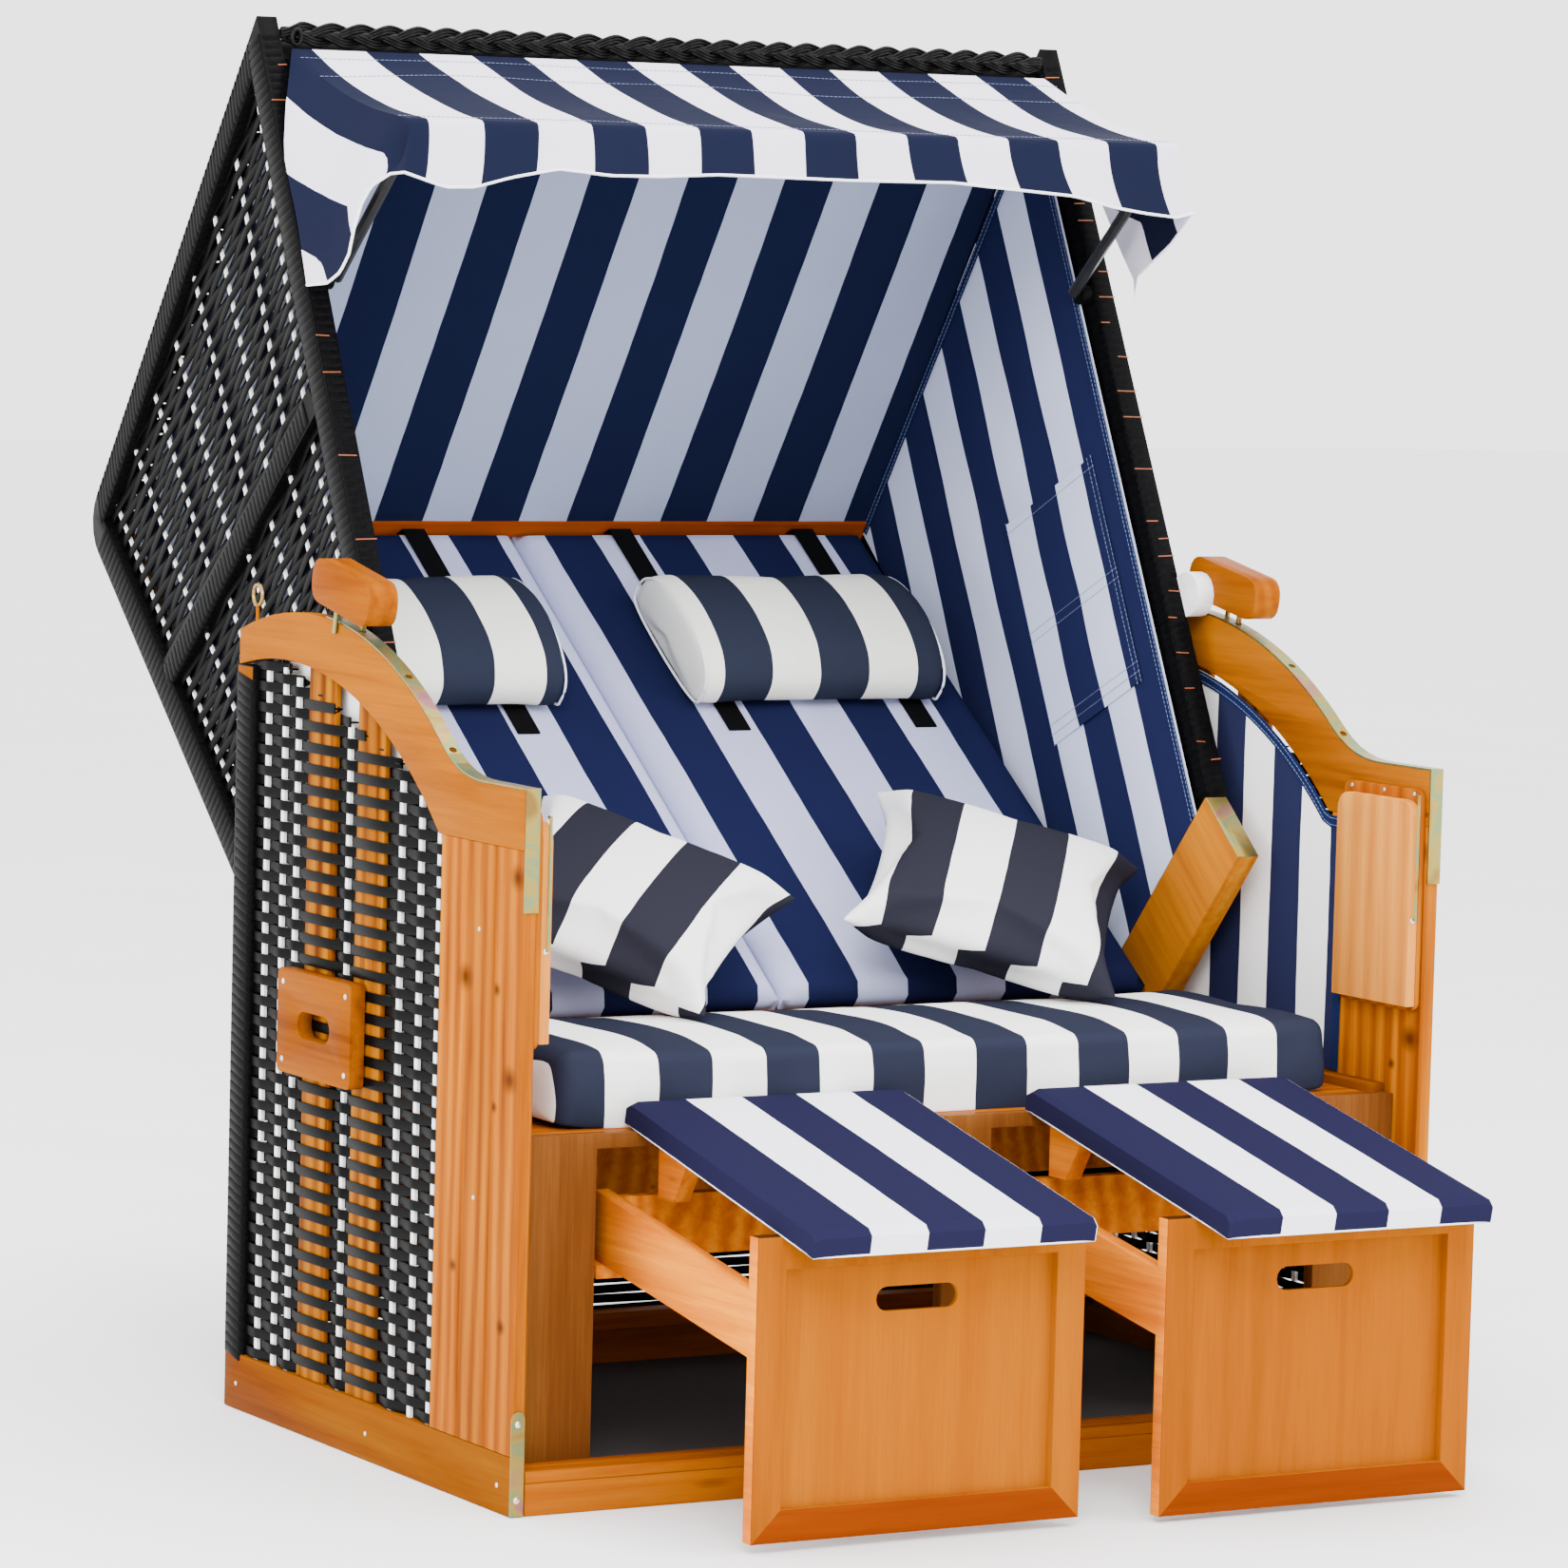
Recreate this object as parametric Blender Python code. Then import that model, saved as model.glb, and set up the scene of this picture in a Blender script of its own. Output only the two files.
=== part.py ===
"""Two-seat hooded beach chair: a slatted and woven base with curved arms, a reclining hood,
side tables, pull-out footrests, an awning and loose cushions.

Units are metres and +Z is up. X runs across the seat, the front faces -Y, and the origin lies
on the floor, in the middle of the front edge of the base. The hood turns about one pivot, and
the arms are arcs about that same pivot, so a latch on each handle meets a row of holes.
"""
import math

import bmesh
import bpy
from mathutils import Matrix, Vector

for old in list(bpy.data.objects):
    bpy.data.objects.remove(old, do_unlink=True)

# Running gaps
GAP = 0.0003
SLIDE_GAP = 0.0006
JOIN = 0.001
OVERRUN = 0.05

# Base box
BASE_WIDTH = 1.18
BASE_DEPTH = 0.722
WALL = 0.018
PLINTH_HEIGHT = 0.0645
PLANK_SPAN = 0.195
PLANK_TOP = 0.713
PLANK_CHAMFER = 0.003
PLANK_COUNT = 3
POST_DEPTH = 0.042
SILL_HEIGHT = 0.035
SILL_DEPTH = 0.068
TREAD_THICKNESS = 0.0127
TREAD_GROOVE = 0.0035
TREAD_GROOVE_COUNT = 3
STRAP_THICKNESS = 0.0015
FLOOR_SHEET_BOTTOM = 0.018
FLOOR_SHEET_THICKNESS = 0.003

# Pivot of the hood, which is also the centre of the arms' curve
PIVOT_Y = 0.541
PIVOT_Z = 0.388
PIVOT_BOLT_RADIUS = 0.006
PIVOT_HOLE_CLEARANCE = 0.0005
PIVOT_HEAD_RADIUS = 0.011
PIVOT_HEAD_THICKNESS = 0.004

# Arms
ARM_THICKNESS = 0.018
ARM_TOP_RADIUS = 0.542
ARM_BACK_Y = 0.717
ARM_BACK_UNDERSIDE = 0.861
ARM_ARC_FRONT_Y = 0.203
ARM_FLAT_BACK_Y = 0.095
ARM_FLAT_TOP = 0.777
ARM_UNDER_FRONT_Y = 0.2
ARM_UNDER_SAGITTA = 0.0675
ARM_ARC_STEPS = 18
NOTCH_STRIP_WIDTH = 0.017
NOTCH_STRIP_THICKNESS = 0.002
NOTCH_STRIP_START_DEG = 5.0
NOTCH_STRIP_DROP = 0.13
NOTCH_RADIUS = 0.0045
NOTCH_DEPTH = 0.014
NOTCH_ANGLES_DEG = (13.2, 26.3, 40.2)
RING_Y = 0.69
RING_RADIUS = 0.012
RING_WIRE_RADIUS = 0.0024
RING_STEM = 0.02

# Woven side fields of the base
BAND_THICKNESS = 0.0023
BAND_WIDTH = 0.0117
BAND_PITCH = 0.012
STAKE_THICKNESS = 0.0062
SLAT_WIDTH = 0.069
SIDE_SLAT_FRONT_Y = 0.343
SIDE_SLAT_REAR_Y = 0.470
WEAVE_INSET = 0.0015

# Grip plates outside the base
GRIP_Y = 0.469
GRIP_Z = 0.47
GRIP_LENGTH = 0.188
GRIP_HEIGHT = 0.118
GRIP_THICKNESS = 0.018
GRIP_CORNER = 0.008
GRIP_SLOT_LENGTH = 0.082
GRIP_SLOT_HEIGHT = 0.03

# Seat box
SEAT_FRAME_THICKNESS = 0.018
SEAT_DECK_TOP = 0.4
SEAT_DECK_THICKNESS = 0.016
SEAT_STILE_INNER = 0.467
SEAT_CENTRE_HALF = 0.03
SEAT_OPENING_TOP = 0.3835
SEAT_RAIL_BOTTOM = 0.35
SEAT_RAIL_TOP = 0.41
SEAT_RAIL_THICKNESS = 0.0247
SEAT_SLAT_COUNT = 5
SEAT_SLAT_GAP = 0.012
SEAT_BATTEN = 0.04
SEAT_DECK_REAR_Y = 0.445
BEARER_DEPTH = 0.025
BEARER_BOTTOM = 0.27
REAR_RAIL_THICKNESS = 0.016
REAR_LOW_RAIL_Z = 0.177
REAR_LOW_RAIL_HEIGHT = 0.017
REAR_MID_RAIL_Z = 0.234
REAR_MID_RAIL_HEIGHT = 0.038
REAR_TOP_RAIL_Z = 0.415
REAR_TOP_RAIL_HEIGHT = 0.035

# Seat cushion
SEAT_CUSHION_FRONT_Y = 0.0785
SEAT_CUSHION_REAR_Y = 0.41
SEAT_CUSHION_HALF = 0.503
SEAT_CUSHION_THICKNESS = 0.0865
CUSHION_ROUND = 0.014

# Hood: its sides are drawn along the rear bar (p) and square to it (q), from the pivot
HOOD_LEAN_DEG = 41.0
HOOD_HALF_WIDTH = 0.545
HOOD_BAR_THICKNESS = 0.028
HOOD_BAR_DEPTH = 0.04
HOOD_TOP_P = 0.996
HOOD_TOP_Q = 0.744
HOOD_KNEE_P = 0.942
HOOD_FRONT_FOOT_P = 0.101
HOOD_FRONT_FOOT_Q = 0.365
HOOD_KNEE_ROUND = 0.05
HOOD_ROOF_BAR_DEPTH = 0.036
MID_BAR_FRONT_P = 0.582
MID_BAR_REAR_P = 0.651
MID_BAR_WIDTH = 0.034
FOOT_BOARD_NEAR_P = 0.012
FOOT_BOARD_FAR_P = 0.085
FOOT_BOARD_TOP_Q = 0.36
FOOT_BOARD_OUTER = 0.54
FOOT_BOARD_THICKNESS = 0.03
FOOT_STRAP_WIDTH = 0.016
FOOT_STRAP_LEG = 0.11
FOOT_STRAP_RETURN = 0.05
HOOD_STRAND_PITCH = 0.022
HOOD_STRAND_WIDTH = 0.0105
HOOD_WEAVE_SETBACK = 0.011
CROSS_BAR_SIZE = 0.033
TOP_BAR_REAR_SHIFT = 0.024
BRAID_RADIUS = 0.0145
KNEE_BAR_INSET = 0.03
BACK_WEAVE_FOOT_P = 0.02
LINER_THICKNESS = 0.0045
LINER_FRONT_MARGIN = 0.047
ROOF_LINER_TOP_DROP = 0.028
ROOF_LINER_LOW_DROP = 0.05
BACK_FACE_FOOT_Q = 0.129
BACK_FACE_FALL = 0.09
BACK_HEIGHT = 0.88
BACK_HALF_WIDTH = 0.505
BACK_CUSHION_THICKNESS = 0.042
BACK_CUSHION_SPLIT = 0.003
BACK_BOARD_THICKNESS = 0.006
BACK_FOOT_P = 0.008
BEARER_P = 0.03
BEARER_SIZE = 0.03
CUSHION_RAIL_HEIGHT = 0.02
CUSHION_RAIL_THICKNESS = 0.034
CUSHION_RAIL_PROUD = 0.004
BOLSTER_LOW_P = 0.505
BOLSTER_HEIGHT = 0.225
BOLSTER_THICKNESS = 0.085
BOLSTER_EDGE_SHARE = 0.35
BOLSTER_INNER = 0.088
BOLSTER_OUTER = 0.443

# Handles with the latch pins
HANDLE_ANGLE_DEG = 10.7
HANDLE_CLEARANCE = 0.0155
HANDLE_LENGTH = 0.146
HANDLE_HEIGHT = 0.05
HANDLE_INNER = 0.566
HANDLE_THICKNESS = 0.036
HANDLE_CORNER = 0.02
HANDLE_PIN_RADIUS = 0.0035
GUIDE_PIN_RADIUS = 0.003
GUIDE_PIN_LENGTH = 0.03
GUIDE_PIN_SHIFT = 0.02
SPACER_RADIUS = 0.027
SPACER_Y = 0.475
SPACER_Z = 0.95

# Side tables
TABLE_FRONT_Y = 0.005
TABLE_DEPTH = 0.15
TABLE_BOTTOM = 0.5055
TABLE_HEIGHT = 0.2365
TABLE_THICKNESS = 0.0125
TABLE_CORNER = 0.02
BACKBOARD_THICKNESS = 0.0065
BACKBOARD_HEIGHT = 0.255
BACKBOARD_DROP = 0.006
STAY_LENGTH = 0.142
STAY_FOOT_Z = 0.606
STAY_RADIUS = 0.002
STAY_HOOK = 0.003

# Footrests
FOOTREST_SLOPE_DEG = 8.7
FOOTREST_OUT_LEFT = 0.32
FOOTREST_OUT_RIGHT = 0.34
FOOTREST_INNER = 0.045
FOOTREST_OUTER = 0.447
FOOTREST_CLOSED_BOTTOM = 0.059
FOOTREST_CLOSED_TOP = 0.382
FOOTREST_PANEL_THICKNESS = 0.018
FOOTREST_FRAME_WIDTH = 0.035
FOOTREST_INSET_THICKNESS = 0.006
FOOTREST_SLOT_LENGTH = 0.1
FOOTREST_SLOT_HEIGHT = 0.026
FOOTREST_SLOT_DROP = 0.075
FOOTREST_RAIL_THICKNESS = 0.018
FOOTREST_RAIL_HEIGHT = 0.075
FOOTREST_RAIL_LENGTH = 0.345
FOOTREST_RAIL_DROP = 0.053
FOOTREST_TAPER = 0.004
GUIDE_WIDTH = 0.034
GUIDE_THICKNESS = 0.015

# Footrest pads
PAD_HALF_GAP = 0.076
PAD_WIDTH = 0.345
PAD_LENGTH = 0.424
PAD_THICKNESS = 0.028
PAD_REAR_Y = 0.0715
PAD_LEG_INSET = 0.034
PAD_LEG_WIDTH = 0.02
PAD_LEG_Y = 0.005
PAD_LEG_DEPTH = 0.07
PAD_LEG_HEIGHT = 0.07

# Awning
BAIL_PIVOT_P = 0.703
BAIL_PIVOT_Q = 0.603
BAIL_LENGTH = 0.262
BAIL_RISE_DEG = 41.5
BAIL_HALF_WIDTH = 0.497
BAIL_RADIUS = 0.007
BAIL_CORNER = 0.03
CLIP_RADIUS = 0.013
CANOPY_THICKNESS = 0.003
CANOPY_HALF_WIDTH = 0.51
CANOPY_TOP_Y = 0.772
CANOPY_TOP_Z = 1.5695
CANOPY_SAG = 0.012
VALANCE_DROP = 0.065
FLAP_DROP = 0.19
FLAP_SETBACK = 0.004

# Throw pillows
PILLOW_THICKNESS = 0.115
PILLOW_LEAN_DEG = 27.0
PILLOW_CORE_SHARE = 0.62
PILLOW_LOW_Y = 0.225

PILLOWS = {
    "left": (-0.24, 0.35, -45.0),
    "right": (0.258, 0.35, -34.0),
}

SIDES = {"left": -1.0, "right": 1.0}
SIDE_OUTER = BASE_WIDTH / 2
SIDE_INNER = SIDE_OUTER - WALL
TREAD_TOP = SILL_HEIGHT + GAP + TREAD_THICKNESS
SEAT_FRAME_FRONT_Y = SILL_DEPTH - SEAT_FRAME_THICKNESS
SEAT_BACK_Y = SILL_DEPTH + GAP
RAIL_INNER = SIDE_INNER - GAP - SEAT_RAIL_THICKNESS
HOOD_INNER = HOOD_HALF_WIDTH - HOOD_BAR_THICKNESS
PIVOT = Vector((0.0, PIVOT_Y, PIVOT_Z))
LEAN = math.radians(HOOD_LEAN_DEG)
SLOPE = math.radians(FOOTREST_SLOPE_DEG)

COLOURS = {
    "pine": ((0.74, 0.44, 0.19), 0.5, 0.0),
    "plywood": ((0.72, 0.47, 0.24), 0.55, 0.0),
    "black_resin": ((0.02, 0.02, 0.022), 0.35, 0.0),
    "zinc_steel": ((0.62, 0.58, 0.42), 0.35, 1.0),
    "black_steel": ((0.03, 0.03, 0.03), 0.4, 1.0),
    "striped_fabric": ((0.55, 0.58, 0.66), 0.9, 0.0),
    "lining_fabric": ((0.5, 0.54, 0.62), 0.9, 0.0),
    "grey_sheet": ((0.5, 0.5, 0.5), 0.7, 0.0),
}


def make_material(name):
    """A Principled material with the colour, roughness and metallic value of a finish."""
    colour, roughness, metallic = COLOURS[name]
    material = bpy.data.materials.new(name)
    material.use_nodes = True
    shader = material.node_tree.nodes["Principled BSDF"]
    shader.inputs["Base Color"].default_value = (*colour, 1.0)
    shader.inputs["Roughness"].default_value = roughness
    shader.inputs["Metallic"].default_value = metallic
    return material


MATERIALS = {name: make_material(name) for name in COLOURS}


def make_collection(name):
    """A collection linked to the scene."""
    collection = bpy.data.collections.new(name)
    bpy.context.scene.collection.children.link(collection)
    return collection


PARTS = make_collection("hooded_beach_chair")
CUTTERS = make_collection("cutters")

# Each lay turns a flat outline (a, b) and a depth into world axes, as a right-handed set
SIDE_LAY = Matrix(((0, 0, 1, 0), (1, 0, 0, 0), (0, 1, 0, 0), (0, 0, 0, 1)))
FRONT_LAY = Matrix(((1, 0, 0, 0), (0, 0, -1, 0), (0, 1, 0, 0), (0, 0, 0, 1)))
TOP_LAY = Matrix.Identity(4)


def hood_point(p, q):
    """World (y, z) of a place p along the rear bar and q square to it, from the pivot."""
    return (
        PIVOT_Y + p * math.cos(LEAN) - q * math.sin(LEAN),
        PIVOT_Z + p * math.sin(LEAN) + q * math.cos(LEAN),
    )


def arc(centre, radius, start, end, steps):
    """Points of an arc in a plane, with angles in radians, both ends included."""
    angles = [start + (end - start) * i / steps for i in range(steps + 1)]
    return [(centre[0] + radius * math.cos(t), centre[1] + radius * math.sin(t)) for t in angles]


def sagitta_circle(start, end, sagitta):
    """Centre and radius of the circle through two points that bulges by the sagitta."""
    chord = Vector((end[0] - start[0], end[1] - start[1]))
    middle = Vector(((start[0] + end[0]) / 2, (start[1] + end[1]) / 2))
    radius = (chord.length ** 2 / 4 + sagitta ** 2) / (2 * sagitta)
    normal = Vector((-chord.y, chord.x)).normalized()
    if normal.y < 0:
        normal = -normal
    centre = middle - normal * (radius - sagitta)
    return centre, radius


def rounded_rectangle(low, high, radius, steps=4):
    """Outline of a rectangle with round corners."""
    corners = (
        (high[0] - radius, high[1] - radius, 0.0),
        (low[0] + radius, high[1] - radius, 0.5),
        (low[0] + radius, low[1] + radius, 1.0),
        (high[0] - radius, low[1] + radius, 1.5),
    )
    points = []
    for a, b, turn in corners:
        points += arc((a, b), radius, math.pi * turn, math.pi * (turn + 0.5), steps)
    return points


def rounded_corner(before, corner, after, radius, steps=5):
    """Points that replace a corner of an outline with an arc."""
    corner = Vector(corner)
    first = (Vector(before) - corner).normalized()
    last = (Vector(after) - corner).normalized()
    half = first.angle(last) / 2
    centre = corner + (first + last).normalized() * radius / math.sin(half)
    start = corner + first * radius / math.tan(half)
    end = corner + last * radius / math.tan(half)
    points = []
    for i in range(steps + 1):
        blend = start.lerp(end, i / steps) - centre
        points.append(tuple(centre + blend.normalized() * radius))
    return points


class Piece:
    """The solids of one node, gathered in world places and written as one object."""

    def __init__(self, name, finish, body="base"):
        self.name = name
        self.finish = finish
        self.body = body
        self.solids = [bmesh.new()]

    @property
    def shape(self):
        """The solid that is being modelled now."""
        return self.solids[-1]

    def also(self):
        """Start another solid, which is joined to the first one when the node is written."""
        self.solids.append(bmesh.new())

    def take(self, mesh, matrix):
        """Add a mesh to the piece, with its loose caps welded."""
        solid = bmesh.new()
        solid.from_mesh(mesh)
        bmesh.ops.remove_doubles(solid, verts=solid.verts, dist=1e-6)
        bmesh.ops.transform(solid, matrix=matrix, verts=solid.verts)
        bmesh.ops.recalc_face_normals(solid, faces=solid.faces)
        joined = bpy.data.meshes.new("joined")
        solid.to_mesh(joined)
        solid.free()
        self.shape.from_mesh(joined)
        bpy.data.meshes.remove(joined)

    def block(self, low, high, turn=None):
        """A box between two corners, then turned by a matrix where one is given."""
        low, high = Vector(low), Vector(high)
        size = high - low
        matrix = Matrix.Translation((low + high) / 2) @ Matrix.Diagonal((*size, 1.0))
        if turn is not None:
            matrix = turn @ matrix
        bmesh.ops.create_cube(self.shape, size=1.0, matrix=matrix)

    def strip(self, start, end, width, inner, outer):
        """A flat bar from one (y, z) place to another, between two X places."""
        start, end = Vector(start), Vector(end)
        run = end - start
        middle = (start + end) / 2
        turn = Matrix.Translation((0.0, middle.x, middle.y))
        turn = turn @ Matrix.Rotation(math.atan2(run.y, run.x), 4, "X")
        self.block((inner, -run.length / 2, -width / 2), (outer, run.length / 2, width / 2), turn)

    def plate(self, outlines, low, high, lay=SIDE_LAY):
        """A flat outline, with its holes, given its thickness between two places."""
        if len(outlines) == 1:
            self.prism(outlines[0], low, high, lay)
            return
        curve = bpy.data.curves.new(self.name, "CURVE")
        curve.dimensions = "2D"
        curve.fill_mode = "BOTH"
        curve.extrude = abs(high - low) / 2
        for outline in outlines:
            spline = curve.splines.new("POLY")
            spline.points.add(len(outline) - 1)
            for point, (a, b) in zip(spline.points, outline):
                point.co = (a, b, 0.0, 1.0)
            spline.use_cyclic_u = True
        middle = (low + high) / 2
        if lay is FRONT_LAY:
            middle = -middle
        self.bake_curve(curve, lay @ Matrix.Translation((0.0, 0.0, middle)))

    def prism(self, outline, low, high, lay):
        """An outline without holes, given its thickness between two places."""
        if lay is FRONT_LAY:
            low, high = -high, -low
        solid = bmesh.new()
        face = solid.faces.new([solid.verts.new((a, b, low)) for a, b in outline])
        grown = bmesh.ops.extrude_face_region(solid, geom=[face])["geom"]
        raised = [item for item in grown if isinstance(item, bmesh.types.BMVert)]
        bmesh.ops.translate(solid, verts=raised, vec=(0.0, 0.0, high - low))
        mesh = bpy.data.meshes.new("prism")
        solid.to_mesh(mesh)
        solid.free()
        self.take(mesh, lay)
        bpy.data.meshes.remove(mesh)

    def wire(self, points, radius, sides=2):
        """A round bar that follows a list of points, with filled ends."""
        curve = bpy.data.curves.new(self.name, "CURVE")
        curve.dimensions = "3D"
        curve.bevel_depth = radius
        curve.bevel_resolution = sides
        curve.use_fill_caps = True
        spline = curve.splines.new("POLY")
        spline.points.add(len(points) - 1)
        for point, place in zip(spline.points, points):
            point.co = (*place, 1.0)
        self.bake_curve(curve, Matrix.Identity(4))

    def bake_curve(self, curve, matrix):
        """Turn a curve into a mesh and take it."""
        holder = bpy.data.objects.new(self.name, curve)
        CUTTERS.objects.link(holder)
        graph = bpy.context.evaluated_depsgraph_get()
        mesh = bpy.data.meshes.new_from_object(holder.evaluated_get(graph))
        self.take(mesh, matrix)
        bpy.data.objects.remove(holder, do_unlink=True)
        bpy.data.meshes.remove(mesh)

    def rod(self, start, end, radius, sides=16):
        """A cylinder between two places."""
        start, end = Vector(start), Vector(end)
        run = end - start
        turn = run.to_track_quat("Z", "Y").to_matrix().to_4x4()
        bmesh.ops.create_cone(
            self.shape, cap_ends=True, segments=sides, radius1=radius, radius2=radius,
            depth=run.length, matrix=Matrix.Translation((start + end) / 2) @ turn,
        )

    def turned(self, profile, centre, sides=16):
        """A solid turned round the X axis, from a profile of (x, radius) that ends on it."""
        solid = bmesh.new()
        verts = [solid.verts.new((x, r, 0.0)) for x, r in profile]
        edges = [solid.edges.new(pair) for pair in zip(verts, verts[1:])]
        bmesh.ops.spin(solid, geom=verts + edges, cent=(0.0, 0.0, 0.0), axis=(1.0, 0.0, 0.0),
                       angle=2 * math.pi, steps=sides)
        mesh = bpy.data.meshes.new("turned")
        solid.to_mesh(mesh)
        solid.free()
        self.take(mesh, Matrix.Translation(centre))
        bpy.data.meshes.remove(mesh)

    def hull(self, points):
        """The convex solid round a set of points."""
        solid = bmesh.new()
        for point in points:
            solid.verts.new(point)
        bmesh.ops.convex_hull(solid, input=solid.verts)
        mesh = bpy.data.meshes.new("hull")
        solid.to_mesh(mesh)
        solid.free()
        self.take(mesh, Matrix.Identity(4))
        bpy.data.meshes.remove(mesh)

    def finish_object(self, cutter=None, operation="DIFFERENCE"):
        """Write the node's object, hung on its body's empty, joined and cut as asked."""
        origin = BODIES[self.body].matrix_world.translation
        first, *others = self.solids
        bmesh.ops.translate(first, verts=first.verts, vec=-origin)
        node = write_object(self.name, first, PARTS)
        node.data.materials.append(MATERIALS[self.finish])
        node.parent = BODIES[self.body]
        for index, solid in enumerate(others):
            joined = hide_tool(write_object(f"{self.name}_joined_{index}", solid, CUTTERS))
            add_boolean(node, joined, "UNION")
        if cutter is not None:
            add_boolean(node, cutter, operation)
        return node

    def finish_tool(self):
        """Write the solids as one hidden object that cuts others."""
        return hide_tool(write_object(self.name, self.shape, CUTTERS))


def write_object(name, shape, collection):
    """An object that holds a solid, in a collection."""
    mesh = bpy.data.meshes.new(name)
    shape.to_mesh(mesh)
    shape.free()
    made = bpy.data.objects.new(name, mesh)
    collection.objects.link(made)
    return made


def hide_tool(tool):
    """Keep a cutting or joining object out of the model itself."""
    tool.hide_render = True
    tool.display_type = "WIRE"
    return tool


def add_boolean(node, tool, operation):
    """Join, cut or clip a node by a tool object."""
    step = node.modifiers.new(tool.name, "BOOLEAN")
    step.operation = operation
    step.solver = "EXACT"
    step.object = tool


def make_cutter(name, rods):
    """An object of separate rods that cuts round holes."""
    shape = Piece(name, "pine")
    for start, end, radius in rods:
        shape.rod(start, end, radius)
    return shape.finish_tool()


def ribs(length, pitch, width, depth, shift=0.0):
    """Outline points (along, height) of a row of flat bands with grooves between them."""
    points = [(0.0, 0.0)]
    count = int((length - shift - width) / pitch) + 1
    for i in range(count):
        start = shift + i * pitch
        if start > 0.0:
            points.append((start, 0.0))
        points += [(start, depth), (start + width, depth), (start + width, 0.0)]
    if points[-1][0] < length:
        points.append((length, 0.0))
    if shift == 0.0:
        points = points[1:]
        points[0] = (0.0, depth)
    return points


def make_body(name, origin, parent=None):
    """An empty on a joint's axis, which the body's nodes hang on."""
    empty = bpy.data.objects.new(name + "_axis", None)
    empty.empty_display_size = WALL
    PARTS.objects.link(empty)
    empty.location = Vector(origin)
    if parent is not None:
        empty.parent = BODIES[parent]
        empty.location -= BODIES[parent].matrix_world.translation
    BODIES[name] = empty
    bpy.context.view_layer.update()
    return empty


def span(side, inner, outer):
    """Low and high X of a piece that lies between two distances from the middle."""
    sign = SIDES[side]
    return sorted((sign * inner, sign * outer))


# Arm curves

ARM_ARC_START = math.acos((ARM_BACK_Y - PIVOT_Y) / ARM_TOP_RADIUS)
ARM_ARC_END = math.acos((ARM_ARC_FRONT_Y - PIVOT_Y) / ARM_TOP_RADIUS)
UNDER_FRONT_Z = PLANK_TOP + GAP
UNDER_CENTRE, UNDER_RADIUS = sagitta_circle(
    (ARM_BACK_Y, ARM_BACK_UNDERSIDE), (ARM_UNDER_FRONT_Y, UNDER_FRONT_Z), ARM_UNDER_SAGITTA)


def arm_top(offset, start_angle=ARM_ARC_START):
    """Top line of an arm from back to front, raised by an offset."""
    radius = ARM_TOP_RADIUS + offset
    points = arc((PIVOT_Y, PIVOT_Z), radius, start_angle, ARM_ARC_END, ARM_ARC_STEPS)
    end_y, end_z = points[-1]
    flat_z = ARM_FLAT_TOP + offset
    slope = (PIVOT_Y - end_y) / (end_z - PIVOT_Z)
    run = end_y - ARM_FLAT_BACK_Y
    steps = ARM_ARC_STEPS // 3
    for i in range(1, steps + 1):
        s = 1 - i / steps
        ease = 3 * s ** 2 - 2 * s ** 3
        pull = (s ** 3 - s ** 2) * run * slope
        points.append((ARM_FLAT_BACK_Y + s * run, flat_z + ease * (end_z - flat_z) + pull))
    return points


def arm_underside_z(y):
    """Height of an arm's underside at a place along the base."""
    if y <= ARM_UNDER_FRONT_Y:
        return UNDER_FRONT_Z
    return UNDER_CENTRE.y + math.sqrt(UNDER_RADIUS ** 2 - (y - UNDER_CENTRE.x) ** 2)


# Hood curves
FRONT_DIRECTION = Vector(
    (HOOD_TOP_P - HOOD_FRONT_FOOT_P, HOOD_TOP_Q - HOOD_FRONT_FOOT_Q)).normalized()
FRONT_RISE = FRONT_DIRECTION.y / FRONT_DIRECTION.x
BAR_HALF = HOOD_BAR_DEPTH / 2
ROOF_LEAN = (HOOD_TOP_P - HOOD_KNEE_P) / (HOOD_TOP_Q + BAR_HALF)


def front_line(p, inset=0.0):
    """Distance q of the front bar's front edge at p, moved in by an inset."""
    return HOOD_FRONT_FOOT_Q + (p - HOOD_FRONT_FOOT_P) * FRONT_RISE - inset / FRONT_DIRECTION.x


def roof_line(q, inset=0.0):
    """Place p of the roof's outer edge at q, moved in by an inset."""
    return HOOD_KNEE_P + (q + BAR_HALF) * ROOF_LEAN - inset


def back_face(p):
    """Distance q of the back cushions' front face."""
    return BACK_FACE_FOOT_Q - BACK_FACE_FALL * p / BACK_HEIGHT


def roof_meets_front(roof_inset, front_inset):
    """Corner (p, q) where a moved roof line meets a moved front line."""
    p = HOOD_TOP_P
    for _ in range(12):
        p = roof_line(front_line(p, front_inset), roof_inset)
    return p, front_line(p, front_inset)


def hood_outline(points):
    """World outline of a list of (p, q) places."""
    return [hood_point(p, q) for p, q in points]


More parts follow.
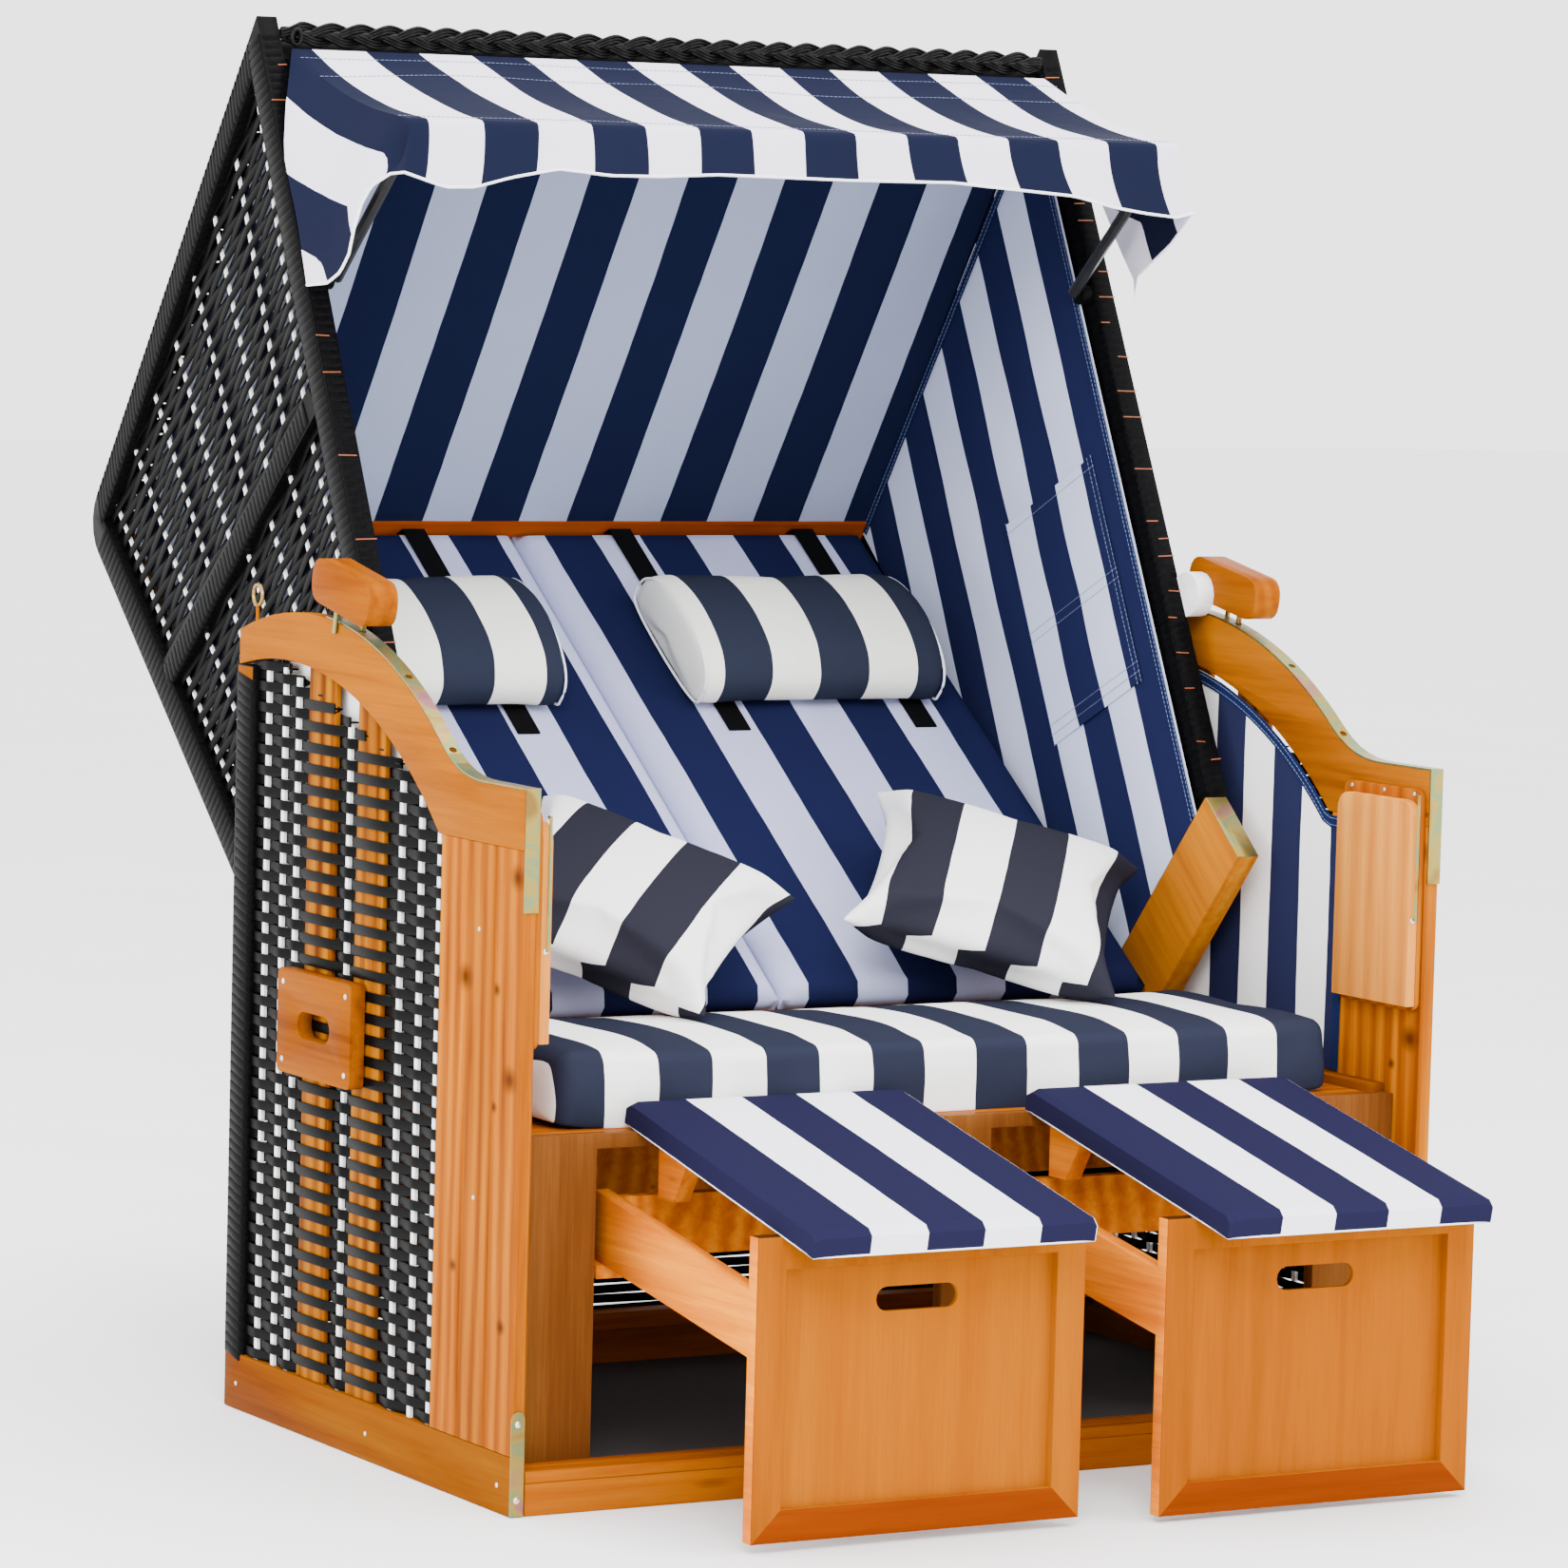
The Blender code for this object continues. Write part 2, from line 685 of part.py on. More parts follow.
def build_base():
    """Plinth, planks, posts, woven sides and the arms with their fittings."""
    frame = Piece("plinth_frame", "pine")
    outer, inner, back = SIDE_OUTER, SIDE_INNER, BASE_DEPTH - WALL
    outline = [(-outer, 0.0), (-inner, 0.0), (-inner, back), (inner, back), (inner, 0.0), (outer, 0.0),
               (outer, BASE_DEPTH), (-outer, BASE_DEPTH)]
    frame.plate([outline], 0.0, PLINTH_HEIGHT, TOP_LAY)
    frame.also()
    post_top = min(arm_underside_z(BASE_DEPTH - POST_DEPTH), ARM_BACK_UNDERSIDE) - GAP
    for side in SIDES:
        low, high = span(side, SIDE_INNER, SIDE_OUTER)
        frame.block((low, BASE_DEPTH - POST_DEPTH, PLINTH_HEIGHT - JOIN), (high, BASE_DEPTH, post_top))
    frame.finish_object()
    for side in SIDES:
        build_planks(side)
        build_side_weave(side)
        build_arm(side)
        build_notch_strip(side)
        build_grip(side)
    build_sill()
    build_rear_wall()


def build_planks(side):
    """Upright tongue-and-groove boards with a vee along each joint."""
    planks = Piece("side_planks_" + side, "pine")
    low, high = span(side, SIDE_INNER, SIDE_OUTER)
    pitch = PLANK_SPAN / PLANK_COUNT
    c = PLANK_CHAMFER
    right = [(high, c)]
    left = [(low, c)]
    for i in range(1, PLANK_COUNT):
        joint = i * pitch
        right += [(high, joint - c), (high - c, joint), (high, joint + c)]
        left += [(low, joint - c), (low + c, joint), (low, joint + c)]
    right += [(high, PLANK_SPAN - c), (high - c, PLANK_SPAN)]
    left += [(low, PLANK_SPAN - c), (low + c, PLANK_SPAN)]
    outline = [(low + c, 0.0), (high - c, 0.0)] + right + left[::-1]
    planks.plate([outline], PLINTH_HEIGHT + GAP, PLANK_TOP, TOP_LAY)
    planks.finish_object()


def side_layers():
    """X places of the outer bands, the slats and the inner bands of a base side."""
    outer = SIDE_OUTER - WEAVE_INSET
    slat_outer = outer - BAND_THICKNESS - GAP
    slat_inner = slat_outer - STAKE_THICKNESS
    return outer, slat_outer, slat_inner, slat_inner - GAP - BAND_THICKNESS


def build_side_weave(side):
    """Woven field of bands on both faces, with upright slats that run inside it."""
    outer, slat_outer, slat_inner, inner = side_layers()
    sign = SIDES[side]
    bottom = PLINTH_HEIGHT + GAP
    rear_y = BASE_DEPTH - POST_DEPTH - GAP
    front_y = PLANK_SPAN + GAP
    height = UNDER_CENTRE.y + UNDER_RADIUS - bottom
    depth = BAND_THICKNESS
    pitch = 2 * BAND_PITCH
    outline = [(sign * (outer - depth + t), bottom + z)
               for z, t in ribs(height, pitch, BAND_WIDTH, depth)]
    outline += [(sign * (inner + depth - t), bottom + z)
                for z, t in ribs(height, pitch, BAND_WIDTH, depth, BAND_PITCH)][::-1]
    weave = Piece("side_weave_" + side, "black_resin")
    weave.plate([outline], front_y, rear_y, FRONT_LAY)

    tool = Piece("side_weave_cut_" + side, "pine")
    radius = UNDER_RADIUS - GAP
    reach = arc(UNDER_CENTRE, radius, math.acos((rear_y + JOIN - UNDER_CENTRE.x) / radius),
                math.acos((front_y - JOIN - UNDER_CENTRE.x) / radius), ARM_ARC_STEPS)
    crown = UNDER_CENTRE.y + UNDER_RADIUS + OVERRUN
    above = reach + [(reach[-1][0], crown), (reach[0][0], crown)]
    low, high = span(side, inner - OVERRUN, outer + OVERRUN)
    tool.plate([above], low, high)
    weave_cut = tool.finish_tool()
    tunnels = Piece("slat_tunnels_" + side, "pine")
    low, high = span(side, slat_inner - GAP, slat_outer + GAP)
    for near in (SIDE_SLAT_FRONT_Y, SIDE_SLAT_REAR_Y):
        tunnels.block((low, near - GAP, bottom - OVERRUN), (high, near + SLAT_WIDTH + GAP, crown))
    node = weave.finish_object(weave_cut)
    add_boolean(node, tunnels.finish_tool(), "DIFFERENCE")

    low, high = span(side, slat_inner, slat_outer)
    for name, near in (("front", SIDE_SLAT_FRONT_Y), ("rear", SIDE_SLAT_REAR_Y)):
        slat = Piece(f"side_slat_{name}_{side}", "pine")
        far = near + SLAT_WIDTH
        outline = [(near, bottom), (far, bottom)]
        outline += [(y, arm_underside_z(y) - 2 * GAP) for y in (far, (near + far) / 2, near)]
        slat.plate([outline], low, high)
        slat.finish_object()


def build_arm(side):
    """Curved arm board and the perforated steel strip on its top."""
    low, high = span(side, SIDE_OUTER - ARM_THICKNESS, SIDE_OUTER)
    under_start = math.acos((ARM_BACK_Y - UNDER_CENTRE.x) / UNDER_RADIUS)
    under_end = math.acos((ARM_UNDER_FRONT_Y - UNDER_CENTRE.x) / UNDER_RADIUS)
    under = arc(UNDER_CENTRE, UNDER_RADIUS, under_start, under_end, ARM_ARC_STEPS)
    outline = arm_top(0.0) + [(0.0, ARM_FLAT_TOP), (0.0, UNDER_FRONT_Z)] + under[::-1]

    arm = Piece("arm_" + side, "pine")
    arm.plate([outline], low, high)
    arm.also()
    foot_z = PIVOT_Z + math.sqrt(ARM_TOP_RADIUS ** 2 - (RING_Y - PIVOT_Y) ** 2) - JOIN
    centre_z = foot_z + JOIN + RING_STEM + RING_RADIUS
    x = SIDES[side] * (SIDE_OUTER - ARM_THICKNESS / 2)
    turns = [-math.pi / 2 + 2 * math.pi * i / 14 for i in range(14)]
    ring = [(x, RING_Y + RING_RADIUS * math.cos(t), centre_z + RING_RADIUS * math.sin(t)) for t in turns]
    arm.wire([(x, RING_Y, foot_z)] + ring, RING_WIRE_RADIUS)
    arm.finish_object(make_cutter("arm_holes_" + side, notch_holes(side)))


def notch_holes(side):
    """Rods for the row of latch holes, square to the arm's curve."""
    pivot = Vector((SIDES[side] * (SIDE_OUTER - ARM_THICKNESS / 2), PIVOT_Y, PIVOT_Z))
    holes = []
    for degrees in NOTCH_ANGLES_DEG:
        turn = math.radians(degrees)
        radial = Vector((0.0, -math.sin(turn), math.cos(turn)))
        start = pivot + radial * (ARM_TOP_RADIUS - NOTCH_DEPTH)
        holes.append((start, start + radial * 2 * NOTCH_DEPTH, NOTCH_RADIUS))
    return holes


def build_notch_strip(side):
    """Perforated steel strip along an arm's top and down its front."""
    strip = Piece("notch_strip_" + side, "zinc_steel")
    low = SIDES[side] * (SIDE_OUTER - ARM_THICKNESS / 2) - NOTCH_STRIP_WIDTH / 2
    start_angle = math.radians(90.0 + NOTCH_STRIP_START_DEG)
    under_side = arm_top(GAP, start_angle)
    over_side = arm_top(GAP + NOTCH_STRIP_THICKNESS, start_angle)
    drop_z = ARM_FLAT_TOP - NOTCH_STRIP_DROP
    thick = GAP + NOTCH_STRIP_THICKNESS
    outline = over_side + [
        (-thick, ARM_FLAT_TOP + thick), (-thick, drop_z), (-GAP, drop_z),
        (-GAP, ARM_FLAT_TOP + GAP),
    ] + under_side[::-1]
    strip.plate([outline], low, low + NOTCH_STRIP_WIDTH)
    strip.finish_object(make_cutter("strip_holes_" + side, notch_holes(side)))


def build_grip(side):
    """Plate with a hand slot, screwed over the woven side."""
    grip = Piece("grip_plate_" + side, "pine")
    face = SIDE_OUTER - WEAVE_INSET + GAP
    low, high = span(side, face, face + GRIP_THICKNESS)
    half_l, half_h = GRIP_LENGTH / 2, GRIP_HEIGHT / 2
    outline = rounded_rectangle(
        (GRIP_Y - half_l, GRIP_Z - half_h), (GRIP_Y + half_l, GRIP_Z + half_h), GRIP_CORNER)
    slot_l, slot_h = GRIP_SLOT_LENGTH / 2, GRIP_SLOT_HEIGHT / 2
    slot = rounded_rectangle(
        (GRIP_Y - slot_l, GRIP_Z - slot_h), (GRIP_Y + slot_l, GRIP_Z + slot_h),
        slot_h - GAP)
    grip.plate([outline, slot], low, high)
    grip.finish_object()


def build_sill():
    """Front sill with its grooved tread, and the sheet that floors the box."""
    half = SIDE_INNER - GAP
    sill = Piece("front_sill", "pine")
    sill.block((-half, 0.0, 0.0), (half, SILL_DEPTH, SILL_HEIGHT))
    sill.finish_object()

    tread = Piece("sill_tread", "pine")
    back = SEAT_FRAME_FRONT_Y - GAP
    bottom = SILL_HEIGHT + GAP
    outline = [(0.0, bottom), (back, bottom), (back, TREAD_TOP)]
    pitch = back / (TREAD_GROOVE_COUNT + 1)
    for i in range(TREAD_GROOVE_COUNT, 0, -1):
        centre = i * pitch
        outline += [
            (centre + TREAD_GROOVE, TREAD_TOP), (centre, TREAD_TOP - TREAD_GROOVE),
            (centre - TREAD_GROOVE, TREAD_TOP),
        ]
    outline.append((0.0, TREAD_TOP))
    tread.plate([outline], -half, half)
    tread.finish_object()

    sheet = Piece("floor_sheet", "grey_sheet")
    sheet.block(
        (-half, SILL_DEPTH + GAP, FLOOR_SHEET_BOTTOM),
        (half, BASE_DEPTH - WALL - GAP, FLOOR_SHEET_BOTTOM + FLOOR_SHEET_THICKNESS))
    sheet.finish_object()


def build_rear_wall():
    """Woven field with its inner rails, which closes the back of the base."""
    half = SIDE_INNER - GAP
    rail_y = BASE_DEPTH - POST_DEPTH
    field_y = rail_y + REAR_RAIL_THICKNESS
    bottom = PLINTH_HEIGHT + GAP
    top = REAR_TOP_RAIL_Z + REAR_TOP_RAIL_HEIGHT
    face_y = BASE_DEPTH - WEAVE_INSET - BAND_THICKNESS
    outline = [(face_y + t, bottom + z)
               for z, t in ribs(top - bottom, 2 * BAND_PITCH, BAND_WIDTH, BAND_THICKNESS)]
    outline += [(rail_y, top), (rail_y, REAR_TOP_RAIL_Z), (field_y, REAR_TOP_RAIL_Z)]
    for low, height in ((REAR_MID_RAIL_Z, REAR_MID_RAIL_HEIGHT), (REAR_LOW_RAIL_Z, REAR_LOW_RAIL_HEIGHT)):
        outline += [(field_y, low + height), (rail_y, low + height), (rail_y, low), (field_y, low)]
    outline.append((field_y, bottom))
    wall = Piece("rear_wall", "black_resin")
    wall.plate([outline], -half, half)
    wall.finish_object()


def build_seat():
    """Seat box: front frame, side rails with the pivot bolts, slatted deck and cushion."""
    half = SIDE_INNER - GAP
    deck_bottom = SEAT_DECK_TOP - SEAT_DECK_THICKNESS
    bottom = SILL_HEIGHT + GAP
    frame = Piece("seat_front_frame", "pine")
    outline = [(-half, bottom), (-SEAT_STILE_INNER, bottom), (-SEAT_STILE_INNER, SEAT_OPENING_TOP),
               (-SEAT_CENTRE_HALF, SEAT_OPENING_TOP), (-SEAT_CENTRE_HALF, bottom)]
    outline += [(-x, z) for x, z in outline[::-1]]
    outline += [(half, SEAT_DECK_TOP), (-half, SEAT_DECK_TOP)]
    frame.plate([outline], SEAT_FRAME_FRONT_Y, SILL_DEPTH, FRONT_LAY)
    frame.finish_object()

    hole = PIVOT_BOLT_RADIUS + PIVOT_HOLE_CLEARANCE
    rail_back = BASE_DEPTH - POST_DEPTH - GAP
    head = HOOD_INNER - GAP
    tip = SIDE_INNER - GAP
    profile = [(head - PIVOT_HEAD_THICKNESS, 0.0), (head - PIVOT_HEAD_THICKNESS, PIVOT_HEAD_RADIUS),
               (head, PIVOT_HEAD_RADIUS), (head, PIVOT_BOLT_RADIUS), (tip, PIVOT_BOLT_RADIUS), (tip, 0.0)]
    for side in SIDES:
        rail = Piece("seat_rail_" + side, "pine")
        low, high = span(side, RAIL_INNER, SIDE_INNER - GAP)
        outline = [(SEAT_BACK_Y, SEAT_RAIL_BOTTOM), (rail_back, SEAT_RAIL_BOTTOM),
                   (rail_back, SEAT_RAIL_TOP), (SEAT_BACK_Y, SEAT_RAIL_TOP)]
        rail.plate([outline, circle(PIVOT_Y, PIVOT_Z, hole)], low, high)
        rail.finish_object()
        bolt = Piece("pivot_bolt_" + side, "zinc_steel")
        bolt.turned([(SIDES[side] * x, r) for x, r in profile], (0.0, PIVOT_Y, PIVOT_Z))
        bolt.finish_object()

    deck = Piece("seat_deck", "pine")
    run = SEAT_DECK_REAR_Y - SEAT_BACK_Y + SEAT_SLAT_GAP
    pitch = run / SEAT_SLAT_COUNT
    reach = RAIL_INNER - GAP
    outlines = [[(-reach, SEAT_BACK_Y), (reach, SEAT_BACK_Y), (reach, SEAT_DECK_REAR_Y),
                 (-reach, SEAT_DECK_REAR_Y)]]
    for i in range(1, SEAT_SLAT_COUNT):
        far = SEAT_BACK_Y + i * pitch
        near = far - SEAT_SLAT_GAP
        for low, high in ((-reach, 0.0), (0.0, reach)):
            outlines.append([(low + SEAT_BATTEN, near), (high - SEAT_BATTEN, near),
                             (high - SEAT_BATTEN, far), (low + SEAT_BATTEN, far)])
    deck.plate(outlines, deck_bottom, SEAT_DECK_TOP, TOP_LAY)
    deck.finish_object()

    cushion = Piece("seat_cushion", "striped_fabric")
    outline = rounded_rectangle(
        (SEAT_CUSHION_FRONT_Y, SEAT_DECK_TOP + GAP),
        (SEAT_CUSHION_REAR_Y, SEAT_DECK_TOP + GAP + SEAT_CUSHION_THICKNESS), CUSHION_ROUND, 3)
    cushion.plate([outline], -SEAT_CUSHION_HALF, SEAT_CUSHION_HALF)
    cushion.finish_object()


def circle(a, b, radius, sides=16):
    """Outline of a round hole."""
    return arc((a, b), radius, 0.0, 2 * math.pi * (sides - 1) / sides, sides - 1)


def build_hood():
    """The reclining hood: side frames, woven skins, lining, cushions and awning."""
    for side in SIDES:
        build_hood_frame(side)
        build_hood_weave(side)
    build_foot_boards()
    build_braid()
    build_shell()
    build_hood_liner()
    build_backrest()
    build_bolsters()
    build_canopy()


def build_hood_frame(side):
    """Front, roof, rear and middle bars of one side, with its spacer disc and bail clip."""
    frame = Piece("hood_frame_" + side, "black_resin", "hood")
    low, high = span(side, HOOD_INNER, HOOD_HALF_WIDTH)
    depth = HOOD_BAR_DEPTH
    foot_p = FOOT_BOARD_FAR_P + GAP
    top = (HOOD_TOP_P, front_line(HOOD_TOP_P))
    knee = (HOOD_KNEE_P, -BAR_HALF)
    points = [(foot_p, front_line(foot_p)), top]
    points += rounded_corner(top, knee, (0.0, -BAR_HALF), HOOD_KNEE_ROUND)
    points += arc((0.0, 0.0), BAR_HALF, -math.pi / 2, -math.pi * 3 / 2, 8)
    points += [(roof_line(BAR_HALF, HOOD_ROOF_BAR_DEPTH), BAR_HALF),
               roof_meets_front(HOOD_ROOF_BAR_DEPTH, depth), (foot_p, front_line(foot_p, depth))]
    hole = PIVOT_BOLT_RADIUS + PIVOT_HOLE_CLEARANCE
    frame.plate([hood_outline(points), circle(PIVOT_Y, PIVOT_Z, hole)], low, high)

    frame.also()
    _, outer = hood_layers()
    front, rear = mid_bar_ends()
    shift = (rear - front).normalized() * JOIN
    start, end = hood_point(*(front - shift)), hood_point(*(rear + shift))
    frame.strip(start, end, MID_BAR_WIDTH, *span(side, outer + GAP, HOOD_HALF_WIDTH))
    frame.also()
    sign = SIDES[side]
    frame.rod((sign * (HOOD_HALF_WIDTH - JOIN), SPACER_Y, SPACER_Z),
              (sign * (HANDLE_INNER - GAP), SPACER_Y, SPACER_Z), SPACER_RADIUS)
    frame.also()
    pivot, _ = bail_places()
    frame.rod((sign * (BAIL_HALF_WIDTH + BAIL_RADIUS + GAP), *pivot),
              (sign * (HOOD_INNER + JOIN), *pivot), CLIP_RADIUS)
    frame.finish_object()


def mid_bar_ends():
    """Places (p, q) where the middle bar meets the front and rear bars."""
    front = Vector((MID_BAR_FRONT_P, front_line(MID_BAR_FRONT_P, HOOD_BAR_DEPTH)))
    return front, Vector((MID_BAR_REAR_P, BAR_HALF))


def hood_layers():
    """Inner and outer X faces of the woven sides of the hood."""
    inner = HOOD_INNER + HOOD_WEAVE_SETBACK
    return inner, inner + STAKE_THICKNESS + BAND_THICKNESS


def build_hood_weave(side):
    """Woven side whose strands lie side by side with the middle bar."""
    inner, outer = hood_layers()
    sign = SIDES[side]
    foot_p = FOOT_BOARD_FAR_P + 2 * GAP
    rear_q = BAR_HALF + GAP
    inset = HOOD_BAR_DEPTH + GAP
    roof_inset = HOOD_ROOF_BAR_DEPTH + GAP
    field = [(foot_p, rear_q), (roof_line(rear_q, roof_inset), rear_q),
             roof_meets_front(roof_inset, inset), (foot_p, front_line(foot_p, inset))]
    tool = Piece("hood_field_" + side, "pine")
    tool.plate([hood_outline(field)], *span(side, inner - OVERRUN, outer + OVERRUN))

    front, rear = mid_bar_ends()
    along = Vector(hood_point(*front)) - Vector(hood_point(*rear))
    along.normalize()
    across = Vector((along.y, -along.x))
    lay = Matrix.Identity(4)
    lay.col[0] = (1.0, 0.0, 0.0, 0.0)
    lay.col[1] = (0.0, across.x, across.y, 0.0)
    lay.col[2] = (0.0, -across.y, across.x, 0.0)
    lay.translation = PIVOT
    reach = HOOD_TOP_P + OVERRUN
    width = HOOD_TOP_Q + HOOD_KNEE_ROUND
    outline = [(sign * (outer - BAND_THICKNESS + t), z)
               for z, t in ribs(reach, HOOD_STRAND_PITCH, HOOD_STRAND_WIDTH, BAND_THICKNESS)]
    outline += [(sign * inner, reach), (sign * inner, 0.0)]
    weave = Piece("hood_weave_" + side, "black_resin", "hood")
    weave.plate([outline], -width, width, lay)
    weave.finish_object(tool.finish_tool(), "INTERSECT")


def build_foot_boards():
    """Boards that close the feet of the side frames, each with its bent steel strap."""
    near, far = -FOOT_BOARD_NEAR_P, FOOT_BOARD_FAR_P
    board = [(near, BAR_HALF + GAP), (far, BAR_HALF + GAP), (far, FOOT_BOARD_TOP_Q),
             (near, FOOT_BOARD_TOP_Q)]
    back = near - STRAP_THICKNESS
    top = FOOT_BOARD_TOP_Q
    over = top + STRAP_THICKNESS
    foot = FOOT_BOARD_TOP_Q - FOOT_STRAP_LEG
    end = near + FOOT_STRAP_RETURN
    strap = [(near + JOIN, foot), (back, foot), (back, over), (end, over), (end, top - JOIN),
             (near + JOIN, top - JOIN)]
    inner = FOOT_BOARD_OUTER - FOOT_BOARD_THICKNESS / 2 - FOOT_STRAP_WIDTH / 2
    for side in SIDES:
        boards = Piece("hood_foot_board_" + side, "pine", "hood")
        low, high = span(side, FOOT_BOARD_OUTER - FOOT_BOARD_THICKNESS, FOOT_BOARD_OUTER)
        boards.plate([hood_outline(board)], low, high)
        boards.also()
        boards.plate([hood_outline(strap)], *span(side, inner, inner + FOOT_STRAP_WIDTH))
        boards.finish_object()


def cross_section(p_low, p_high, q_low, q_high):
    """World outline of a bar that runs across the hood."""
    return hood_outline([(p_low, q_low), (p_high, q_low), (p_high, q_high), (p_low, q_high)])


def top_bar_places():
    """Low and high p and q of the bar across the top of the hood, behind the braid."""
    q_high = HOOD_TOP_Q - TOP_BAR_REAR_SHIFT
    p_high = roof_line(q_high, WEAVE_INSET) - STAKE_THICKNESS - BAND_THICKNESS
    return p_high - CROSS_BAR_SIZE, p_high, q_high - CROSS_BAR_SIZE, q_high


def build_braid():
    """Plait that covers the front of the hood's top bar."""
    braid = Piece("top_braid", "black_resin", "hood")
    half = HOOD_INNER - GAP
    _, p_high, _, q_high = top_bar_places()
    y, z = hood_point(p_high - BRAID_RADIUS / 2, q_high + GAP + BRAID_RADIUS)
    braid.rod((-half, y, z), (half, y, z), BRAID_RADIUS)
    braid.finish_object()


def shell_outline(start, end, bar):
    """World outline of a ribbed skin between two places of the hood, with a bar at its start."""
    start, end = Vector(start), Vector(end)
    along = (end - start).normalized()
    inward = Vector((along.y, -along.x))
    outline = [start + along * a + inward * (BAND_THICKNESS - t)
               for a, t in ribs((end - start).length, 2 * BAND_PITCH, BAND_WIDTH, BAND_THICKNESS)]
    outline.append(end + inward * (BAND_THICKNESS + STAKE_THICKNESS))
    return hood_outline([tuple(point) for point in outline] + bar)


def build_shell():
    """Woven roof and back between the side frames, each in one piece with its bar."""
    half = HOOD_INNER - GAP
    skin = WEAVE_INSET
    depth = BAND_THICKNESS + STAKE_THICKNESS
    p_low, _, q_low, q_high = top_bar_places()
    bar = [(roof_line(q_low, skin) - depth, q_low), (p_low, q_low), (p_low, q_high)]
    roof = Piece("roof_weave", "black_resin", "hood")
    roof.plate([shell_outline((roof_line(q_high, skin), q_high), (roof_line(0.0, skin), 0.0), bar)],
               -half, half)
    roof.finish_object()

    knee_p = HOOD_KNEE_P - KNEE_BAR_INSET
    low_q = -BAR_HALF + skin
    near_p = knee_p - CROSS_BAR_SIZE / 2
    high_q = low_q + depth + CROSS_BAR_SIZE / 2
    bar = [(near_p, low_q + depth), (near_p, high_q), (knee_p, high_q)]
    back = Piece("back_weave", "black_resin", "hood")
    back.plate([shell_outline((knee_p, low_q), (BACK_WEAVE_FOOT_P, low_q), bar)], -half, half)
    back.finish_object()


def build_hood_liner():
    """Fabric lining of the sides and the roof."""
    liner = Piece("hood_liner", "lining_fabric", "hood")
    outer = HOOD_INNER - GAP
    inner = outer - LINER_THICKNESS
    near_p = FOOT_BOARD_FAR_P + GAP
    rear_q = BAR_HALF
    far = roof_meets_front(HOOD_ROOF_BAR_DEPTH, LINER_FRONT_MARGIN)
    outline = [(near_p, rear_q), (roof_line(rear_q, HOOD_ROOF_BAR_DEPTH) - rear_q, rear_q), far,
               (near_p, front_line(near_p, LINER_FRONT_MARGIN))]
    for side in SIDES:
        low, high = span(side, inner, outer)
        liner.plate([hood_outline(outline)], low, high)
    liner.also()
    top = (roof_line(HOOD_TOP_Q, ROOF_LINER_TOP_DROP) - CROSS_BAR_SIZE, HOOD_TOP_Q - 2 * CROSS_BAR_SIZE)
    low_q = back_face(BACK_HEIGHT) + CUSHION_RAIL_THICKNESS / 2
    foot = (roof_line(low_q, ROOF_LINER_LOW_DROP), low_q)
    along = (Vector(top) - Vector(foot)).normalized()
    inward = Vector((-along.y, along.x)) * LINER_THICKNESS
    roof = [foot, top, tuple(Vector(top) + inward), tuple(Vector(foot) + inward)]
    liner.plate([hood_outline(roof)], -inner - JOIN, inner + JOIN)
    liner.finish_object()


def build_backrest():
    """Tilted board, its two cushions and the wooden rail above them."""
    board = Piece("backrest_board", "plywood", "hood")
    under = BACK_CUSHION_THICKNESS + GAP
    low_p, high_p = BACK_FOOT_P, BACK_HEIGHT
    outline = [(low_p, back_face(low_p) - under - BACK_BOARD_THICKNESS),
               (high_p, back_face(high_p) - under - BACK_BOARD_THICKNESS),
               (high_p, back_face(high_p) - under), (low_p, back_face(low_p) - under)]
    board.plate([hood_outline(outline)], -BACK_HALF_WIDTH, BACK_HALF_WIDTH)
    board.also()
    reach = FOOT_BOARD_OUTER - FOOT_BOARD_THICKNESS - GAP
    top_q = back_face(BEARER_P + BEARER_SIZE) - under - BACK_BOARD_THICKNESS / 2
    board.plate([cross_section(BEARER_P, BEARER_P + BEARER_SIZE, top_q - BEARER_SIZE, top_q)],
                -reach, reach)
    board.finish_object()

    foot = -BACK_FOOT_P
    outline = [(foot, back_face(foot) - BACK_CUSHION_THICKNESS),
               (high_p, back_face(high_p) - BACK_CUSHION_THICKNESS),
               (high_p, back_face(high_p)), (foot, back_face(foot))]
    for side in SIDES:
        cushion = Piece("back_cushion_" + side, "striped_fabric", "hood")
        low, high = span(side, BACK_CUSHION_SPLIT / 2, BACK_HALF_WIDTH)
        cushion.plate([hood_outline(outline)], low, high)
        cushion.finish_object()

    rail = Piece("cushion_rail", "pine", "hood")
    top_q = back_face(high_p) + CUSHION_RAIL_PROUD
    near = high_p + GAP
    rail.plate([cross_section(near, near + CUSHION_RAIL_HEIGHT, top_q - CUSHION_RAIL_THICKNESS, top_q)],
               -HOOD_INNER + GAP + LINER_THICKNESS + GAP, HOOD_INNER - GAP - LINER_THICKNESS - GAP)
    rail.finish_object()


def build_bolsters():
    """Neck bolsters that lie on the back cushions."""
    for side in SIDES:
        bolster = Piece("neck_bolster_" + side, "striped_fabric", "hood")
        low, high = span(side, BOLSTER_INNER, BOLSTER_OUTER)
        half = BOLSTER_HEIGHT / 2
        centre = BOLSTER_LOW_P + half
        base = back_face(BOLSTER_LOW_P) + GAP
        outline = [(BOLSTER_LOW_P, base)]
        steps = 10
        for i in range(steps + 1):
            turn = math.pi * i / steps
            swell = BOLSTER_EDGE_SHARE + (1 - BOLSTER_EDGE_SHARE) * math.sin(turn)
            outline.append((centre - half * math.cos(turn), base + BOLSTER_THICKNESS * swell))
        outline.append((BOLSTER_LOW_P + BOLSTER_HEIGHT, back_face(BOLSTER_LOW_P + BOLSTER_HEIGHT) + GAP))
        bolster.plate([hood_outline(outline)], low, high)
        bolster.finish_object()


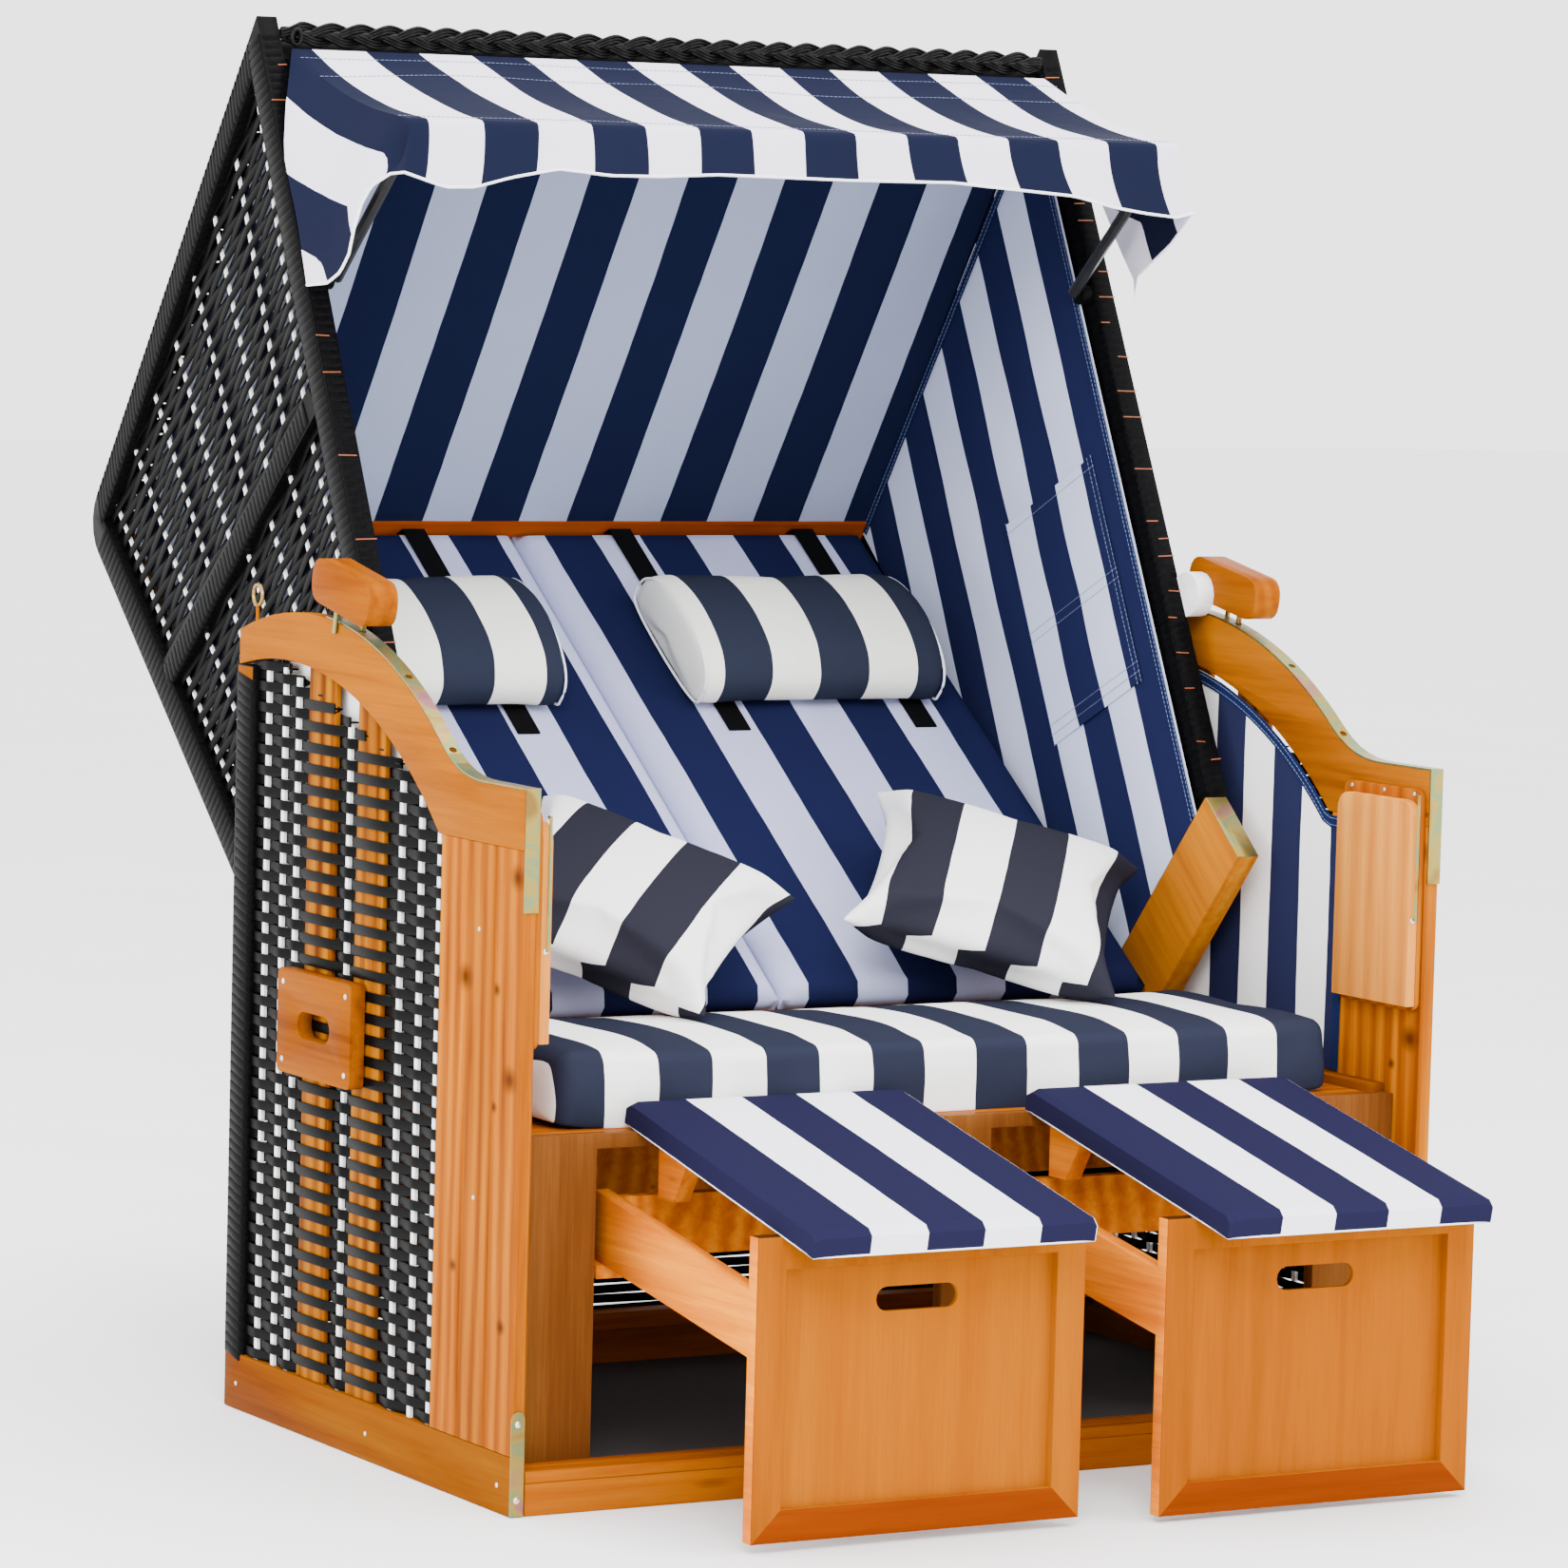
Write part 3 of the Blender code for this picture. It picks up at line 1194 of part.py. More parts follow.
def bail_places():
    """World (y, z) of the bail's pivot and of its cross bar."""
    pivot = Vector(hood_point(BAIL_PIVOT_P, BAIL_PIVOT_Q))
    rise = math.radians(BAIL_RISE_DEG)
    return pivot, pivot + Vector((-math.cos(rise), math.sin(rise))) * BAIL_LENGTH


def build_canopy():
    """The awning cloth from the top bar over the bail, with its valance and side flaps."""
    canopy = Piece("awning_canopy", "striped_fabric", "hood")
    _, bar = bail_places()
    reach = BAIL_RADIUS + GAP
    top = Vector((CANOPY_TOP_Y, CANOPY_TOP_Z))
    over = Vector((bar.x, bar.y + reach))
    front = bar.x - reach
    steps = 6
    under = []
    for i in range(steps + 1):
        share = i / steps
        sag = CANOPY_SAG * math.sin(math.pi * share)
        place = top.lerp(over, share)
        under.append((place.x, place.y - sag))
    under.append((front, bar.y + reach))
    under.append((front, bar.y - VALANCE_DROP))
    over_side = [(y, z + CANOPY_THICKNESS) for y, z in under[:-2]]
    over_side.append((front - CANOPY_THICKNESS, bar.y + reach + CANOPY_THICKNESS))
    over_side.append((front - CANOPY_THICKNESS, bar.y - VALANCE_DROP))
    canopy.plate([over_side + under[::-1]], -CANOPY_HALF_WIDTH, CANOPY_HALF_WIDTH)

    foot_z = bar.y - FLAP_DROP
    edge = [hood_point(p, front_line(p) + FLAP_SETBACK) for p in (BAIL_PIVOT_P, HOOD_TOP_P)]
    lower, upper = Vector(edge[0]), Vector(edge[1])
    slope = (upper.x - lower.x) / (upper.y - lower.y)
    foot_y = lower.x + (foot_z - lower.y) * slope
    head_y = lower.x + (bar.y + reach - lower.y) * slope
    flap = [(front, bar.y + reach), (front, bar.y - VALANCE_DROP), (foot_y - VALANCE_DROP, foot_z),
            (foot_y, foot_z), (head_y, bar.y + reach)]
    canopy.also()
    for side in SIDES:
        canopy.plate([flap], *span(side, CANOPY_HALF_WIDTH - CANOPY_THICKNESS, CANOPY_HALF_WIDTH))
    canopy.finish_object()


def build_bail():
    """The awning's bent bar, on its two pivots."""
    bail = Piece("awning_bail", "black_steel", "awning_bail")
    pivot, bar = bail_places()
    along = (bar - pivot).normalized() * BAIL_CORNER
    half = BAIL_HALF_WIDTH
    turn = bar - along
    route = [(-half, *pivot), (-half, *turn)]
    for i in range(1, 5):
        angle = math.pi / 2 * i / 5
        place = bar - along * (1 - math.sin(angle))
        route.append((-half + BAIL_CORNER * (1 - math.cos(angle)), *place))
    route.append((-half + BAIL_CORNER, *bar))
    route += [(-x, y, z) for x, y, z in route[::-1]]
    bail.wire(route, BAIL_RADIUS)
    bail.finish_object()


def build_handle(side):
    """Wooden grip over an arm, with the latch pin and the guide pin."""
    body = "handle_" + side
    handle = Piece(body, "plywood", body)
    turn = math.radians(HANDLE_ANGLE_DEG)
    centre_radius = ARM_TOP_RADIUS + HANDLE_CLEARANCE + HANDLE_HEIGHT / 2
    radial = Vector((-math.sin(turn), math.cos(turn)))
    tangent = Vector((-math.cos(turn), -math.sin(turn)))
    pivot = Vector((PIVOT_Y, PIVOT_Z))
    half_l, half_h = HANDLE_LENGTH / 2, HANDLE_HEIGHT / 2
    block = rounded_rectangle((-half_l, -half_h), (half_l, half_h), HANDLE_CORNER)
    outline = [tuple(pivot + radial * (centre_radius + b) + tangent * a) for a, b in block]
    low, high = span(side, HANDLE_INNER, HANDLE_INNER + HANDLE_THICKNESS)
    handle.plate([outline], low, high)
    handle.also()
    x = SIDES[side] * (SIDE_OUTER - ARM_THICKNESS / 2)
    latch = math.radians(NOTCH_ANGLES_DEG[0])
    pin = Vector((-math.sin(latch), math.cos(latch)))
    block_bottom = (ARM_TOP_RADIUS + HANDLE_CLEARANCE) / math.cos(latch - turn)
    foot = ARM_TOP_RADIUS + NOTCH_STRIP_THICKNESS + GAP + SLIDE_GAP
    start = pivot + pin * foot
    end = pivot + pin * (block_bottom + HANDLE_PIN_RADIUS)
    handle.rod((x, *start), (x, *end), HANDLE_PIN_RADIUS)
    guide_x = SIDES[side] * (SIDE_OUTER + SLIDE_GAP + GUIDE_PIN_RADIUS)
    shift = tangent * -GUIDE_PIN_SHIFT
    start = pivot + radial * (ARM_TOP_RADIUS + HANDLE_CLEARANCE + GUIDE_PIN_RADIUS) + shift
    end = start - radial * GUIDE_PIN_LENGTH
    handle.rod((guide_x, *start), (guide_x, *end), GUIDE_PIN_RADIUS)
    handle.finish_object()


def build_table(side):
    """Side table, the board behind it and the folding stay at its front edge."""
    sign = SIDES[side]
    back_face_x = SIDE_INNER - GAP - BACKBOARD_THICKNESS
    table = Piece("table_" + side, "plywood", "table_" + side)
    low, high = span(side, back_face_x - GAP - TABLE_THICKNESS, back_face_x - GAP)
    near, far = TABLE_FRONT_Y, TABLE_FRONT_Y + TABLE_DEPTH
    top = TABLE_BOTTOM + TABLE_HEIGHT
    outline = [(near, TABLE_BOTTOM), (far, TABLE_BOTTOM)]
    outline += arc((far - TABLE_CORNER, top - TABLE_CORNER), TABLE_CORNER, 0.0, math.pi / 2, 5)
    outline += arc((near + TABLE_CORNER, top - TABLE_CORNER), TABLE_CORNER, math.pi / 2, math.pi, 5)
    table.plate([outline], low, high)
    table.finish_object()

    stay = Piece("table_stay_" + side, "zinc_steel", "table_stay_" + side)
    x = sign * (back_face_x - GAP - TABLE_THICKNESS / 2)
    y = near - STAY_HOOK - STAY_RADIUS
    hook = near - GAP
    foot = STAY_FOOT_Z
    head = STAY_FOOT_Z + STAY_LENGTH
    stay.wire([(x, hook, foot), (x, y, foot), (x, y, head), (x, hook, head)], STAY_RADIUS)
    stay.finish_object()


def build_backboards():
    """Thin boards on the planks, which the side tables fold against."""
    bottom = TABLE_BOTTOM - BACKBOARD_DROP
    for side in SIDES:
        boards = Piece("table_backboard_" + side, "plywood")
        low, high = span(side, SIDE_INNER - GAP - BACKBOARD_THICKNESS, SIDE_INNER - GAP)
        outline = rounded_rectangle(
            (TABLE_FRONT_Y, bottom), (TABLE_FRONT_Y + TABLE_DEPTH + TABLE_FRONT_Y, bottom + BACKBOARD_HEIGHT),
            TABLE_CORNER / 2, 3)
        boards.plate([outline], low, high)
        boards.finish_object()


def footrest_shift(side):
    """World (y, z) shift of a footrest from closed to where it is pulled out."""
    out = FOOTREST_OUT_LEFT if side == "left" else FOOTREST_OUT_RIGHT
    return Vector((-out, -out * math.tan(SLOPE)))


def build_footrest(side):
    """Pull-out footrest: framed front panel, two side rails and a cross board."""
    body = "footrest_" + side
    shift = footrest_shift(side)
    y, rise = shift.x + SEAT_FRAME_FRONT_Y, shift.y
    bottom, top = FOOTREST_CLOSED_BOTTOM + rise, FOOTREST_CLOSED_TOP + rise
    box = Piece("footrest_box_" + side, "plywood", body)
    low, high = span(side, FOOTREST_INNER, FOOTREST_OUTER)
    back = y + FOOTREST_PANEL_THICKNESS
    width = FOOTREST_FRAME_WIDTH
    outer = [(low, bottom), (high, bottom), (high, top), (low, top)]
    inner = [(low + width, bottom + width), (high - width, bottom + width),
             (high - width, top - width), (low + width, top - width)]
    box.plate([outer, inner], y, back, FRONT_LAY)
    centre = (low + high) / 2
    slot_z = top - FOOTREST_SLOT_DROP
    half_l, half_h = FOOTREST_SLOT_LENGTH / 2, FOOTREST_SLOT_HEIGHT / 2
    slot = rounded_rectangle((centre - half_l, slot_z - half_h), (centre + half_l, slot_z + half_h),
                             half_h - GAP)
    inset = width - JOIN
    field = [(low + inset, bottom + inset), (high - inset, bottom + inset),
             (high - inset, top - inset), (low + inset, top - inset)]
    box.also()
    box.plate([field, slot], back - FOOTREST_INSET_THICKNESS, back, FRONT_LAY)

    near = back - JOIN
    box.also()
    rail_top = top - FOOTREST_RAIL_DROP
    slope = math.tan(SLOPE)
    run = FOOTREST_RAIL_LENGTH
    outline = [(near, rail_top - FOOTREST_RAIL_HEIGHT),
               (near + run, rail_top - FOOTREST_RAIL_HEIGHT + run * slope),
               (near + run, rail_top + run * slope), (near, rail_top - FOOTREST_TAPER)]
    thickness = FOOTREST_RAIL_THICKNESS
    box.plate([outline], low, low + thickness)
    box.plate([outline], high - thickness, high)
    cross_back = near + run
    cross_y = cross_back - thickness
    cross_bottom = rail_top - FOOTREST_RAIL_HEIGHT + run * slope
    box.also()
    box.block((low + thickness - JOIN, cross_y, cross_bottom + JOIN),
              (high - thickness + JOIN, cross_back - JOIN,
               rail_top + (run - thickness) * slope - FOOTREST_TAPER))
    box.finish_object()


def build_runners():
    """Sloping runners that the footrests slide on, and the bearer that carries them."""
    runners = Piece("footrest_runners", "pine")
    reach = RAIL_INNER - GAP
    far = SEAT_DECK_REAR_Y - BEARER_DEPTH
    runners.block((-reach, far, BEARER_BOTTOM),
                  (reach, SEAT_DECK_REAR_Y, SEAT_DECK_TOP - SEAT_DECK_THICKNESS - GAP))
    runners.also()
    slope = math.tan(SLOPE)
    back = SEAT_FRAME_FRONT_Y + FOOTREST_PANEL_THICKNESS
    base_z = FOOTREST_CLOSED_TOP - FOOTREST_RAIL_DROP - FOOTREST_RAIL_HEIGHT - SLIDE_GAP
    outline = []
    for y, drop in ((SEAT_BACK_Y, GUIDE_THICKNESS), (far + JOIN, GUIDE_THICKNESS), (far + JOIN, 0.0),
                    (SEAT_BACK_Y, 0.0)):
        outline.append((y, base_z + (y - back) * slope - drop))
    half = GUIDE_WIDTH / 2
    rail_half = FOOTREST_RAIL_THICKNESS / 2
    for side in SIDES:
        for middle in (FOOTREST_INNER + rail_half, FOOTREST_OUTER - rail_half):
            centre = SIDES[side] * middle
            runners.plate([outline], centre - half, centre + half)
    runners.finish_object()


def build_pad(side):
    """Loose sloping pad between footrest and seat, with its two wedge legs."""
    body = "footrest_pad_" + side
    pad = Piece(body, "striped_fabric", body)
    moved = footrest_shift(side)
    rear = Vector((SEAT_FRAME_FRONT_Y, SEAT_DECK_TOP + GAP))
    front = Vector((SEAT_FRAME_FRONT_Y, FOOTREST_CLOSED_TOP + GAP)) + moved
    along = (front - rear).normalized()
    down = Vector((-along.y, along.x))
    fall = along.y / along.x
    top_rise = PAD_THICKNESS / down.y

    def underside(y):
        return rear.y + (y - rear.x) * fall

    rear_y = PAD_REAR_Y + moved.x - footrest_shift("left").x
    corner = Vector((rear_y, underside(rear_y) - top_rise))
    outline = [
        tuple(corner), tuple(corner + along * PAD_LENGTH),
        tuple(corner + along * PAD_LENGTH + down * PAD_THICKNESS),
        tuple(corner + down * PAD_THICKNESS),
    ]
    low, high = span(side, PAD_HALF_GAP, PAD_HALF_GAP + PAD_WIDTH)
    pad.plate([outline], low, high)

    near = PAD_LEG_Y - PAD_LEG_DEPTH / 2
    far = near + PAD_LEG_DEPTH
    foot = underside(far) - PAD_LEG_HEIGHT
    wedge = [(near, underside(near) + JOIN), (far, underside(far) + JOIN), (far, foot)]
    wedge.append(((near + far) / 2, foot))
    pad.also()
    for x in (low + PAD_LEG_INSET, high - PAD_LEG_INSET):
        pad.plate([wedge], x - PAD_LEG_WIDTH / 2, x + PAD_LEG_WIDTH / 2)
    pad.finish_object()


def pillow_centre(side):
    """Centre of a throw pillow, whose lowest part rests on the seat cushion."""
    x, size, spin = PILLOWS[side]
    turn = math.radians(abs(spin))
    reach = size / 2 * (math.cos(turn) + math.sin(turn))
    slope = math.radians(PILLOW_LEAN_DEG)
    up = Vector((math.cos(slope), math.sin(slope)))
    flange_drop = reach * math.sin(slope)
    core_drop = flange_drop * PILLOW_CORE_SHARE + PILLOW_THICKNESS / 2 * math.cos(slope)
    low = Vector(PILLOW_HINGE) + Vector((0.0, max(0.0, core_drop - flange_drop)))
    return x, low + up * reach, slope, size, math.radians(spin)


SEAT_TOP = SEAT_DECK_TOP + GAP + SEAT_CUSHION_THICKNESS
PILLOW_HINGE = (PILLOW_LOW_Y, SEAT_TOP + GAP)


def build_pillow(side):
    """Square throw pillow that leans on the back cushions, thinner at its edge."""
    body = "throw_pillow_" + side
    pillow = Piece(body, "striped_fabric", body)
    x, centre, slope, size, spin = pillow_centre(side)
    half = size / 2
    core = half * PILLOW_CORE_SHARE
    points = []
    for reach, height in ((half, 0.0), (core, PILLOW_THICKNESS / 2), (core, -PILLOW_THICKNESS / 2)):
        for a, b in ((-1, -1), (1, -1), (1, 1), (-1, 1)):
            across = reach * (a * math.cos(spin) - b * math.sin(spin))
            along = reach * (a * math.sin(spin) + b * math.cos(spin))
            points.append((
                x + across,
                centre.x + along * math.cos(slope) - height * math.sin(slope),
                centre.y + along * math.sin(slope) + height * math.cos(slope)))
    pillow.hull(points)
    pillow.finish_object()


BODIES = {}
TABLE_HINGE_X = SIDE_INNER - 2 * GAP - BACKBOARD_THICKNESS

make_body("base", (0.0, 0.0, 0.0))
make_body("hood", PIVOT)
make_body("awning_bail", (0.0, *bail_places()[0]), "hood")
for name, sign in SIDES.items():
    make_body("handle_" + name, (sign * SIDE_OUTER, PIVOT_Y, PIVOT_Z + ARM_TOP_RADIUS), "hood")
    make_body("table_" + name, (sign * TABLE_HINGE_X, TABLE_FRONT_Y, TABLE_BOTTOM), "base")
    make_body("table_stay_" + name, (sign * TABLE_HINGE_X, TABLE_FRONT_Y, STAY_FOOT_Z), "table_" + name)
    make_body("footrest_" + name, (0.0, 0.0, 0.0), "base")
    make_body("footrest_pad_" + name, (0.0, 0.0, 0.0), "base")
    make_body("throw_pillow_" + name, (0.0, *PILLOW_HINGE), "base")

build_base()
build_seat()
build_backboards()
build_runners()
build_hood()
build_bail()
for name in SIDES:
    build_handle(name)
    build_table(name)
    build_footrest(name)
    build_pad(name)
    build_pillow(name)
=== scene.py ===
"""Dressed scene of a hooded beach chair for two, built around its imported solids.

Every length is in metres in the frame of the solids: +X to the viewer's right, -Y out of the
front, +Z up, with the floor at zero. The hood has places of its own, (p, q): p runs up its rear
bar from the pivot, and q stands square to that.
"""

import logging
import math
import random
from dataclasses import dataclass, field
from enum import Enum
from typing import Any, Callable, Iterable, Optional, Sequence

import bmesh
import bpy
import numpy as np
from mathutils import Matrix, Vector


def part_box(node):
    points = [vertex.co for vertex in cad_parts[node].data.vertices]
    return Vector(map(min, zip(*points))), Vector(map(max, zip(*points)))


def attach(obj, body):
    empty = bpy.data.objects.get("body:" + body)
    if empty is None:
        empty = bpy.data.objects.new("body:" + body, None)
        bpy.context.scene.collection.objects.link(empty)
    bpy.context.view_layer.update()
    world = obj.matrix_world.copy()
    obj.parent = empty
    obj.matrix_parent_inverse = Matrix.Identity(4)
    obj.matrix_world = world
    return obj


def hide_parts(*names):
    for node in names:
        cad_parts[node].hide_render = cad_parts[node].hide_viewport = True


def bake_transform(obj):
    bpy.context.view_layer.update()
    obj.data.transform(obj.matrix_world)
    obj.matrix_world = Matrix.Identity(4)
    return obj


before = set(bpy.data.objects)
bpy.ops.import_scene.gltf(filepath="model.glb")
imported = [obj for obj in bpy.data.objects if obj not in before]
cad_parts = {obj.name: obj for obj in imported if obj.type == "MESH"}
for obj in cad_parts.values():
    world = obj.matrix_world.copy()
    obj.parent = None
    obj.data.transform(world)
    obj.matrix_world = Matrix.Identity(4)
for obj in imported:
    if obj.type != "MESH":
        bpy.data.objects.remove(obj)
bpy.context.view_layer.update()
LOG = logging.getLogger("beach_chair")

PIVOT_Y = 0.541
PIVOT_Z = 0.388
LEAN = math.radians(41.0)
STRIPE = 0.0675
SEED = 7
X_AXIS = Vector((1.0, 0.0, 0.0))
Y_AXIS = Vector((0.0, 1.0, 0.0))
Z_AXIS = Vector((0.0, 0.0, 1.0))


class Side(Enum):
    """The two sides of the chair, as a viewer in front of it names them."""

    LEFT = -1
    RIGHT = 1

    @property
    def word(self) -> str:
        """The side's name as the solids use it."""
        return self.name.lower()

    @property
    def out(self) -> Vector:
        """Direction that points out of the chair on this side."""
        return X_AXIS * self.value


def hood_place(x: float, p: float, q: float) -> Vector:
    """World place of a point of the hood.

    Args:
        x: Distance from the chair's middle plane.
        p: Distance up the rear bar from the pivot.
        q: Distance square to the rear bar, towards the front bar.

    Returns:
        The place in the world, with the hood at rest.
    """
    return Vector((x, PIVOT_Y + p * math.cos(LEAN) - q * math.sin(LEAN),
                   PIVOT_Z + p * math.sin(LEAN) + q * math.cos(LEAN)))


def hood_direction(p: float, q: float) -> Vector:
    """Unit direction in the world of a step (p, q) on the hood."""
    return (hood_place(0.0, p, q) - hood_place(0.0, 0.0, 0.0)).normalized()


def axes_at(first: Vector, second: Vector, third: Vector, origin: Vector) -> Matrix:
    """Matrix that takes X, Y and Z to three directions, from an origin."""
    return Matrix([(first[i], second[i], third[i], origin[i]) for i in range(3)] + [(0, 0, 0, 1)])


def linear(code: str) -> tuple[float, float, float, float]:
    """Linear colour, with alpha, of an sRGB hex code."""
    parts = [int(code[i:i + 2], 16) / 255 for i in (0, 2, 4)]
    return tuple(c / 12.92 if c <= 0.04045 else ((c + 0.055) / 1.055) ** 2.4 for c in parts) + (1.0,)


def add_node(tree: bpy.types.NodeTree, kind: str, settings: Optional[dict[Any, Any]] = None,
             links: Optional[dict[Any, Any]] = None) -> bpy.types.Node:
    """Add a node with its settings and its incoming links.

    Args:
        tree: The tree that gets the node.
        kind: Blender's type name of the node.
        settings: Values by property name, or else by input name or number.
        links: Output sockets by input name or number.

    Returns:
        The new node.
    """
    node = tree.nodes.new(kind)
    for key, value in (settings or {}).items():
        if isinstance(key, str) and hasattr(node, key):
            setattr(node, key, value)
        else:
            node.inputs[key].default_value = value
    for key, socket in (links or {}).items():
        tree.links.new(socket, node.inputs[key])
    return node


def calc(tree: bpy.types.NodeTree, operation: str, *terms: Any, vector: bool = False) -> Any:
    """Add a sum on sockets and fixed values.

    Args:
        tree: The tree that gets it.
        operation: Blender's name of the sum.
        terms: Sockets or values, input by input.
        vector: Whether it works on vectors.

    Returns:
        The socket of the result.
    """
    node = add_node(tree, "ShaderNodeVectorMath" if vector else "ShaderNodeMath", {"operation": operation})
    for i, term in enumerate(terms):
        if isinstance(term, bpy.types.NodeSocket):
            tree.links.new(term, node.inputs[i])
        else:
            node.inputs[i].default_value = term
    single = operation in ("DOT_PRODUCT", "LENGTH")
    return node.outputs["Value" if single or not vector else "Vector"]


def remap(tree: bpy.types.NodeTree, value: Any, spread: tuple[float, float],
          result: tuple[float, float]) -> Any:
    """Socket of a value that is moved from one range to another and held inside it."""
    return add_node(tree, "ShaderNodeMapRange",
                    {"From Min": spread[0], "From Max": spread[1], "To Min": result[0],
                     "To Max": result[1]}, {"Value": value}).outputs[0]


def noise(tree: bpy.types.NodeTree, place: Any, scale: float, detail: float, **more: float) -> Any:
    """Socket of a cloudy value from 0 to 1, from its cycles per metre and its steps of detail."""
    return add_node(tree, "ShaderNodeTexNoise", {"Scale": scale, "Detail": detail, **more},
                    {"Vector": place}).outputs[0]


def shaded(tree: bpy.types.NodeTree, colour: Any, factor: Any) -> Any:
    """Socket of a colour that is darkened or lightened by a factor."""
    return add_node(tree, "ShaderNodeVectorMath", {"operation": "SCALE"},
                    {0: colour, "Scale": factor}).outputs[0]


def tinted(tree: bpy.types.NodeTree, factor: Any, colour: Any, second: str) -> Any:
    """Socket of a colour that turns to a second one, a hex code, as the factor rises."""
    return add_node(tree, "ShaderNodeMix", {"data_type": "RGBA", 7: linear(second)},
                    {0: factor, 6: colour}).outputs[2]


def ramp(tree: bpy.types.NodeTree, factor: Any, stops: Sequence[tuple[float, str]]) -> Any:
    """Add a colour ramp.

    Args:
        tree: The tree that gets it.
        factor: Socket that drives it.
        stops: Positions with hex codes, from low to high.

    Returns:
        The ramp's colour socket.
    """
    node = add_node(tree, "ShaderNodeValToRGB", None, {0: factor})
    elements = node.color_ramp.elements
    while len(elements) < len(stops):
        elements.new(0.5)
    for element, (position, code) in zip(elements, stops):
        element.position = position
        element.color = linear(code)
    return node.outputs["Color"]


def start_material(name: str) -> tuple[bpy.types.Material, bpy.types.NodeTree, Any]:
    """Begin a node material.

    Args:
        name: The material's name.

    Returns:
        The material, its tree and the Object coordinate socket.
    """
    material = bpy.data.materials.new(name)
    material.use_nodes = True
    return material, material.node_tree, material.node_tree.nodes.new("ShaderNodeTexCoord").outputs["Object"]


def close_material(tree: bpy.types.NodeTree, colour: Any, roughness: Any, height: Any, depth: float,
                   strength: float = 1.0, **values: float) -> None:
    """Link a colour, a roughness and a bump of a real depth to the material's shader.

    Args:
        tree: The material's tree.
        colour: Socket of the colour.
        roughness: Socket or value of the roughness.
        height: Socket of the height, from 0 to 1.
        depth: Depth in metres of a full step.
        strength: Share of the bump that shows.
        values: The shader's other inputs, with underscores for spaces.
    """
    shader = tree.nodes["Principled BSDF"]
    tree.links.new(colour, shader.inputs["Base Color"])
    if isinstance(roughness, bpy.types.NodeSocket):
        tree.links.new(roughness, shader.inputs["Roughness"])
    else:
        shader.inputs["Roughness"].default_value = roughness
    for key, value in values.items():
        shader.inputs[key.replace("_", " ")].default_value = value
    bump = add_node(tree, "ShaderNodeBump", {"Distance": depth, "Strength": strength}, {"Height": height})
    tree.links.new(bump.outputs["Normal"], shader.inputs["Normal"])


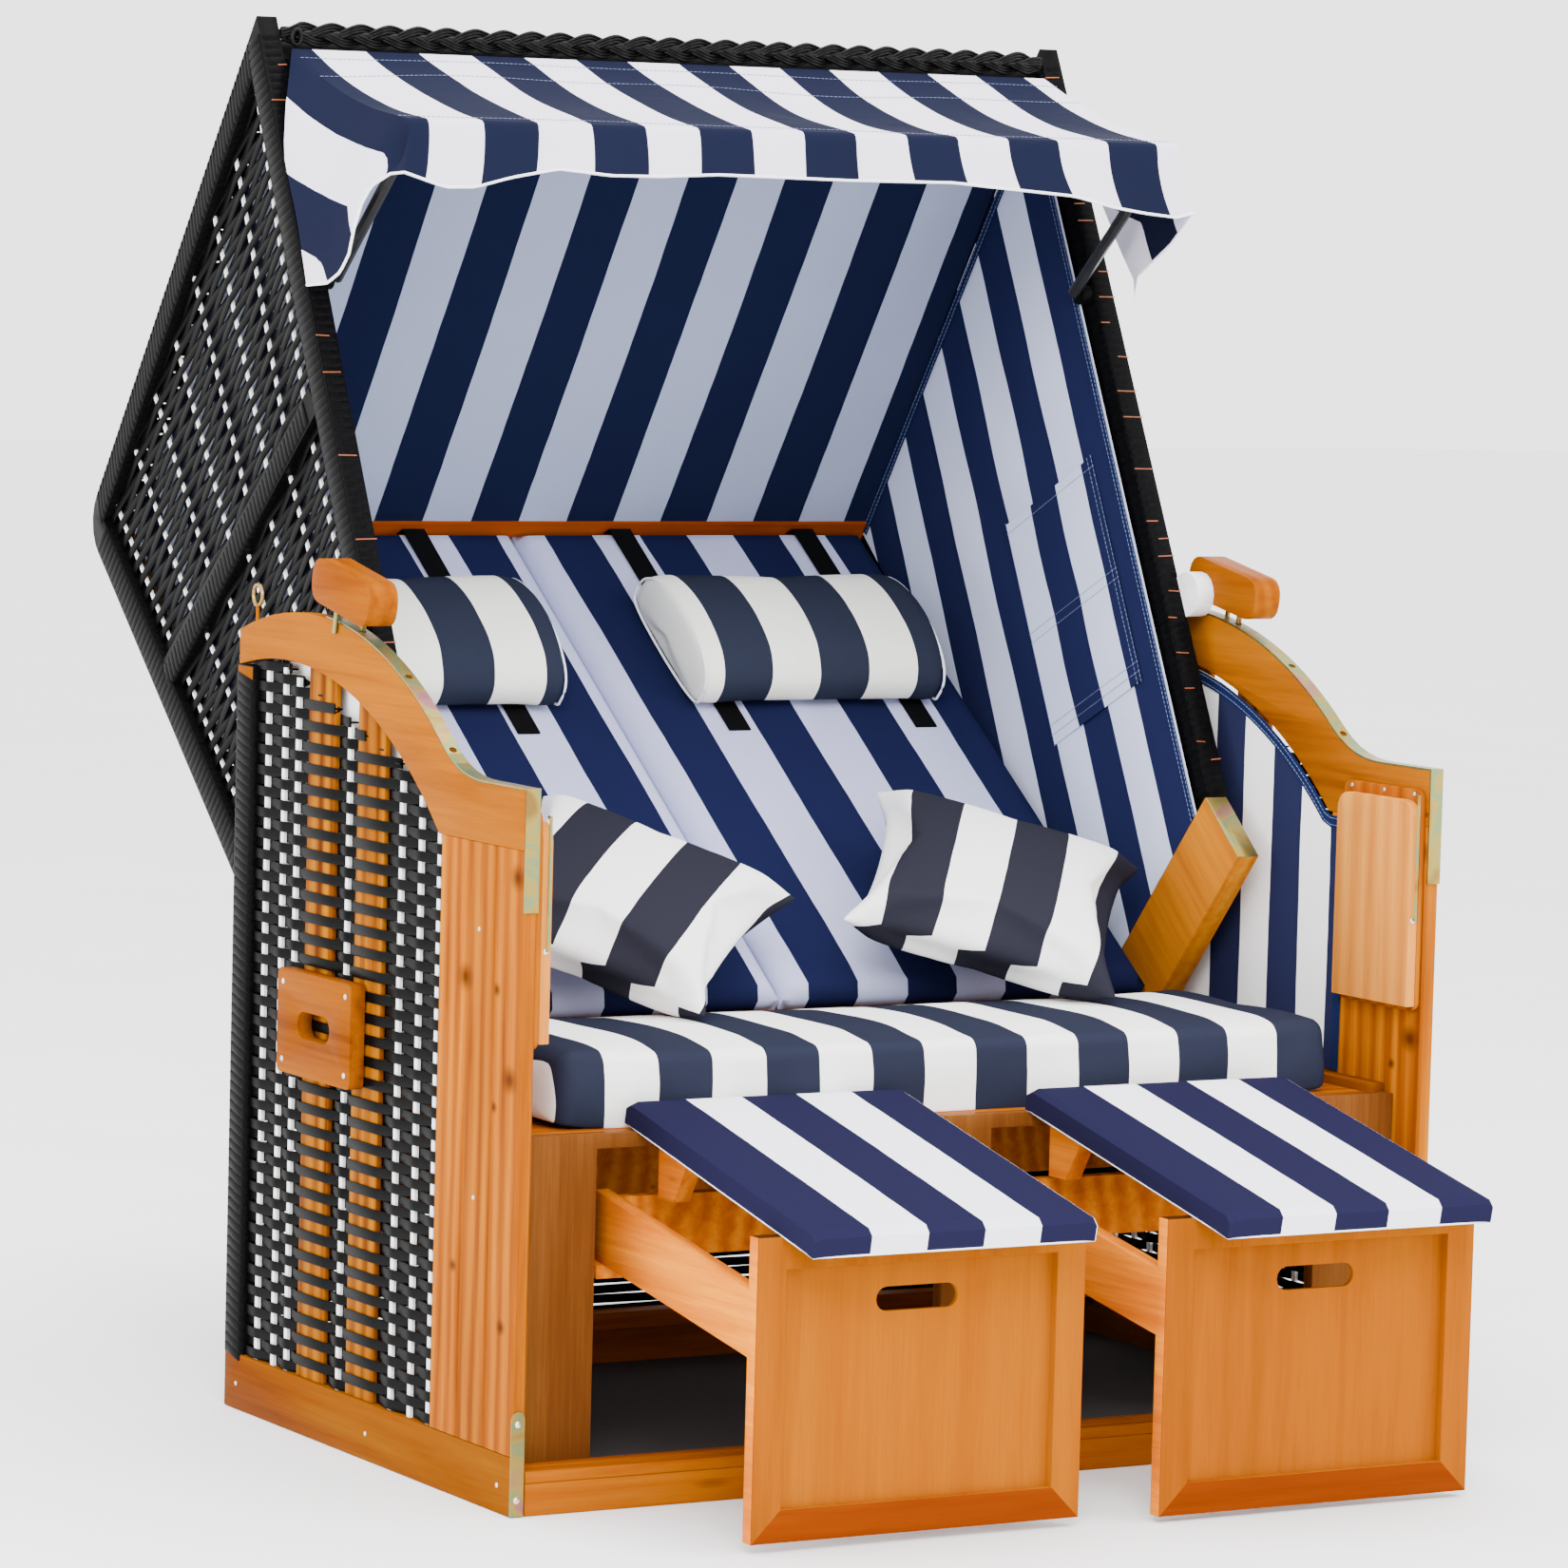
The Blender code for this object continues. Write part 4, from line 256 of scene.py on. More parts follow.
@dataclass(frozen=True)
class Wood:
    """Sawn, planed and oiled wood: satin, with streaks and fine fibres along the grain.

    The three colours run from the pale early wood to the dark late wood. Knots come as small
    scattered ones, as a share of the usual size, and as large ones at places of their own (y, z,
    size). A board is the axis and width of glued-up boards, each with its own figure and tone.
    """

    name: str
    pale: str
    middle: str
    dark: str
    grain: Vector
    knots: float = 1.0
    contrast: float = 1.0
    streak_mm: float = 14.0
    roughness: float = 0.42
    board: Optional[tuple[int, float]] = None
    rings: float = 0.25
    knots_at: tuple[tuple[float, float, float], ...] = ()

    def material(self) -> bpy.types.Material:
        """Build the material, with its fibres along the grain direction.

        Returns:
            The material.
        """
        material, tree, coords = start_material(self.name)
        grain = self.grain.normalized()
        across = grain.cross(Z_AXIS if abs(grain.z) < 0.9 else X_AXIS).normalized()
        axes = [calc(tree, "DOT_PRODUCT", coords, direction, vector=True)
                for direction in (grain, across, grain.cross(across))]
        board = None
        if self.board is not None:
            axis, width = self.board
            split = add_node(tree, "ShaderNodeSeparateXYZ", None, {0: coords})
            number = calc(tree, "FLOOR", calc(tree, "DIVIDE", split.outputs[axis], width))
            board = add_node(tree, "ShaderNodeTexWhiteNoise", {"noise_dimensions": "1D"},
                             {"W": number}).outputs["Value"]

        def stretched(along: float, cross: float) -> Any:
            """Stretch the coordinates of the board along its grain.

            Args:
                along: Cycles per metre along the grain.
                cross: Cycles per metre across it.

            Returns:
                Socket of the coordinates.
            """
            shift = 0.5 if board is None else calc(tree, "MULTIPLY", board, 37.0)
            scaled = [calc(tree, "MULTIPLY_ADD", socket, scale, shift)
                      for socket, scale in zip(axes, (along, cross, cross))]
            return add_node(tree, "ShaderNodeCombineXYZ", None, dict(enumerate(scaled))).outputs[0]

        cycles = 1000.0 / self.streak_mm
        streaks = noise(tree, stretched(cycles * 0.05, cycles), 1.0, 5.0, Roughness=0.6, Distortion=0.35)
        fibres = noise(tree, stretched(14.0, 620.0), 1.0, 3.0, Roughness=0.7)
        rings = add_node(tree, "ShaderNodeTexWave",
                         {"wave_type": "BANDS", "bands_direction": "Y", "Scale": 1.0, "Distortion": 7.0,
                          "Detail": 2.0, "Detail Scale": 0.6},
                         {"Vector": stretched(cycles * 0.02, cycles * 0.16)})
        blend = add_node(tree, "ShaderNodeMix", {"data_type": "FLOAT", 0: self.rings},
                         {2: streaks, 3: rings.outputs["Fac"]}).outputs[0]
        half = 0.28 / self.contrast
        colour = ramp(tree, blend, [(max(0.0, 0.5 - half), self.dark), (0.5, self.middle),
                                    (min(1.0, 0.5 + half), self.pale)])
        colour = shaded(tree, colour, remap(tree, fibres, (0.3, 0.7), (0.9, 1.06)))
        if self.knots > 0.0:
            cells = add_node(tree, "ShaderNodeTexVoronoi", {"Scale": 1.0, "Randomness": 0.95},
                             {"Vector": stretched(3.6, 15.0)})
            near = remap(tree, cells.outputs["Distance"], (0.04 * self.knots, 0.15 * self.knots), (1.0, 0.0))
            colour = tinted(tree, near, colour, "3a1506")
        for y, z, size in self.knots_at:
            away = calc(tree, "SUBTRACT", coords, (0.0, y, z), vector=True)
            reach = calc(tree, "LENGTH", calc(tree, "MULTIPLY", away, (0.0, 0.85, 1.0), vector=True), vector=True)
            colour = tinted(tree, remap(tree, reach, (size * 0.25, size * 1.3), (0.85, 0.0)), colour, "361204")
        if board is not None:
            colour = shaded(tree, colour, remap(tree, board, (0.0, 1.0), (0.9, 1.08)))
        close_material(tree, colour, self.roughness, fibres, 0.0002, 0.6, IOR=1.06)
        return material


@dataclass(frozen=True)
class StripedCloth:
    """Woven polyester with dyed stripes: matt, with faint threads and slack folds.

    The stripes run square to the across direction, or follow the mesh's own stored "across". The
    phase is the share of a pair of stripes at zero, and dark comes first. White_end is the place
    across below which the cloth is white.
    """

    name: str
    dark: str
    light: str
    phase: float
    width: float = STRIPE
    across: Optional[Vector] = X_AXIS
    folds: float = 0.0012
    roughness: float = 0.8
    white_end: Optional[float] = None

    def material(self) -> bpy.types.Material:
        """Build the material, with its stripes or its one colour.

        Returns:
            The material.
        """
        material, tree, coords = start_material(self.name)
        if self.across is None:
            where = add_node(tree, "ShaderNodeAttribute", {"attribute_name": "across"}).outputs["Fac"]
        else:
            where = calc(tree, "DOT_PRODUCT", coords, self.across.normalized(), vector=True)
        bent = calc(tree, "MULTIPLY_ADD", noise(tree, coords, 22.0, 1.0), 0.0016, where)
        step = calc(tree, "MULTIPLY_ADD", bent, 0.5 / self.width, self.phase)
        light = calc(tree, "GREATER_THAN", calc(tree, "FRACT", step), 0.5)
        if self.white_end is not None:
            light = calc(tree, "MAXIMUM", light, calc(tree, "LESS_THAN", where, self.white_end))
        threads = noise(tree, coords, 900.0, 2.0)
        folds = noise(tree, coords, 9.0, 3.0, Distortion=0.6)
        colour = add_node(tree, "ShaderNodeMix", {"data_type": "RGBA", 6: linear(self.dark),
                                                  7: linear(self.light)}, {0: light}).outputs[2]
        colour = shaded(tree, colour, remap(tree, threads, (0.3, 0.7), (0.93, 1.05)))
        height = calc(tree, "MULTIPLY_ADD", threads, 0.06, folds)
        close_material(tree, colour, self.roughness, height, self.folds, IOR=1.05)
        return material


@dataclass(frozen=True)
class Plain:
    """A moulded, extruded, painted or spun surface, clouded between two near colours."""

    name: str
    colour: str
    second: str
    roughness: float
    scale: float = 60.0
    bump: float = 0.0001
    metallic: float = 0.0
    shine: float = 0.5

    def material(self) -> bpy.types.Material:
        """Build the material, with a gloss that wears where its cloud is pale.

        Returns:
            The material.
        """
        material, tree, coords = start_material(self.name)
        cloud = noise(tree, coords, self.scale, 4.0)
        rough = remap(tree, cloud, (0.0, 1.0), (self.roughness * 0.8, self.roughness * 1.25))
        close_material(tree, ramp(tree, cloud, [(0.35, self.colour), (0.65, self.second)]), rough, cloud,
                       self.bump, 0.5, Metallic=self.metallic, Specular_IOR_Level=self.shine)
        return material


@dataclass(frozen=True)
class YellowZinc:
    """Yellow-passivated zinc on steel strip: metallic, with soft rainbow clouds from its bath."""

    name: str = "yellow_zinc_steel"

    def material(self) -> bpy.types.Material:
        """Build the material, with clouds of yellow, green and pink.

        Returns:
            The material.
        """
        material, tree, coords = start_material(self.name)
        cloud = noise(tree, coords, 17.0, 2.0, Distortion=0.8)
        colour = ramp(tree, cloud, [(0.3, "7a5f2a"), (0.43, "94803c"), (0.5, "6d7f58"), (0.58, "97803a"),
                                    (0.68, "8d5a5c")])
        close_material(tree, colour, 0.36, cloud, 0.0001, 0.3, Metallic=0.85)
        return material


KNOTS = ((0.0131, 0.6833, 0.013), (0.1295, 0.5655, 0.014), (0.0221, 0.4664, 0.014), (0.0554, 0.5595, 0.007),
         (0.0569, 0.4335, 0.006), (0.145, 0.25, 0.007), (0.03, 0.2, 0.008))
FRONT_RISE = (0.744 - 0.365) / (0.996 - 0.101)
ROOF_LEAN = (0.996 - 0.942) / (0.744 + 0.02)


class Stock:
    """The finishes of the chair, each made once."""

    def __init__(self) -> None:
        """Make every material."""
        self.woods()
        self.resins_and_metals()
        self.tapes()
        self.cloths()

    def woods(self) -> None:
        """Make the woods. All are oiled, which leaves a satin face that reflects little."""
        # Planed pine boards, glued side by side: planing leaves fine straight fibres, and each
        # board keeps its own tone and its own knots.
        self.planks = Wood("planed_pine_upright", "b46c00", "934c00", "672a00", Z_AXIS, 0.0, 0.85, 13.0,
                           board=(1, 0.065), rings=0.3, knots_at=KNOTS).material()
        self.pine_along = Wood("planed_pine_lengthways", "7c4800", "6e3600", "552300", Y_AXIS, 0.9).material()
        self.pine_cross = Wood("planed_pine_crossways", "9e5800", "8c4500", "743000", X_AXIS, 0.9).material()
        self.pine_post = Wood("planed_pine_post", "a65e00", "934800", "7a3600", Z_AXIS, 0.4).material()
        self.slats = Wood("oiled_pine_slat", "996100", "824700", "512200", Z_AXIS, 0.8, 1.2).material()
        self.arm = Wood("planed_pine_arm", "9e5b00", "8b4b00", "672f00", Y_AXIS, 0.5, 0.9).material()
        self.grip = Wood("planed_pine_plate", "8c4b00", "793c00", "542100", Y_AXIS, 0.5).material()
        self.rail = Wood("planed_pine_rail", "934508", "873808", "752b08", X_AXIS, 0.3).material()
        self.foot = Wood("planed_pine_foot", "c78109", "b66c08", "9f5708", hood_direction(1.0, 0.0),
                         0.7).material()
        # Pine that is only sawn or split keeps a rougher, paler or redder face.
        self.runner = Wood("sawn_pine_runner", "e88c0d", "cc6b04", "a74e04", Y_AXIS, 0.5).material()
        self.pine_rib = Wood("split_pine_rib", "823708", "752e08", "5b1e08", Y_AXIS, 0.3).material()
        # A turned and sanded grip: closer streaks and a smoother, shinier face.
        self.handle = Wood("rounded_pine_grip", "915200", "854300", "6f3200", Y_AXIS, 0.6, 0.9, 10.0,
                           0.3).material()
        # Ply is peeled from the log: broad, calm figure without knots, under a thicker coat.
        self.panel = Wood("oiled_ply_panel", "9c5800", "8f4a00", "733600", Z_AXIS, 0.0, 0.7, 26.0,
                          0.38).material()
        self.table = Wood("oiled_ply_table", "d5913c", "c57a2b", "aa611d", Z_AXIS, 0.0, 0.9, 18.0,
                          0.42).material()
        self.front = Wood("stained_ply_front", "784b20", "683c18", "562d12", Z_AXIS, 0.0, 0.8, 7.0,
                          0.35).material()
        # Beech is dense and even: short fine streaks, redder than pine.
        self.stile = Wood("oiled_beech_frame", "8d3b00", "813200", "702800", Z_AXIS, 0.0, 0.9, 9.0,
                          0.36).material()
        self.top_rail = Wood("red_beech_rail", "422404", "3a1c04", "301504", X_AXIS, 0.0, 0.8).material()
        self.bottom_rail = Wood("oiled_beech_rail", "803800", "752f00", "662600", X_AXIS, 0.0, 0.8).material()

    def resins_and_metals(self) -> None:
        """Make the strands, stakes, mouldings and metals."""
        # Extruded resin comes out of the die smooth: a soft gloss with faint lengthways waves.
        self.strand = Plain("extruded_black_strand", "030303", "060606", 0.34, 240.0, 0.00008,
                            shine=0.025).material()
        self.wrap = Plain("wrapped_black_strand", "050506", "09090a", 0.36, 200.0, 0.00008,
                          shine=0.025).material()
        self.cord = Plain("glossy_black_cord", "020202", "050505", 0.3, 240.0, shine=0.1).material()
        self.stake = Plain("extruded_white_stake", "e9e9ea", "f4f4f5", 0.35).material()
        # Split willow shows its dry fibres between the turns.
        self.core = Plain("split_willow_core", "6f2e08", "86400e", 0.5).material()
        # A moulded disc has the mould's even, half-gloss face.
        self.white_plastic = Plain("moulded_white_plastic", "e6e6e8", "f2f2f4", 0.35).material()
        # Powder paint on steel flows into a faint orange peel. Plated heads stay bright.
        self.black_steel = Plain("painted_black_steel", "0a0a0b", "131314", 0.35, 90.0).material()
        self.screw = Plain("zinc_plated_screw", "c9c6bd", "e2dfd6", 0.3, metallic=0.9).material()
        self.zinc = YellowZinc().material()

    def tapes(self) -> None:
        """Make the felt, tapes, piping and thread."""
        # Needled felt has no weave: tangled fibres that swallow the light.
        self.felt = Plain("needled_grey_felt", "2d2b2b", "393636", 0.9, 300.0, 0.0006).material()
        # Narrow woven tape and spun thread show a fine, dull rib.
        self.black_tape = Plain("woven_black_tape", "070708", "0d0d0f", 0.85, 500.0, 0.0003,
                                shine=0.03).material()
        self.navy_tape = Plain("woven_navy_tape", "111a3c", "182248", 0.8, 500.0, 0.0003, shine=0.03).material()
        self.white_tape = Plain("woven_white_piping", "e9eaf4", "f6f6fb", 0.7, 500.0, 0.0003).material()
        self.thread = Plain("white_sewing_thread", "4f5878", "7b84a6", 0.6, 500.0, shine=0.05).material()

    def cloths(self) -> None:
        """Make the striped cloths. Each piece is cut at its own place in the stripes.

        The polyester is woven from dyed yarn, so a stripe has a crisp edge and a fine grain, and
        a cloth that hangs loose folds deeper than one that is stuffed.
        """
        front_bar = hood_place(0, 0.996, 0.744) - hood_place(0, 0.101, 0.365)
        across = Vector((0.0, -front_bar.z, front_bar.y)).normalized()
        start = (0.141 + across.dot(Vector((0.0, PIVOT_Y, PIVOT_Z)))) / 0.126
        self.seat = StripedCloth("seat_stripe_cloth", "212432", "f0f0ee", 0.7775, 0.0672,
                                 white_end=-0.4972).material()
        self.back = StripedCloth("back_stripe_cloth", "171b3a", "b1b5d6", 0.7185, folds=0.001).material()
        # The roof lining's pale stripe is darkened well below the other whites: painted shade for the inside of the
        # hood.
        self.roof = StripedCloth("roof_stripe_cloth", "131932", "99a2bd", 0.45, 0.0672, folds=0.002).material()
        self.side = StripedCloth("side_stripe_cloth", "1c2142", "cbd2ed", 0.5 - start, 0.063, across,
                                 0.0025).material()
        self.pocket = StripedCloth("pocket_stripe_cloth", "1c2142", "cbd2ed", 0.53 - start, 0.063, across,
                                   0.001).material()
        self.wall = StripedCloth("wall_stripe_cloth", "20233f", "f0f0f0", 0.5 - 0.3159 / 0.123, 0.0615, Y_AXIS,
                                 0.002).material()
        self.awning = StripedCloth("awning_stripe_cloth", "141729", "d6d3e3", 0.5 + 0.484 / 0.138, 0.069, None,
                                   0.003, 0.55).material()
        self.pillow = StripedCloth("pillow_stripe_cloth", "23232c", "f0f0f0", 0.0, 0.065, None,
                                   0.0014).material()
        self.bolster: dict[Side, bpy.types.Material] = {}
        self.pad: dict[Side, bpy.types.Material] = {}
        for side, bolster_start, pad_start in ((Side.LEFT, 0.893, 0.4205), (Side.RIGHT, 0.106, -0.0765)):
            self.bolster[side] = StripedCloth(f"bolster_stripe_cloth_{side.word}", "252937", "f0f0e6",
                                              bolster_start, 0.0685, folds=0.0014).material()
            self.pad[side] = StripedCloth(f"pad_stripe_cloth_{side.word}", "1b1a32", "e7e8f0",
                                          pad_start / 0.1376, 0.0688, folds=0.0008).material()


def new_object(name: str, mesh: bpy.types.Mesh, *materials: bpy.types.Material) -> bpy.types.Object:
    """Put a mesh into the scene as a piece.

    Args:
        name: The piece's name.
        mesh: Its mesh, in world places.
        materials: Its material slots, in order.

    Returns:
        The piece.
    """
    piece = bpy.data.objects.new(name, mesh)
    bpy.context.scene.collection.objects.link(piece)
    for material in materials:
        mesh.materials.append(material)
    return piece


def settle(piece: bpy.types.Object, body: str, slot: str, *nodes: str) -> bpy.types.Object:
    """Attach a piece to the body that it rides on and hide the solids that it stands for.

    Args:
        piece: The piece.
        body: The body that it rides on.
        slot: Its material slot. Not used.
        nodes: The solids that it replaces.

    Returns:
        The piece.
    """
    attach(piece, body)
    for node in nodes:
        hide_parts(node)
    return piece


def dress(node: str, finish: bpy.types.Material) -> None:
    """Give a solid that is shown as it is its finish.

    Args:
        node: Name of the solid.
        finish: Its material.
    """
    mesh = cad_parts[node].data
    mesh.materials.clear()
    mesh.materials.append(finish)


def evaluated_mesh(piece: bpy.types.Object) -> bpy.types.Mesh:
    """Plain mesh of an object with its modifiers worked out."""
    graph = bpy.context.evaluated_depsgraph_get()
    return bpy.data.meshes.new_from_object(piece.evaluated_get(graph))


def edited(mesh: bpy.types.Mesh, work: Callable[[bmesh.types.BMesh], Any]) -> None:
    """Edit a mesh through bmesh.

    Args:
        mesh: The mesh, changed in place.
        work: What to do with its editable shape.
    """
    shape = bmesh.new()
    shape.from_mesh(mesh)
    work(shape)
    shape.to_mesh(mesh)
    shape.free()


def weld(mesh: bpy.types.Mesh, distance: float) -> None:
    """Join the vertices of a mesh that are closer than a distance."""
    edited(mesh, lambda shape: bmesh.ops.remove_doubles(shape, verts=shape.verts, dist=distance))


def smooth(mesh: bpy.types.Mesh, angle: float) -> None:
    """Shade a mesh smooth.

    Args:
        mesh: The mesh, changed in place.
        angle: Edges sharper than this angle in degrees stay sharp.
    """
    def soften(shape: bmesh.types.BMesh) -> None:
        """Set the faces and edges."""
        for face in shape.faces:
            face.smooth = True
        for edge in shape.edges:
            edge.smooth = len(edge.link_faces) != 2 or edge.calc_face_angle(0.0) < math.radians(angle)

    edited(mesh, soften)


def modified(piece: bpy.types.Object, kind: str, **settings: Any) -> bpy.types.Mesh:
    """Apply a modifier to a piece.

    Args:
        piece: The piece, which keeps no modifier.
        kind: Blender's type name of the modifier.
        settings: Its settings.

    Returns:
        The piece's new mesh.
    """
    step = piece.modifiers.new("step", kind)
    for key, value in settings.items():
        setattr(step, key, value)
    mesh = evaluated_mesh(piece)
    piece.modifiers.clear()
    piece.data = mesh
    return mesh


def thicken(piece: bpy.types.Object, thickness: float) -> None:
    """Give a sheet a thickness, half to each side."""
    smooth(modified(piece, "SOLIDIFY", thickness=thickness, offset=0.0), 55.0)


def area_of(mesh: bpy.types.Mesh) -> float:
    """Area of a mesh's faces."""
    return sum(face.area for face in mesh.polygons)


def sheet_grid(columns: Sequence[Sequence[Sequence[float]]], name: str = "sheet") -> bpy.types.Mesh:
    """Mesh of a sheet from columns of places.

    Args:
        columns: Places, column by column, with as many in each.
        name: Name of the mesh.

    Returns:
        The mesh, one face thick.
    """
    rows = len(columns[0])
    faces = [(a, a + rows, a + rows + 1, a + 1)
             for a in (i * rows + j for i in range(len(columns) - 1) for j in range(rows - 1))]
    mesh = bpy.data.meshes.new(name)
    mesh.from_pydata([tuple(place) for column in columns for place in column], [], faces)
    return mesh


def steps(count: int, low: float = 0.0, high: float = 1.0) -> list[float]:
    """Even steps from low to high, both included."""
    return [low + (high - low) * i / count for i in range(count + 1)]


def pulled(share: float, length: float, reach: float, most: float) -> float:
    """How far a section is drawn in by the seams at both ends of a cushion.

    Args:
        share: Share of the way along the cushion.
        length: The cushion's length.
        reach: How far a seam's pull reaches.
        most: The pull at the seam itself.

    Returns:
        The pull at this section.
    """
    return most * max(0.0, 1 - min(share, 1 - share) * length / reach) ** 2


class Form:
    """Points and faces that are gathered into one mesh."""

    def __init__(self) -> None:
        """Start an empty form."""
        self.points: list[tuple[float, ...]] = []
        self.faces: list[tuple[int, ...]] = []
        self.slots: list[int] = []

    def add(self, points: Iterable[Sequence[float]], faces: Iterable[Sequence[int]], slot: int = 0) -> None:
        """Add points and the faces between them.

        Args:
            points: Places in the world.
            faces: Numbers of the points of each face.
            slot: Material slot of the faces.
        """
        start = len(self.points)
        self.points += [tuple(point) for point in points]
        for face in faces:
            self.faces.append(tuple(start + i for i in face))
            self.slots.append(slot)

    def sweep(self, rings: Sequence[Sequence[Sequence[float]]], slot: int = 0, closed: bool = False) -> None:
        """Join rings of points into a tube, with caps unless it is closed on itself.

        Args:
            rings: Rings with the same number of points each.
            slot: Material slot of the faces.
            closed: Whether the last ring joins the first.
        """
        count, total = len(rings[0]), len(rings)
        faces = []
        for i in range(total if closed else total - 1):
            near, far = i * count, ((i + 1) % total) * count
            for j in range(count):
                k = (j + 1) % count
                faces.append((near + j, near + k, far + k, far + j))
        if not closed:
            faces.append(tuple(range(count))[::-1])
            faces.append(tuple((total - 1) * count + j for j in range(count)))
        self.add([point for ring in rings for point in ring], faces, slot)

    def bar(self, start: Vector, end: Vector, side: Vector, width: float, depth: float) -> None:
        """Add a straight bar of rectangular section.

        Args:
            start: Middle of one end.
            end: Middle of the other end.
            side: Direction of the width.
            width: Size along the side direction.
            depth: Size square to the side and the run.
        """
        run = (end - start).normalized()
        across = (side - run * side.dot(run)).normalized() * (width / 2)
        up = run.cross(across).normalized() * (depth / 2)
        corners = [across + up, -across + up, -across - up, across - up]
        self.sweep([[place + c for c in corners] for place in (start, end)])

    def tube(self, path: Sequence[Vector], radius: float, sides: int = 8, closed: bool = False,
             flat: float = 1.0, up: Vector = Z_AXIS) -> None:
        """Add a round or oval tube along a path.

        Args:
            path: Places of its centre line.
            radius: Half of its width.
            sides: Points round it.
            closed: Whether the path is a loop.
            flat: Height as a share of the width.
            up: Direction of the height.
        """
        rings = []
        total = len(path)
        for i, place in enumerate(path):
            before = path[(i - 1) % total] if closed else path[max(0, i - 1)]
            after = path[(i + 1) % total] if closed else path[min(total - 1, i + 1)]
            run = (after - before).normalized()
            across = run.cross(up)
            across = across.normalized() if across.length > 1e-6 else X_AXIS
            rise = across.cross(run)
            rings.append([place + across * (radius * math.cos(t)) + rise * (radius * flat * math.sin(t))
                          for t in (2 * math.pi * j / sides for j in range(sides))])
        self.sweep(rings, closed=closed)

    def ribbon(self, path: Sequence[Vector], normal: Vector, width: float, thickness: float) -> None:
        """Lay a flat ribbon along a path.

        Args:
            path: Places of its middle.
            normal: Direction that its flat face looks in.
            width: Its width.
            thickness: Its thickness.
        """
        rings = []
        for i, place in enumerate(path):
            run = (path[min(i + 1, len(path) - 1)] - path[max(i - 1, 0)]).normalized()
            across = run.cross(normal).normalized() * (width / 2)
            up = normal.normalized() * (thickness / 2)
            rings.append([place + across + up, place - across + up, place - across - up, place + across - up])
        self.sweep(rings)

    def mesh(self, name: str, recalculate: bool = True) -> bpy.types.Mesh:
        """Turn the form into a mesh.

        Args:
            name: Name of the mesh.
            recalculate: Whether to turn all faces outwards.

        Returns:
            The mesh.
        """
        mesh = bpy.data.meshes.new(name)
        mesh.from_pydata(self.points, [], self.faces)
        mesh.polygons.foreach_set("material_index", self.slots)
        if recalculate:
            edited(mesh, lambda shape: bmesh.ops.recalc_face_normals(shape, faces=shape.faces))
        return mesh


